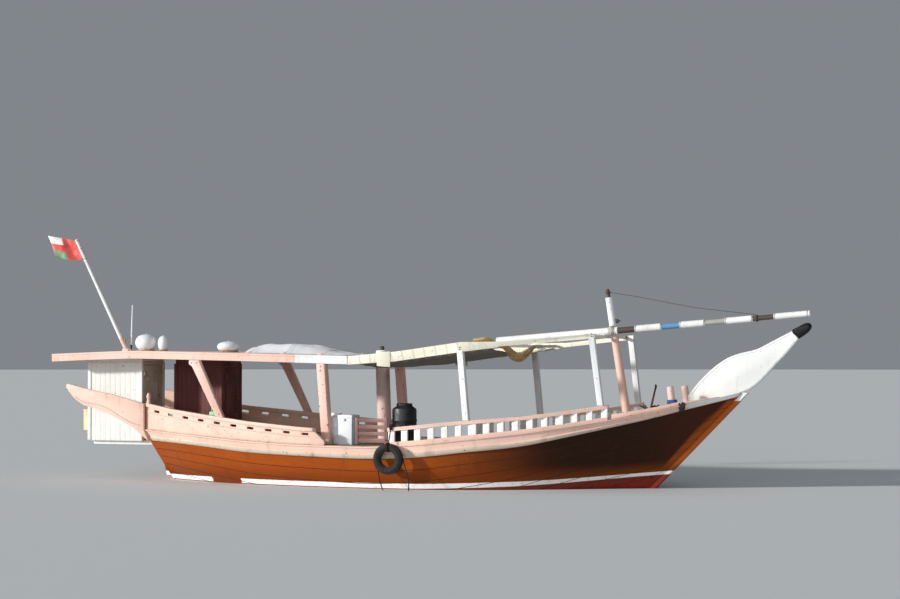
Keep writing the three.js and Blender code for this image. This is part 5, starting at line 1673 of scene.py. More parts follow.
@dataclass
class Spars:
    """The foremast, the main mast's stump and the long yard, with their lashings."""

    foremast_foot: Point = (4.43, 0.0, 1.38)
    foremast_head: Point = (3.99, 0.0, 4.16)
    foremast_radii: Pair = (0.092, 0.072)
    pink_to: float = 3.16
    white_to: float = 3.98
    main_foot: Point = (-1.12, 0.0, 0.8)
    main_head: Point = (-1.2, 0.0, 2.97)
    main_radii: Pair = (0.155, 0.15)
    yard_y: float = -0.16
    yard_line: tuple[tuple[float, float, float], ...] = (
        # x, z and radius
        (1.57, 3.07, 0.076),
        (4.11, 3.27, 0.073),
        (6.0, 3.42, 0.065),
        (8.31, 3.61, 0.056),
    )
    yard_bands: tuple[tuple[float, str], ...] = (
        # where each band ends, and its colour
        (4.27, "white"),
        (4.64, "dark"),
        (5.22, "white"),
        (5.6, "blue"),
        (6.14, "white"),
        (6.56, "grey"),
        (7.14, "white"),
        (7.57, "dark"),
        (8.31, "white"),
    )

    hoops_z: Pair = (1.15, 1.95)
    servings_x: tuple[float, ...] = (4.66, 5.2, 5.62, 6.12, 6.58, 7.12, 7.59, 8.26)
    lashing_z: float = 3.28
    stay_radius: float = 0.007
    stay_route: tuple[Point, ...] = (
        (4.03, 0.0, 4.09),
        (4.6, -0.04, 4.0),
        (5.2, -0.09, 3.885),
        (5.9, -0.14, 3.755),
        (6.6, -0.168, 3.665),
        (7.2, -0.162, 3.595),
    )

    def yard_at(self, x: float) -> tuple[Point, float]:
        """The yard's middle and radius at a place."""
        xs, zs, rs = zip(*self.yard_line)
        return (x, self.yard_y, float(np.interp(x, xs, zs))), float(np.interp(x, xs, rs))

    def on_mast(self, foot: Point, head: Point, z: float) -> Point:
        """The middle of a mast at a height."""
        share = (z - foot[2]) / (head[2] - foot[2])
        return (mix(foot[0], head[0], share), 0.0, z)

    def foremast(self) -> None:
        """The foremast: pink below the yard, white above it, with a bare dark tip and a truck."""
        deck = HULL.deck_z(self.foremast_foot[0])
        marks = [deck + 0.001, deck + 0.05, 2.2, self.pink_to, self.pink_to + 0.002, self.white_to]
        marks += [self.white_to + 0.003, self.foremast_head[2] - 0.03, self.foremast_head[2]]
        path = [self.on_mast(self.foremast_foot, self.foremast_head, z) for z in marks]
        low, high = self.foremast_foot[2], self.foremast_head[2]
        radii = [mix(*self.foremast_radii, (z - low) / (high - low)) for z in marks]
        radii[6:8] = [0.038, 0.038]
        radii[8] = 0.026
        mast = banded("foremast_spar", path, radii, [PINK_UP] * 3 + [WHITE_UP] * 2 + [DARK_BAND] * 3)
        parts = [mast]
        for z in (4.06, 4.115):
            place = Matrix.Translation(self.on_mast(self.foremast_foot, self.foremast_head, z))
            parts.append(IRON.on(spun("mast_band", [(0.043, -0.012), (0.043, 0.012)], place, 24)))
        parts.append(self.partners("mast_coat", path[0], self.foremast_radii[0], PINK))
        stand_in("foremast", parts)

    def partners(self, name: str, at: Point, radius: float, finish: Finish) -> Piece:
        """A round collar where a mast goes through the deck."""
        outside = radius + 0.05
        profile = [(outside, 0.0), (outside, 0.03), (outside - 0.012, 0.042), (radius - 0.01, 0.05)]
        return finish.on(spun(name, profile, Matrix.Translation(at), 28))

    def main_mast(self) -> None:
        """The main mast's stump: a darker mauve below as painted shade of the awning, with a cream head
        through the roof.
        """
        deck = HULL.deck_z(self.main_foot[0])
        head = self.main_head[2]
        marks = [deck + 0.001, 1.6, 2.5, 2.502, head - 0.12, head - 0.09, head - 0.088, head - 0.01, head]
        path = [self.on_mast(self.main_foot, self.main_head, z) for z in marks]
        radii = [0.155, 0.153, 0.152, 0.1515, 0.14, 0.115, 0.055, 0.05, 0.035]
        # Painted shade: the stump, its hoops and its collar are mauve below 2.5 m for the awning's shade, and
        # cream above.
        bands = [MAUVE_SHADE, MAUVE_SHADE, CREAM, CREAM, CREAM, CREAM, DARK_BAND, DARK_BAND]
        mast = banded("main_mast_spar", path, radii, bands, 32)
        hoops = []
        for z in self.hoops_z:
            place = Matrix.Translation(self.on_mast(self.main_foot, self.main_head, z))
            hoops.append(MAUVE_SHADE.on(spun("mast_hoop", [(0.158, -0.02), (0.158, 0.02)], place, 32)))
        coat = self.partners("main_coat", path[0], self.main_radii[0], MAUVE_SHADE)
        stand_in("main_mast", [mast, *hoops, coat])

    def yard(self) -> None:
        """The yard in its painted bands: the white stretches are served with canvas and stand proud."""
        colours = {"white": WHITE, "dark": DARK_BAND, "blue": BLUE_BAND, "grey": GREY_BAND}
        path, radii, bands = [], [], []
        start = self.yard_line[0][0]
        for end, colour in self.yard_bands:
            proud = 0.006 if colour == "white" else -0.008
            for x in spread(start, end, max(2, int((end - start) / 0.6) + 1)):
                at, radius = self.yard_at(x)
                lip = 0.004 if x == start else (-0.004 if x == end else 0.0)
                path.append((at[0] + lip, at[1], at[2]))
                radii.append(radius + proud)
                bands.append(colours[colour])
            start = end
        path[0], path[-1] = self.yard_at(self.yard_line[0][0])[0], self.yard_at(self.yard_line[-1][0])[0]
        yard = banded("yard_spar", path, radii, bands[:-1], 24)
        stand_in("yard", [yard, *self.servings()])

    def servings(self) -> list[Piece]:
        """Turns of small rope at the ends of the yard's bands."""
        made = []
        for x in self.servings_x:
            at, radius = self.yard_at(x)
            half = (radius + 0.006, radius + 0.006)
            made.append(SERVING.on(turns_round("serving", at, (0, 1, 0), (0, 0, 1), half, 3.0, 0.003)))
        return made

    def lashing(self) -> None:
        """The lashing that holds the yard to the foremast, its cleat, and the slack stay forward."""
        mast = self.on_mast(self.foremast_foot, self.foremast_head, self.lashing_z)
        at, radius = self.yard_at(mast[0])
        middle = ((mast[0] + at[0]) / 2, at[1] / 2, self.lashing_z)
        parts = []
        for lean in (0.5, -0.5):
            up = Vector((lean, 0.0, 1.0)).normalized()
            across = Vector((0.0, 1.0, 0.0))
            half = (abs(at[1]) / 2 + 0.1, radius + 0.02)
            parts.append(turns_round("yard_lashing", middle, across, up, half, 4.0, 0.011))
        lashing = joined("yard_lashing_rope", [SERVING.on(part) for part in parts])
        hung(lashing)
        high = self.on_mast(self.foremast_foot, self.foremast_head, 3.47)
        cleat = block("cleat_bar", (high[0] + 0.06, -0.02, 3.44), (high[0] + 0.13, 0.02, 3.53), 0.008)
        horn = block("cleat_horn", (high[0] + 0.115, -0.1, 3.475), (high[0] + 0.15, 0.1, 3.5), 0.01)
        hung(DARK_BAND.on(joined("mast_cleat", [cleat, horn])))
        rope = self.stay_radius
        stay = rod("fore_stay", rounded_path(self.stay_route, 8), rope, 8)
        start = turns_round("stay_head", (4.0, 0, 4.09), (1, 0, 0), (0, 1, 0), (0.046, 0.046), 2.0, rope)
        tip, radius = self.yard_at(7.22)
        half = (radius + 0.008, radius + 0.008)
        end = turns_round("stay_end", tip, (0, 1, 0), (0, 0, 1), half, 2.0, rope)
        hung(joined("fore_stay_rope", [STAY_ROPE.on(part) for part in (stay, start, end)]))

    def build(self) -> None:
        """Builds the masts, the yard and what holds it."""
        self.foremast()
        self.main_mast()
        self.yard()
        self.lashing()


# The roof over the after deck


@dataclass
class RoofWork:
    """The planked roof with its edge boards and beams, and the struts and posts under it."""

    top: Table = (
        (-8.44, 2.8), (-7.35, 2.84), (-6.33, 2.87), (-3.6, 2.815), (-1.07, 2.75),
    )
    half: Pair = (1.95, 2.11)
    edge_high: float = 0.17
    edge_thick: float = 0.045
    plank_wide: float = 0.15
    plank_gap: float = 0.003
    plank_thick: float = 0.028
    beam_wide: float = 0.07
    beam_deep: float = 0.085
    beam_count: int = 9
    white_from: float = -2.3
    mast_x: float = -1.2
    mast_room: float = 0.19

    def z(self, x: float) -> float:
        """The roof's upper face."""
        return float(np.interp(x, *zip(*self.top)))

    def width(self, x: float) -> float:
        """Half the roof's breadth."""
        return mix(*self.half, (x - self.top[0][0]) / (self.top[-1][0] - self.top[0][0]))

    def planks(self) -> Piece:
        """Fore and aft planks over the beams, open round the mast's head."""
        aft, fore = self.top[0][0] + self.edge_thick, self.top[-1][0] - self.edge_thick
        pitch = self.plank_wide + self.plank_gap
        lines = []
        count = int(self.half[1] / pitch)
        for i in range(-count, count + 1):
            y = i * pitch
            end = fore - 0.24 if abs(y) < self.mast_room + self.plank_wide / 2 - 0.03 else fore
            reach = abs(y) + self.plank_wide / 2
            inside = [x for x in spread(aft, end, 30) if reach < self.width(x) - self.edge_thick]
            if len(inside) > 2:
                lines.append([(x, y, self.z(x) - self.plank_thick / 2) for x in inside])
        return boarded("roof_planks", lines, self.plank_wide, self.plank_thick, PINK)

    def margin(self, side: Side) -> Piece:
        """The board that closes the planks' outer edges under the edge board's top."""
        rings = []
        for x in spread(self.top[0][0] + 0.01, self.top[-1][0] - 0.01, 24):
            out, inside = self.width(x) - 0.01, self.width(x) - 0.26
            low, high = self.z(x) - self.plank_thick + 0.002, self.z(x) - 0.003
            section = ((out, low), (out, high), (inside, high), (inside, low))
            rings.append([(x, side.value * y, z) for y, z in section])
        return PINK.on(soften(lofted("roof_margin", rings)))

    def edge(self, side: Side) -> Piece:
        """A deep edge board with a bead along its top, pink aft and white forward."""
        section = [  # from the outer face inwards, and down from the top
            (0.002, 0.17), (0.0, 0.15), (0.0, 0.05), (-0.006, 0.042), (-0.009, 0.028), (-0.006, 0.012),
            (0.002, 0.002), (0.012, 0.0), (0.04, 0.0), (0.045, 0.006), (0.045, 0.165), (0.04, 0.17),
        ]
        stations = sorted({*spread(self.top[0][0], self.top[-1][0], 44), self.white_from})
        rings = []
        for x in stations:
            wide, top = self.width(x), self.z(x)
            rings.append([(x, side.value * (wide - inside), top - down) for inside, down in section])
        obj = soften(lofted("roof_edge", rings), 35)
        return finished(obj, [PINK, WHITE], lambda face: face.center.x > self.white_from)

    def end_boards(self) -> list[Piece]:
        """The boards across the roof's two ends, the front one in two lengths beside the mast."""
        aft, fore = self.top[0][0], self.top[-1][0] - self.edge_thick
        back, front = self.half[0] - 0.03, self.half[1] - 0.03
        boards = [(aft, -back, back, PINK)]
        boards += [(fore, -front, -self.mast_room, WHITE), (fore, self.mast_room, front, WHITE)]
        made = []
        for x, low, high, finish in boards:
            top = min(self.z(x), self.z(x + self.edge_thick)) - 0.002
            foot = top - self.edge_high + 0.005
            made.append(finish.on(block("roof_end", (x, low, foot), (x + self.edge_thick, high, top), 0.008)))
        return made

    def beams(self) -> list[Piece]:
        """Cross beams with chamfered lower corners, and their bolt heads in the edge boards."""
        made, places, outs = [], [], []
        for x in spread(self.top[0][0] + 0.3, self.top[-1][0] - 0.3, self.beam_count):
            reach, top = self.width(x) - 0.02, self.z(x) - self.plank_thick
            aft, fore = x - self.beam_wide / 2, x + self.beam_wide / 2
            beam = block("roof_beam", (aft, -reach, top - self.beam_deep), (fore, reach, top), 0.01, 1)
            made.append(PINK.on(beam))
            for sign in (1, -1):
                for lift in (0.06, 0.12):
                    places.append((x, sign * (self.width(x) + 0.001), self.z(x) - lift))
                    outs.append((0.0, float(sign), 0.0))
        made.append(repeated("roof_bolts", stud(0.012, 0.004), places, PINK, outs))
        return made

    def collar(self) -> Piece:
        """A square board round the mast's head."""
        corners = ((-0.24, -0.26), (0.08, -0.26), (0.08, 0.26), (-0.24, 0.26))
        outline = [(self.mast_x + x, y) for x, y in corners]
        low, high = [[(x, y, self.z(x) + lift) for x, y in outline] for lift in (-0.002, 0.022)]
        return PINK.on(eased(lofted("mast_collar", [low, high]), 0.006))

    def struts(self, side: Side) -> None:
        """The leaning strut and the post under the roof's front end, with their bolts."""
        for node in (f"strut_{side.label}", f"front_post_{side.label}"):
            timber = PINK_UP.on(copied(node, f"{node}_timber", 0.014))
            low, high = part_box(node)
            heads = [(-1.66, high.z - 0.06), (-1.66, high.z - 0.15)]
            if node.startswith("strut"):
                heads = [(-4.06, 1.5), (-4.61, high.z - 0.06), (-4.73, high.z - 0.06)]
            faces = ((low.y - 0.001, -1.0), (high.y + 0.001, 1.0))
            places = [(x, y, z) for y, _ in faces for x, z in heads]
            outs = [(0.0, out, 0.0) for _, out in faces for _ in heads]
            stand_in(node, [timber, repeated("post_bolts", stud(0.014, 0.005), places, IRON, outs)])

    def build(self) -> None:
        """Builds the roof and what carries it."""
        parts = [self.planks(), *self.end_boards(), *self.beams(), self.collar()]
        for side in Side:
            parts += [self.margin(side), self.edge(side)]
        stand_in("roof", parts)
        for side in Side:
            self.struts(side)


ROOF = RoofWork()


# The awning


@dataclass
class Awning:
    """The frame over the foredeck, its sagging cloth and the part that lies gathered across it."""

    beams: tuple[tuple[float, float, float, float], ...] = (
        # x, y, lower and upper face
        (-1.07, 2.06, 2.57, 2.745),
        (0.07, 2.17, 2.64, 2.84),
        (1.57, 2.265, 2.832, 3.035),
        (2.3, 2.09, 2.925, 3.045),
        (2.35, 2.075, 2.945, 3.04),
        (4.16, 1.345, 3.11, 3.2),
    )
    beam_thick: float = 0.07
    post_x: Pair = (1.56, 4.09)
    scarf_x: float = -0.2
    span: Pair = (-1.0, 2.05)
    lift: float = 0.046
    sag: float = 0.125
    lace_step: float = 0.254
    rows: int = 150
    columns: int = 120
    cloth_thick: float = 0.003
    roll_x: float = 2.16
    roll_radius: Pair = (0.05, 0.115)
    roll_hem: float = 0.034
    roll_hem_y: float = 0.5
    roll_sag: float = 0.235
    roll_bight: Pair = (-0.78, 0.34)
    roll_over: tuple[Point, ...] = (
        # x, y and height over the beam's crest
        (2.13, -2.03, -0.03),
        (2.06, -2.12, 0.008),
        (1.95, -2.17, -0.005),
    )
    roll_tail: Pair = (1.82, -2.2)
    roll_turns: float = 2.6
    roll_ties: int = 9

    def beam(self, x: float, column: int) -> float:
        """A value of the beams' table at a place: 1 for y, 2 for the lower face, 3 for the upper."""
        return float(np.interp(x, [row[0] for row in self.beams], [row[column] for row in self.beams]))

    def frame(self, side: Side) -> None:
        """A side beam in cream over its white posts, with bolts at the posts' heads."""
        node = f"awning_frame_{side.label}"

        def on_beam(face: bpy.types.MeshPolygon) -> bool:
            """Whether a face is on the beam and not on a post."""
            return face.center.z > self.beam(face.center.x, 2) - 0.004

        timber = finished(copied(node, f"{node}_timber", 0.01), [WHITE_UP, CREAM_RUN], on_beam)
        places, outs = [], []
        for x in self.post_x:
            for lift in (0.05, 0.1):
                y = self.beam(x, 1) + self.beam_thick / 2 + 0.012
                places.append((x, side.value * y, self.beam(x, 2) + lift))
                outs.append((0.0, float(side.value), 0.0))
        bolts = repeated("beam_bolts", stud(0.012, 0.006), places, IRON, outs)
        stand_in(node, [timber, bolts, self.scarf(side)])

    def scarf(self, side: Side) -> Piece:
        """A cheek piece over the beam's joint beside the roof's corner."""
        y = side.value * (self.beam(self.scarf_x, 1) + self.beam_thick / 2 + 0.014)
        high = self.beam(self.scarf_x, 3)
        outline = [(-0.34, 2.54), (-0.04, 2.52), (-0.04, high + 0.03), (-0.34, high + 0.01)]
        return CREAM_RUN.on(slab("beam_cheek", outline, (y - 0.016, y + 0.016), 0.006))

    def half(self, x: float) -> float:
        """Half the cloth's width between the beams."""
        return self.beam(x, 1) - self.beam_thick / 2 - 0.006

    def drop(self, x: float, share: float) -> float:
        """How far the cloth hangs below its laced edges, with its small folds."""
        hollow = self.sag * (1 - share * share)
        near = math.exp(-(1 - abs(share)) / 0.06)
        scallop = 0.012 * near * (1 - math.cos(2 * math.pi * (x - self.span[0]) / self.lace_step))
        creases = 0.006 * math.sin(9 * x + 5 * share) * (1 - abs(share))
        creases += 0.005 * math.sin(23 * share + 2.5 * x)
        return hollow + scallop * 0.6 + creases * (1 - near)

    def cloth(self) -> None:
        """The canvas between the beams, laced at its sides and sagging in the middle, with shade painted
        under it.
        """
        rows = []
        for x in spread(*self.span, self.rows):
            z, half = self.beam(x, 2) + self.lift, self.half(x)
            rows.append([(x, s * half, z - self.drop(x, s)) for s in spread(-1, 1, self.columns)])
        obj = sheeted("awning_cloth_sheet", rows)
        thicken(obj, self.cloth_thick)
        # Painted shade: faces that look down get the darker canvas.
        finished(soften(obj, 60), [CANVAS, SHADED_UNDER_CANVAS], lambda face: face.normal.z < -0.3)
        hung(obj, replaces=["awning_cloth"])
        self.lacing()

    def lacing(self) -> None:
        """Eyelets along the cloth's edges and the line that laces them to the beams."""
        count = int((self.span[1] - self.span[0]) / self.lace_step)
        parts = []
        for side in Side:
            places, path = [], []
            for i in range(count):
                x = self.span[0] + (i + 0.5) * self.lace_step
                y = side.value * (self.half(x) - 0.02)
                z = self.beam(x, 2) + self.lift + 0.003 - self.drop(x, 0.99)
                places.append((x, y, z))
                outer = side.value * (self.beam(x, 1) + self.beam_thick / 2 + 0.006)
                top, low = self.beam(x, 3) + 0.006, self.beam(x, 2) - 0.006
                inner = side.value * (self.beam(x, 1) - self.beam_thick / 2 - 0.006)
                lean = self.lace_step / 5
                path += [(x, y, z + 0.006), (x + lean, inner, top), (x + 1.5 * lean, outer, top)]
                path += [(x + 2.5 * lean, outer, low), (x + 3.5 * lean, inner, low)]
                path.append((x + 4.2 * lean, inner, z))
            profile = [(0.008, 0), (0.014, 0), (0.013, 0.003), (0.009, 0.003), (0.008, 0)]
            ring = open_ring("eyelet_pattern", profile, Matrix.Identity(4), 12)
            parts.append(repeated("eyelets", ring, places, BRONZE))
            parts.append(SERVING.on(rod("lacing_line", rounded_path(path, 3), 0.003, 6)))
        hung(joined("awning_lacing", parts))

    def roll_path(self) -> list[Point]:
        """The gathered part's middle line, from the port beam over to the top of the starboard one."""
        reach = self.beam(self.roll_x, 1) - self.beam_thick / 2 - 0.02
        z = self.beam(self.roll_x, 2) + 0.06
        line = []
        for share in spread(1, -0.93, 28):
            x = self.roll_x + 0.012 * math.sin(9 * share)
            line.append((x, share * reach, z - self.roll_sag * self.hang(share)))
        crest = self.beam(2.1, 3) + 0.045
        line += [(x, y, crest + lift) for x, y, lift in self.roll_over]
        x, y = self.roll_tail
        return rounded_path([*line, (x, y, self.beam(x, 3) + 0.035)], 5)

    def hang(self, share: float) -> float:
        """How much of the roll's sag and bulk is at a share of the half breadth."""
        start, end = self.roll_bight
        return math.sin(math.pi * min(1.0, max(0.0, (share - start) / (end - start)))) ** 2

    def roll(self) -> None:
        """The gathered canvas: one sheet wound loosely on itself and tied along its length."""
        path = [Vector(p) for p in self.roll_path()]
        count, around = len(path), 110
        run = np.concatenate([[0.0], np.cumsum([(b - a).length for a, b in zip(path, path[1:])])])
        total = float(run[-1])
        rows = []
        draw = random.Random(SEED + 3)
        phases = [draw.uniform(0, 6.28) for _ in range(6)]
        for i, middle in enumerate(path):
            share = float(run[i]) / total
            tangent = (path[min(i + 1, count - 1)] - path[max(i - 1, 0)]).normalized()
            side = Vector((0, 0, 1)).cross(tangent).normalized()
            up = tangent.cross(side)
            tie = abs(math.sin(math.pi * share * self.roll_ties))
            swell = self.thickness(middle) * (0.78 + 0.22 * tie**0.45)
            end = smooth((1 - share) / 0.12)
            row = []
            for j in range(around):
                t = j / (around - 1)
                turn = 2 * math.pi * self.roll_turns * t + phases[0] + 1.3 * math.sin(5 * share + phases[1])
                folds = 0.07 * math.sin(3 * turn + 17 * share + phases[2])
                folds += 0.05 * math.sin(5 * turn - 29 * share)
                ripple = 0.04 * math.sin(60 * share + 7 * t + phases[3]) * tie
                r = swell * (0.3 + 0.7 * t) * (1 + (folds + ripple) * t)
                flat = mix(0.8, 1.0, end)
                across = side * (r * math.cos(turn) / flat)
                row.append(tuple(middle + across + up * (r * math.sin(turn) * flat)))
            rows.append(row)
        obj = sheeted("awning_roll_sheet", rows)
        thicken(obj, self.cloth_thick)
        finished(soften(obj, 70), [OCHRE, CANVAS], lambda face: face.center.y > self.roll_hem_y)
        hung(obj, replaces=["awning_roll"])
        self.ties(path, run, total)

    def thickness(self, middle: Vector) -> float:
        """The roll's radius at a point of its middle line: no more than a hem to port."""
        share = middle.y / self.beam(self.roll_x, 1)
        end = mix(self.roll_radius[0], self.roll_hem, smooth((share + 0.1) / 0.3))
        return mix(end, self.roll_radius[1], self.hang(share))

    def ties(self, path: Sequence[Vector], run: np.ndarray, total: float) -> None:
        """Small rope turns that hold the gathered canvas."""
        parts = []
        for k in range(1, self.roll_ties):
            i = int(np.searchsorted(run, total * k / self.roll_ties))
            tangent = (path[min(i + 1, len(path) - 1)] - path[i - 1]).normalized()
            side = Vector((0, 0, 1)).cross(tangent).normalized()
            size = self.thickness(path[i]) * 0.84 + 0.004
            up = tangent.cross(side)
            tie = turns_round("roll_tie", tuple(path[i]), side, up, (size, size), 2.0, 0.004)
            parts.append(SERVING.on(tie))
        hung(joined("awning_roll_ties", parts))

    def bars(self) -> None:
        """The cross bars, lashed at the beams."""
        for node in ("cross_bar_1", "cross_bar_2"):
            parts = [WHITE.on(copied(node, f"{node}_timber", 0.008))]
            low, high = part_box(node)
            x, z = (low.x + high.x) / 2, (low.z + high.z) / 2
            half = ((high.x - low.x) / 2 + 0.008, (high.z - low.z) / 2 + 0.008)
            for y in (low.y + 0.05, high.y - 0.05):
                lashing = turns_round("bar_lashing", (x, y, z), (1, 0, 0), (0, 0, 1), half, 4.0, 0.006)
                parts.append(PALE_ROPE.on(lashing))
            stand_in(node, parts)

    def build(self) -> None:
        """Builds the frame, then the cloth on it."""
        for side in Side:
            self.frame(side)
        self.bars()
        self.cloth()
        self.roll()


def thicken(obj: Piece, thickness: float) -> Piece:
    """Gives an open sheet its thickness, to both sides of where it lies."""
    wall = obj.modifiers.new("wall", "SOLIDIFY")
    wall.thickness = thickness
    wall.offset = 0.0
    wall.use_even_offset = False
    return settled(obj)


CREAM_RUN = PaintedWood("cream_beam_paint", "cream_paint", colour=paint("ece6d2"), streaks=0.4, wear=0.5)


# What lies and stands on the roof


@dataclass
class RoofLoad:
    """The tarp over its heap, the floats, the flagstaff with its flag, and the aerial."""

    tarp_x: Pair = (-4.25, -1.7)
    tarp_half: float = 0.9
    tarp_rise: Table = (
        (-4.25, 0.13), (-4.0, 0.19), (-3.75, 0.222), (-3.6, 0.225), (-3.25, 0.24), (-2.75, 0.2),
        (-2.15, 0.07), (-1.7, 0.03),
    )
    lumps: tuple[tuple[float, float, float, float], ...] = (
        # x, y, size and height
        (-3.85, -0.3, 0.2, 0.05),
        (-3.55, 0.35, 0.24, 0.035),
        (-3.1, -0.35, 0.26, 0.03),
        (-2.9, 0.3, 0.2, 0.045),
        (-2.5, -0.1, 0.22, 0.04),
        (-2.1, 0.35, 0.16, 0.03),
    )
    lines_x: Point = (-3.95, -3.1, -2.2)
    tarp_cells: tuple[int, int] = (110, 84)
    tarp_frames: int = 24
    floats: tuple[tuple[str, float, float, float, float], ...] = (
        # node, x, y, radius, height
        ("float_large", -6.69, -0.8, 0.27, 0.385),
        ("float_middle", -6.25, -0.8, 0.13, 0.34),
        ("float_flat", -4.69, -0.6, 0.28, 0.24),
    )
    seat_thick: float = 0.014
    staff_foot: Point = (-6.985, -1.0, 2.7)
    staff_head: Point = (-8.43, -1.0, 5.43)
    staff_radii: Pair = (0.048, 0.038)
    flag_z: Pair = (4.96, 5.4)
    flag_long: float = 0.76
    flag_rise: Pair = (0.07, 0.13)
    aerial: tuple[float, float, float] = (-7.05, -0.85, 3.91)

    def heap(self, x: float, y: float) -> float:
        """The height of the stowed gear over the roof: boxes, coils and bags under the tarp."""
        rise = float(np.interp(x, *zip(*self.tarp_rise)))
        across = abs(y) / self.tarp_half
        shoulder = 1 - smooth((across - 0.35) / 0.6)
        lumps = 0.0
        for cx, cy, size, high in self.lumps:
            far = math.hypot(x - cx, y - cy) / size
            lumps += high * (1 - smooth(far - 0.3)) * min(1.0, rise / 0.1)
        return rise * shoulder * 0.93 + lumps * shoulder * 0.5

    def surface(self, name: str, lift: float, cells: tuple[int, int], spread_out: float) -> Piece:
        """The heap's surface as a sheet, lifted by some height."""
        across = [s * (self.tarp_half - 0.02 + spread_out) for s in spread(-1, 1, cells[1])]
        stations = spread(self.tarp_x[0] + 0.02 - spread_out, self.tarp_x[1] - 0.02 + spread_out, cells[0])
        return sheeted(name, [[(x, y, ROOF.z(x) + self.heap(x, y) + lift) for y in across] for x in stations])

    def tarp(self) -> None:
        """The white sheet, let fall over the heap and held by lines across it."""
        obj = self.surface("roof_tarp_sheet", 0.012, self.tarp_cells, 0.0)
        rest = [v.co.copy() for v in obj.data.vertices]
        self.let_fall(obj)
        draw = random.Random(SEED + 5)
        waves = [(draw.uniform(4, 11), draw.uniform(-9, 9), draw.uniform(0, 6.28)) for _ in range(6)]
        for v, was in zip(obj.data.vertices, rest):
            moved = v.co - was
            if moved.length > 0.03:
                v.co = was + moved * (0.03 / moved.length)
            floor = ROOF.z(v.co.x) + 0.004
            fold = sum(math.sin(a * v.co.x + b * v.co.y + c) for a, b, c in waves) / 6
            v.co.z = max(floor, v.co.z + 0.009 * fold)
        thicken(obj, 0.0025)
        TARP.on(soften(obj, 80))
        hung(obj, replaces=["roof_tarp"])
        self.tarp_lines()

    def let_fall(self, obj: Piece) -> None:
        """Runs a cloth simulation of the sheet over the heap, and keeps its result."""
        under = self.surface("heap_under", 0.0, (60, 40), 0.3)
        under.modifiers.new("solid", "COLLISION")
        under.collision.thickness_outer = 0.006
        under.collision.cloth_friction = 12
        cloth = obj.modifiers.new("fall", "CLOTH")
        cloth.settings.quality = 6
        cloth.settings.mass = 0.25
        cloth.settings.tension_stiffness = 25
        cloth.settings.compression_stiffness = 12
        cloth.settings.bending_stiffness = 0.08
        cloth.settings.shrink_min = -0.02
        cloth.collision_settings.distance_min = 0.005
        cloth.collision_settings.use_self_collision = False
        cloth.point_cache.frame_start = 1
        cloth.point_cache.frame_end = self.tarp_frames
        for step in range(1, self.tarp_frames + 1):
            bpy.context.scene.frame_set(step)
        settled(obj)
        bpy.context.scene.frame_set(1)
        bpy.data.objects.remove(under)

    def tarp_lines(self) -> None:
        """Three lines over the tarp and the wooden toggles they end on."""
        parts = []
        for x in self.lines_x:
            path = []
            for y in spread(-self.tarp_half - 0.12, self.tarp_half + 0.12, 40):
                inside = abs(y) < self.tarp_half
                lift = self.heap(x, y) + 0.026 if inside else 0.012
                path.append((x + 0.05 * math.sin(2.5 * y), y, ROOF.z(x) + lift))
            parts.append(SERVING.on(rod("tarp_line", path, 0.004, 8)))
            for end_x, end_y, _ in (path[0], path[-1]):
                low = (end_x - 0.05, end_y - 0.012, ROOF.z(x))
                high = (end_x + 0.05, end_y + 0.012, ROOF.z(x) + 0.028)
                parts.append(PINK.on(block("line_cleat", low, high, 0.006)))
        hung(joined("tarp_lines", parts))

    def float_body(self, radius: float, high: float) -> list[Pair]:
        """A float's profile: nearly a ball, flattened where it rests, with a moulded seam."""
        profile = [(radius * 0.55, 0.0)]
        for degrees in range(-54, 90, 6):
            turn = math.radians(degrees)
            bulge = 0.004 if degrees == 0 else 0.0
            wide = radius * 0.9 * math.cos(turn) ** 0.8 + bulge
            profile.append((wide, high * 0.49 * (1 + math.copysign(abs(math.sin(turn)) ** 0.95, turn))))
        profile.append((0.002, high * 0.982))
        return profile

    def net_floats(self) -> None:
        """Moulded floats, each seated in a ring of rope."""
        for node, x, y, radius, high in self.floats:
            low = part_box(node)[0].z
            place = Matrix.Translation((x, y, low))
            body = WHITE_PLASTIC.on(spun("float_body", self.float_body(radius, high), place, 48))
            wide = radius * 0.72
            turns = spread(0, 2 * math.pi, 60)
            path = [(x + wide * math.cos(t), y + wide * math.sin(t), low + self.seat_thick) for t in turns]
            seat = PALE_ROPE.on(laid_rope("float_seat", path, self.seat_thick))
            crown = placed((x, y, low + high * 0.97), 90, "X")
            eye = open_ring("float_eye", bead_round(0.013, 0.005), crown, 24)
            stand_in(node, [body, seat, WHITE_PLASTIC.on(eye)], "moulded")

    def on_staff(self, z: float) -> tuple[Point, float]:
        """The staff's middle and radius at a height."""
        foot, head = self.staff_foot, self.staff_head
        share = (z - foot[2]) / (head[2] - foot[2])
        return (mix(foot[0], head[0], share), foot[1], z), mix(*self.staff_radii, share)

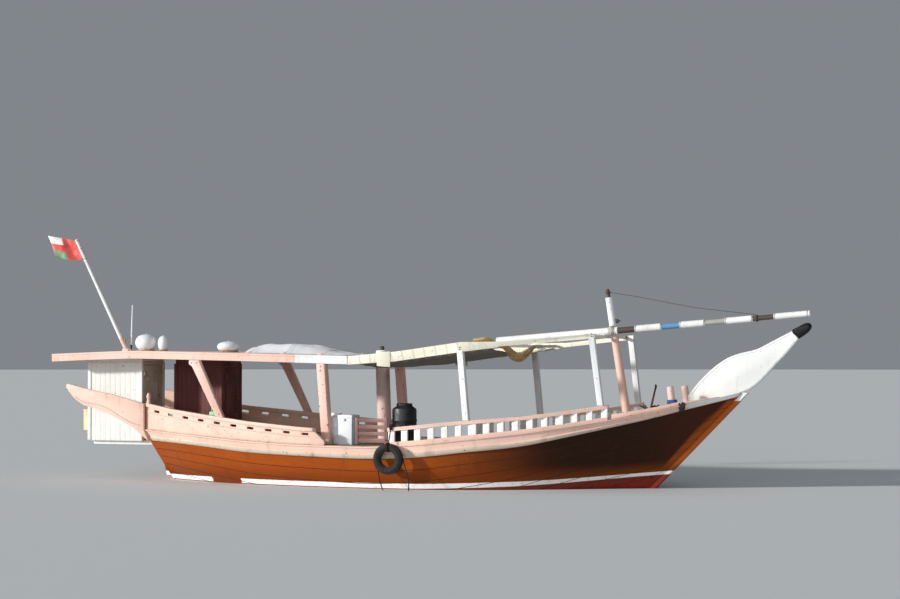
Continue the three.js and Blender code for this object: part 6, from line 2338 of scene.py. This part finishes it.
    def staff(self) -> None:
        """The flagstaff: pink at its foot, white above, with a round truck, halyard and foot block."""
        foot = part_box("flagstaff")[0].z
        marks = [foot, 3.15, 3.152, 4.2, self.staff_head[2] - 0.04]
        path = [self.on_staff(z)[0] for z in marks]
        radii = [self.on_staff(z)[1] for z in marks]
        parts = [banded("staff_pole", path, radii, [PINK_UP, PINK_UP, WHITE_UP, WHITE_UP], 20)]
        lean = Vector(self.staff_head) - Vector(self.staff_foot)
        place = Matrix.Translation(Vector(self.staff_head) - lean.normalized() * 0.05)
        place = place @ lean.to_track_quat("Z", "Y").to_matrix().to_4x4()
        truck = [(0.03, -0.01), (0.045, 0.0), (0.048, 0.014), (0.042, 0.028), (0.02, 0.04), (0.002, 0.043)]
        parts.append(WHITE.on(spun("staff_truck", truck, place, 24)))
        x, y, z = self.on_staff(foot)[0]
        step = block("staff_step", (x - 0.09, y - 0.08, z - 0.03), (x + 0.07, y + 0.08, z + 0.07), 0.012)
        parts.append(PINK.on(step))
        line = []
        for z in spread(5.36, 3.05, 30):
            middle, r = self.on_staff(z)
            line.append((middle[0] + (r + 0.006), middle[1] - 0.006 + 0.006 * math.sin(9 * z), z + 0.01))
        parts.append(PALE_ROPE.on(rod("halyard", line, 0.003, 6)))
        cleat, r = self.on_staff(3.08)
        horn = block("staff_cleat", (cleat[0] + r, -1.012, 3.02), (cleat[0] + r + 0.03, -0.988, 3.16), 0.008)
        parts.append(BRONZE.on(horn))
        stand_in("flagstaff", parts)

    def flag(self) -> None:
        """The flag: a thin sheet that flies aft in waves, tied to the staff at two corners."""
        rows = []
        for u in spread(0, 1, 90):
            row = []
            for v in spread(0, 1, 50):
                z = mix(*self.flag_z, v)
                middle, radius = self.on_staff(z)
                lift = mix(*self.flag_rise, v) * u
                sway = 0.055 * smooth(u / 0.35) * math.sin(8.2 * u - 1.6 * v + 0.4)
                sway += 0.018 * u * math.sin(17 * u + 4 * v)
                droop = 0.03 * math.sin(math.pi * u) * (1 - v)
                reach = self.flag_long * (u - 0.022 * smooth(u) * (1 - math.cos(6 * u)))
                row.append((middle[0] - radius - 0.012 - reach, middle[1] + sway, z + lift - droop))
            rows.append(row)
        obj = sheeted("flag_cloth_sheet", rows)
        thicken(obj, 0.0015)
        FLAG.on(soften(obj, 80))
        hung(obj, replaces=["flag"])
        ties = []
        for z in (self.flag_z[0] + 0.012, self.flag_z[1] - 0.012):
            middle, radius = self.on_staff(z)
            size = (radius + 0.012, radius + 0.004)
            centre = (middle[0] - 0.008, middle[1], z)
            ties.append(PALE_ROPE.on(turns_round("flag_tie", centre, (1, 0, 0), (0, 1, 0), size, 2.0, 0.003)))
        tie = hung(joined("flag_ties", ties))

    def whip(self) -> None:
        """A thin whip aerial on a sprung foot."""
        x, y, top = self.aerial
        foot = ROOF.z(x)
        profile = [(0.045, -0.002), (0.045, 0.012), (0.02, 0.02), (0.016, 0.06), (0.02, 0.065)]
        for i in range(8):
            profile += [(0.02, 0.07 + 0.012 * i), (0.016, 0.076 + 0.012 * i)]
        profile += [(0.008, 0.17), (0.002, 0.171)]
        base = BLACK.on(spun("aerial_foot", profile, Matrix.Translation((x, y, foot)), 20))
        line = [(x + 0.03 * s, y, mix(foot + 0.16, top, s)) for s in spread(0, 1, 8)]
        whip = WHITE_UP.on(rod("aerial_whip", line, [mix(0.018, 0.013, s) for s in spread(0, 1, 8)], 10))
        hung(joined("roof_aerial", [base, whip]))

    def build(self) -> None:
        """Builds the load from forward to aft."""
        self.tarp()
        self.net_floats()
        self.staff()
        self.flag()
        self.whip()


# Cabins and the helm


@dataclass(frozen=True)
class Hut:
    """A boarded cabin: its outside, its doorway in the forward face and its finish."""

    node: str
    x: Pair
    y: Pair
    z: Pair
    door_y: Pair
    door_z: Pair
    knob_y: float


@dataclass
class Cabins:
    """The heads cabin over the stern, the wheelhouse and the helm."""

    heads: Hut = Hut("heads", (-7.86, -6.49), (-1.3, -0.35), (0.85, 2.64), (-1.2, -0.56), (1.18, 2.54), -0.64)
    house: Hut = Hut(
        "wheelhouse", (-6.12, -4.93), (-0.45, 0.45), (1.09, 2.6), (-0.3, 0.32), (1.11, 2.48), 0.24
    )
    board_wide: float = 0.125
    board_proud: float = 0.009
    door_boards: int = 5
    locker_y: float = -0.88
    locker_z: Pair = (1.07, 1.54)
    helm_face_x: float = -5.49
    helm_y: float = 0.9
    helm_hub_z: float = 1.95
    helm_radius: float = 0.31

    def cladding(self, hut: Hut, finish: Finish) -> list[Piece]:
        """Upright boards on all faces but the doorway's, corner posts, head rails and boards to the roof."""
        low, high = hut.z[0] + 0.012, hut.z[1] - 0.05
        places, sizes = [], []
        thick = self.board_proud * 2

        def row(start: float, end: float, at: float, along_x: bool) -> None:
            """Boards side by side along one face."""
            count = round((end - start) / self.board_wide)
            wide = (end - start) / count
            for i in range(count):
                middle = start + (i + 0.5) * wide
                if along_x:
                    places.append((middle, at, low))
                    sizes.append((wide - 0.004, thick, high - low))
                else:
                    places.append((at, middle, low))
                    sizes.append((thick, wide - 0.004, high - low))

        for y in hut.y:
            row(hut.x[0] + 0.04, hut.x[1] - 0.04, y, True)
        row(hut.y[0] + 0.04, hut.y[1] - 0.04, hut.x[0], False)
        pattern = block("board_pattern", (-0.5, -0.5, 0.0), (0.5, 0.5, 1.0), 0.03, 1)
        boards = repeated("cabin_boards", pattern, places, finish, sizes=sizes)
        trim = []
        for x, aft, fore in ((hut.x[0], 0.03, 0.05), (hut.x[1], 0.05, 0.012)):
            for y, right, left in ((hut.y[0], 0.03, 0.05), (hut.y[1], 0.05, 0.03)):
                lows, highs = (x - aft, y - right, low), (x + fore, y + left, high + 0.03)
                trim.append(finish.on(block("corner_post", lows, highs, 0.006)))
        for start, end, across in self.over_boards(hut):
            tops = [(x, ROOF.z(x) - 0.03) for x in (end[0], start[0])]
            if across:
                board = block("over_board", (start[0], start[1], high), (end[0], end[1], tops[0][1]))
            else:
                board = slab("over_board", [(start[0], high), (end[0], high), *tops], (start[1], end[1]))
            trim.append(finish.on(eased(board, 0.004, 1)))
        for right, left in ((hut.y[0] - 0.022, hut.y[0]), (hut.y[1], hut.y[1] + 0.022)):
            lows, highs = (hut.x[0], right, high - 0.05), (hut.x[1], left, high + 0.02)
            trim.append(finish.on(block("head_rail", lows, highs, 0.005)))
        return [boards, *trim]

    def over_boards(self, hut: Hut) -> list[tuple[Pair, Pair, bool]]:
        """The boards that close the cabin up to the roof: corners in plan, and if it lies across."""
        (x0, x1), (y0, y1), thick = hut.x, hut.y, 0.022
        sides = [((x0, y0 - 0.004), (x1, y0 + thick), False), ((x0, y1 - thick), (x1, y1 + 0.004), False)]
        ends = [((x0 - 0.004, y0), (x0 + thick, y1), True), ((x1 - thick, y0), (x1 - 0.002, y1), True)]
        return [*sides, *ends]

    def door(self, hut: Hut, finish: Finish, body: str) -> None:
        """The door with its ledges, the beads between its boards and its knob."""
        node = f"{hut.node}_door"
        panel = finish.on(copied(node, f"{node}_panel", 0.004))
        face = hut.x[1] + 0.008
        parts = [panel]
        low, high = hut.door_z[0] + 0.02, hut.door_z[1] - 0.02
        y0, y1 = hut.door_y[0] + 0.1, hut.door_y[1] - 0.02
        for z in (low + 0.28, high - 0.28):
            bar = block("door_ledge", (face - 0.002, y0, z - 0.045), (face + 0.012, y1, z + 0.045), 0.004)
            parts.append(finish.on(bar))
        for i in range(1, self.door_boards):
            y = mix(hut.door_y[0] + 0.01, hut.door_y[1] - 0.01, i / self.door_boards)
            bead = block("door_bead", (face - 0.003, y - 0.004, low), (face + 0.0025, y + 0.004, high))
            parts.append(finish.on(bead))
        knob = [(0.02, 0.0), (0.012, 0.008), (0.012, 0.02), (0.022, 0.03), (0.024, 0.042), (0.016, 0.052)]
        knob.append((0.002, 0.054))
        turn = Matrix.Rotation(math.radians(90), 4, "Y")
        place = Matrix.Translation((face, hut.knob_y, sum(hut.door_z) / 2)) @ turn
        parts.append(BRONZE.on(spun("door_knob", knob, place, 24)))
        stand_in(node, parts, body=body)

    def heads_cabin(self) -> None:
        """The heads cabin with its boards, the yellowed locker on its quarter and its bearers."""

        def part_of(face: bpy.types.MeshPolygon) -> int:
            """The yellowed locker on the after side, and the forward wall in a darker cream as painted shade.
            """
            x, y, z = face.center
            if x < self.heads.x[0] - 0.012 and y < self.locker_y and self.locker_z[0] < z < self.locker_z[1]:
                return 1
            # Painted shade: faces turned forward, away from the light, get the darker cream.
            return 2 * int(face.normal.x > 0.9 and x > self.heads.x[1] - 0.02)

        shell = copied("heads_cabin", "heads_shell", 0.005)
        finished(shell, [CREAM, YELLOWED, SHADE_CREAM], part_of)
        parts = [shell, *self.cladding(self.heads, CREAM)]
        lid = block("locker_lid", (-8.03, -1.3, 1.53), (-7.875, -0.89, 1.55), 0.006)
        parts.append(YELLOWED.on(lid))
        stand_in("heads_cabin", parts)
        # Painted shade: the door in the forward wall is in the darker cream too.
        self.door(self.heads, SHADE_CREAM, "heads_door")

    def wheelhouse(self) -> None:
        """The wheelhouse cabin in dark red-brown boards."""
        shell = MAROON.on(copied("wheelhouse", "wheelhouse_shell", 0.005))
        parts = [shell, *self.cladding(self.house, MAROON)]
        stand_in("wheelhouse", parts)
        self.door(self.house, MAROON, "wheelhouse_door")

    def helm(self) -> None:
        """The helm stand with a small plain compass, and the turned wheel on its after face."""
        stand = PINK_UP.on(copied("helm_stand", "helm_box", 0.012))
        x0, x1 = self.helm_face_x, -5.25
        y, top = self.helm_y, 2.08
        shelf = block("helm_shelf", (x0 - 0.01, y - 0.17, top), (x1 + 0.02, y + 0.17, top + 0.025), 0.008)
        place = Matrix.Translation((x1 - 0.11, y, top + 0.025))
        bowl = [(0.07, 0.0), (0.075, 0.02), (0.06, 0.035), (0.056, 0.06), (0.045, 0.085), (0.024, 0.102)]
        compass = BLACK.on(spun("compass_bowl", [*bowl, (0.002, 0.107)], place, 32))
        side = y - 0.12
        lever = rod("throttle", [(x1 - 0.08, side, top + 0.02), (x1 - 0.11, side, top + 0.13)], 0.007, 10)
        profile = [(0.018 * math.cos(t), 0.018 * math.sin(t)) for t in spread(-1.4, 1.5, 8)]
        ball = spun("throttle_ball", profile, Matrix.Translation((x1 - 0.11, side, top + 0.14)), 16)
        parts = [stand, PINK.on(shelf), compass, BRONZE.on(lever), BLACK.on(ball)]
        stand_in("helm_stand", parts)
        self.wheel()

    def wheel(self) -> None:
        """The helm wheel: turned spokes with grips, a jointed rim and a capped hub."""
        middle = Matrix.Translation((self.helm_face_x - 0.06, self.helm_y, self.helm_hub_z))
        place = middle @ Matrix.Rotation(math.radians(-90), 4, "Y")
        section = [(0.045, -0.013), (0.042, -0.016), (0.008, -0.016), (0.005, -0.013), (0.005, 0.013)]
        section += [(0.008, 0.016), (0.042, 0.016), (0.045, 0.013), (0.045, -0.013)]
        rim = [(self.helm_radius - inwards, z) for inwards, z in section]
        parts = [OILED.on(open_ring("wheel_rim", rim, place, 72))]
        section = [(0.032, -0.018), (0.018, -0.018), (0.018, 0.018), (0.032, 0.018), (0.032, -0.018)]
        band = [(self.helm_radius - inwards, z) for inwards, z in section]
        parts.append(BRONZE.on(open_ring("wheel_band", band, place, 72)))
        hub = [(0.042, -0.06), (0.042, -0.02), (0.055, -0.016), (0.055, 0.016), (0.04, 0.024), (0.03, 0.034)]
        parts.append(OILED.on(spun("wheel_hub", [*hub, (0.002, 0.036)], place, 32)))
        spoke = [(0.012, 0.03), (0.014, 0.07), (0.01, 0.1), (0.015, 0.17), (0.01, 0.22), (0.014, 0.262)]
        spoke += [(0.014, 0.306), (0.009, 0.318), (0.013, 0.335), (0.0145, 0.35), (0.011, 0.364)]
        spoke.append((0.002, 0.369))
        for i in range(6):
            out = Matrix.Rotation(2 * math.pi * i / 6, 4, "X")
            parts.append(OILED.on(spun("wheel_spoke", spoke, middle @ out, 14)))
        stand_in("helm_wheel", parts, body="helm")

    def build(self) -> None:
        """Builds the cabins, then the helm."""
        self.heads_cabin()
        self.wheelhouse()
        self.helm()


YELLOWED = PaintedWood("yellowed_paint", "cream_paint", colour=paint("e9d8ab"), streaks=0.5, wear=0.5)
# Painted shade: a greyer cream for the heads cabin's forward wall and door, which face away from the light.
# Its streaks are dirt.
SHADE_CREAM = PaintedWood(
    "weathered_cream_paint", "cream_paint", colour=paint("c9bfae"), run=(9, 9, 0.8), streaks=0.6
)
OILED = BareBoards("oiled_wood", "varnished_wood", light=paint("a5652f"), dark=paint("6a3a1b"), run=(6, 6, 6))


# Gear on the deck


@dataclass
class DeckGear:
    """The boarding gate, the chest, drums, can and anchor."""

    gate_pin: Pair = (0.02, -2.49)
    chest_aft: Pair = (-1.29, -2.06)
    chest_fore: Pair = (-0.98, -1.68)
    chest_rim: float = 1.445
    drum: tuple[float, float, float, float] = (-1.51, -1.69, 0.19, 0.66)
    barrel: tuple[float, float, float, float] = (-0.23, -1.0, 0.265, 0.86)
    anchor_at: Pair = (5.02, -0.43)
    shank: Point = (0.16, -0.03, 0.52)
    fluke_reach: float = 0.215
    palm: tuple[Point, ...] = (
        # how far past the tip, half the width and half the thickness
        (-0.05, 0.012, 0.008),
        (-0.03, 0.04, 0.008),
        (0.0, 0.035, 0.006),
        (0.035, 0.004, 0.002),
    )

    def gate(self) -> None:
        """The slatted gate with its nails."""
        gate = SLATE.on(copied("boarding_gate", "gate_slats", 0.005))
        low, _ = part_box("boarding_gate")
        heights = [low.z + 0.075 + i * 0.131 for i in range(4)]
        places, outs = [], []
        for x in (low.x + 0.03, -0.02):
            for z in heights:
                for sign in (-1, 1):
                    places.append((x, self.gate_pin[1] + sign * 0.02, z))
                    outs.append((0.0, float(sign), 0.0))
        nails = repeated("gate_nails", stud(0.007, 0.002, 6), places, IRON, outs)
        stand_in("boarding_gate", [gate, nails], body="boarding_gate")

    def chest(self) -> None:
        """A moulded chest with a band, handles and a latch, and its lid with a raised panel."""
        parts = [WHITE_PLASTIC.on(copied("chest", "chest_shell", 0.008))]
        (x0, y0), (x1, y1), rim = self.chest_aft, self.chest_fore, self.chest_rim
        lows, highs = (x0 - 0.006, y0 - 0.006, rim - 0.075), (x1 + 0.006, y0 + 0.004, rim - 0.045)
        parts.append(WHITE_PLASTIC.on(block("chest_band", lows, highs, 0.003)))
        for x, out in ((x0, x0 - 0.03), (x1, x1 + 0.03)):
            path = [(x, y0 + 0.12, rim - 0.12), (out, y0 + 0.14, rim - 0.13)]
            path += [(out, y1 - 0.14, rim - 0.13), (x, y1 - 0.12, rim - 0.12)]
            parts.append(WHITE_PLASTIC.on(rod("chest_handle", rounded_path(path, 6), 0.008, 10)))
        latch = block("chest_latch", (-1.155, y0 - 0.018, rim - 0.06), (-1.115, y0, rim - 0.012), 0.004)
        parts.append(GREY_BAND.on(latch))
        stand_in("chest", parts, word="moulded")
        lid = WHITE_PLASTIC.on(copied("chest_lid", "lid_shell", 0.008))
        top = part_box("chest_lid")[1].z
        panel = block("lid_panel", (x0 + 0.03, y0 + 0.03, top - 0.004), (x1 - 0.03, y1 - 0.05, top + 0.008))
        lid_parts = [lid, WHITE_PLASTIC.on(eased(panel, 0.006))]
        stand_in("chest_lid", lid_parts, "moulded", "chest_lid")

    def turned_drum(self, node: str, sizes: tuple[float, float, float, float], finish: Finish) -> None:
        """A moulded drum with rolling hoops, shoulders and a ribbed lid."""
        x, y, radius, high = sizes
        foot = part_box(node)[0].z
        profile = [(radius * 0.93, 0.0), (radius * 0.99, 0.02), (radius * 0.985, 0.05)]
        for share in (0.3, 0.58):
            z = high * share
            profile += [(radius * 0.985, z - 0.03), (radius * 1.02, z - 0.014), (radius * 1.02, z + 0.014)]
            profile += [(radius * 0.985, z + 0.03)]
        head = [(0.985, 0.83), (0.95, 0.87), (0.66, 0.93), (0.63, 0.94), (0.64, 0.95), (0.64, 0.99)]
        head += [(0.6, 1.0), (0.5, 1.0), (0.48, 0.99)]
        profile += [(radius * out, high * up) for out, up in head]
        profile.append((0.002, high * 0.99))
        body = finish.on(spun(f"{node}_body", profile, Matrix.Translation((x, y, foot)), 48))
        turns = [2 * math.pi * i / 24 for i in range(24)]
        outs = [(math.cos(turn), math.sin(turn), 0.0) for turn in turns]
        ribs = [(x + radius * 0.64 * a, y + radius * 0.64 * b, foot + high * 0.955) for a, b, _ in outs]
        rib = block("rib_pattern", (0.0, -0.004, -0.003), (0.022, 0.004, 0.003), 0.001, 1)
        grip = repeated("lid_ribs", rib, ribs, finish, outs)
        stand_in(node, [body, grip], word="moulded")

    def can(self) -> None:
        """A tall can with raised ribs, a grip and a screw cap."""
        low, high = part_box("can")
        body_top = high.z - 0.1
        outline = [(low.x, low.y), (high.x, low.y), (high.x, high.y), (low.x, high.y)]
        centre = Vector(((low.x + high.x) / 2, (low.y + high.y) / 2))
        rings = []
        for z, share in ((low.z, 0.97), (low.z + 0.02, 1.0), (body_top - 0.03, 1.0), (body_top, 0.93)):
            drawn_in = [centre + (Vector(corner) - centre) * share for corner in outline]
            rings.append([(corner.x, corner.y, z) for corner in drawn_in])
        body = GREEN_PLASTIC.on(eased(lofted("can_body", rings), 0.018, 3))
        dents = []
        for y in (low.y - 0.001, high.y + 0.001):
            for lean in (-1, 1):
                x0, x1 = centre.x - 0.07 * lean, centre.x + 0.07 * lean
                path = [(x0, y, low.z + 0.12), (x1, y, body_top - 0.14)]
                dents.append(GREEN_PLASTIC.on(rod("can_rib", path, 0.006, 8)))
        grip = [(low.x + 0.03, centre.y, body_top - 0.006), (low.x + 0.035, centre.y, body_top + 0.05)]
        grip += [(low.x + 0.06, centre.y, body_top + 0.07), (high.x - 0.1, centre.y, body_top + 0.07)]
        grip += [(high.x - 0.075, centre.y, body_top + 0.04), (high.x - 0.07, centre.y, body_top - 0.006)]
        handle = GREEN_PLASTIC.on(rod("can_grip", rounded_path(grip, 5), 0.012, 12))
        neck = [(0.032, -0.004), (0.03, 0.03), (0.036, 0.032), (0.036, 0.07), (0.032, 0.076), (0.002, 0.076)]
        place = Matrix.Translation((high.x - 0.04, centre.y, body_top))
        cap = WHITE_PLASTIC.on(spun("can_cap", neck, place, 28))
        stand_in("can", [body, handle, cap, *dents], word="moulded")

    def anchor(self) -> None:
        """The grapnel on the foredeck: rusted shank and flukes with flattened tips, and its ring."""
        body = IRON.on(copied("anchor", "anchor_iron", 0.004))
        x, y = self.anchor_at
        crown = Vector((x, y, HULL.deck_z(x) + 0.06))
        head = crown + Vector(self.shank)
        parts = [body]
        lean = (head - crown).normalized()
        place = placed(head - lean * 0.03, 90, "Y")
        parts.append(IRON.on(open_ring("anchor_ring", bead_round(0.045, 0.008), place, 32)))
        for i in range(4):
            turn = math.pi / 4 + i * math.pi / 2
            tip = crown + Vector((self.fluke_reach * math.cos(turn), self.fluke_reach * math.sin(turn), 0.1))
            out = (tip - crown).normalized()
            side = Vector((-math.sin(turn), math.cos(turn), 0.0))
            up = out.cross(side)
            rings = []
            for along, wide, thick in self.palm:
                middle = tip + out * along
                corners = ((-1, -1), (1, -1), (1, 1), (-1, 1))
                rings.append([tuple(middle + side * (a * wide) + up * (b * thick)) for a, b in corners])
            parts.append(IRON.on(eased(lofted("fluke_palm", rings), 0.002, 1)))
        stand_in("anchor", parts, word="forged")

    def build(self) -> None:
        """Builds the gear from aft forward."""
        self.gate()
        self.chest()
        self.turned_drum("water_drum", self.drum, WHITE_PLASTIC)
        self.turned_drum("barrel", self.barrel, NAVY_PLASTIC)
        self.can()
        self.anchor()


# Steering and screw


@dataclass
class SternGear:
    """The rudder and the propeller on its shaft."""

    blade_tone: float = 0.45

    def build(self) -> None:
        """The rudder's varnished planks, and the cast screw with its blades smoothed."""
        blade = VARNISH.on(HULL.told(copied("rudder", "rudder_blade", 0.006)))
        store(blade, "tone", [self.blade_tone] * len(blade.data.vertices))
        hung(blade, "rudder", replaces=["rudder"])
        screw = BRONZE.on(copied("propeller", "propeller_cast", 0.003))
        hung(screw, "propeller", replaces=["propeller"])


# Small fittings


@dataclass
class Fittings:
    """The fairlead on the starboard bow, and the blue rope at the bitt's foot."""

    lead_x: float = 5.79
    lead_z: Pair = (1.61, 1.8)
    bitt_at: Pair = (5.56, -0.56)

    def fairlead(self) -> None:
        """A dark fairlead over the edge: a cheek outside the wale, two horns and a roller."""
        x, (low, high) = self.lead_x, self.lead_z
        y = -(HULL.half(x) + 0.075)
        foot = [(-0.055, low), (0.045, low - 0.004)]
        horns = [(0.07, 0.03), (0.05, 0.0), (0.02, 0.035), (-0.03, 0.04), (-0.05, 0.0), (-0.075, 0.03)]
        cheek = [(x + out, z) for out, z in [*foot, *[(out, high - down) for out, down in horns]]]
        parts = [slab("lead_cheek", cheek, (y, y + 0.05), 0.012, 3)]
        arm = block("lead_arm", (x - 0.05, y + 0.03, high - 0.075), (x + 0.05, y + 0.2, high - 0.045))
        parts.append(eased(arm, 0.008))
        turn = Matrix.Rotation(math.radians(-90), 4, "X")
        roller = [(0.026, 0.0), (0.03, 0.008), (0.022, 0.05), (0.03, 0.092), (0.026, 0.1)]
        parts.append(spun("lead_roller", roller, Matrix.Translation((x, y + 0.06, high - 0.02)) @ turn, 20))
        hung(BLACK.on(joined("bow_fairlead", parts)))

    def blue_turns(self) -> None:
        """Turns of blue rope low on the starboard bitt."""
        x, y = self.bitt_at
        foot = (x - 0.015, y, HULL.deck_z(x) + 0.09)
        turns = turns_round("bitt_turns", foot, (1, 0, 0), (0, 1, 0), (0.092, 0.09), 5.0, 0.014)
        hung(BLUE_ROPE.on(turns))

    def build(self) -> None:
        """Builds the small fittings."""
        self.fairlead()
        self.blue_turns()


# Studio


@dataclass
class Studio:
    """A pale floor at the water's level, soft light and the camera."""

    camera_at: Point = (16.682, -40.263, 2.73)
    yaw: float = 22.0
    pitch: float = 1.647
    lens: float = 80.0
    sensor: float = 36.0
    floor_radius: float = 400.0

    def floor(self) -> None:
        """A plain floor where the water's face would be."""
        sides = 64
        obj = meshed("floor", turned(Matrix.Identity(4), self.floor_radius, 0.0, sides), [range(sides)])
        palette = Palette("floor_paper")
        palette.dress(Base_Color=paint("d5d9da"), Roughness=0.9)
        obj.data.materials.append(palette.material)

    def light(self, name: str, towards: Point, strength: float, angle: float, colour: Colour) -> None:
        """A soft distant light that shines from a direction.

        Args:
            name: The light's name.
            towards: The way from the boat to the light.
            strength: Its strength.
            angle: How wide it is in degrees, which softens its shadows.
            colour: Its colour.
        """
        lamp = bpy.data.lights.new(name, "SUN")
        lamp.energy = strength
        lamp.angle = math.radians(angle)
        lamp.color = colour
        linked(name, lamp).rotation_euler = Vector(towards).to_track_quat("Z", "Y").to_euler()

    def sky(self) -> None:
        """A pale even backdrop."""
        world = bpy.data.worlds.new("studio")
        world.use_nodes = True
        background = world.node_tree.nodes["Background"]
        background.inputs["Color"].default_value = (0.86, 0.92, 1.0, 1.0)
        background.inputs["Strength"].default_value = 0.26
        bpy.context.scene.world = world
        bpy.context.scene.view_settings.view_transform = "Standard"

    def camera(self) -> None:
        """The camera, at the height and bearing of a boat alongside."""
        lens = bpy.data.cameras.new("camera")
        lens.lens = self.lens
        lens.sensor_width = self.sensor
        lens.sensor_fit = "HORIZONTAL"
        lens.clip_end = 1500
        obj = linked("camera", lens)
        obj.location = self.camera_at
        obj.rotation_euler = (math.radians(90 + self.pitch), 0.0, math.radians(self.yaw))
        bpy.context.scene.camera = obj

    def build(self) -> None:
        """Sets up floor, lights and camera."""
        self.camera()
        self.floor()
        self.sky()
        self.light("key", (-0.72, -0.62, 0.27), 3.7, 4.0, (1.0, 0.98, 0.95))
        self.light("fill", (0.1, -0.98, 0.1), 1.0, 50.0, (0.9, 0.95, 1.0))


def main() -> None:
    """Builds the boat's looks round its frame, in order: camera and cord first."""
    logging.basicConfig(level=logging.INFO, format="%(name)s %(message)s")
    Studio().build()
    FenderGear().build()
    Planking().build()
    UpperWorks().build()
    Spars().build()
    ROOF.build()
    Awning().build()
    RoofLoad().build()
    Cabins().build()
    DeckGear().build()
    SternGear().build()
    Fittings().build()


if __name__ == "__main__":
    main()
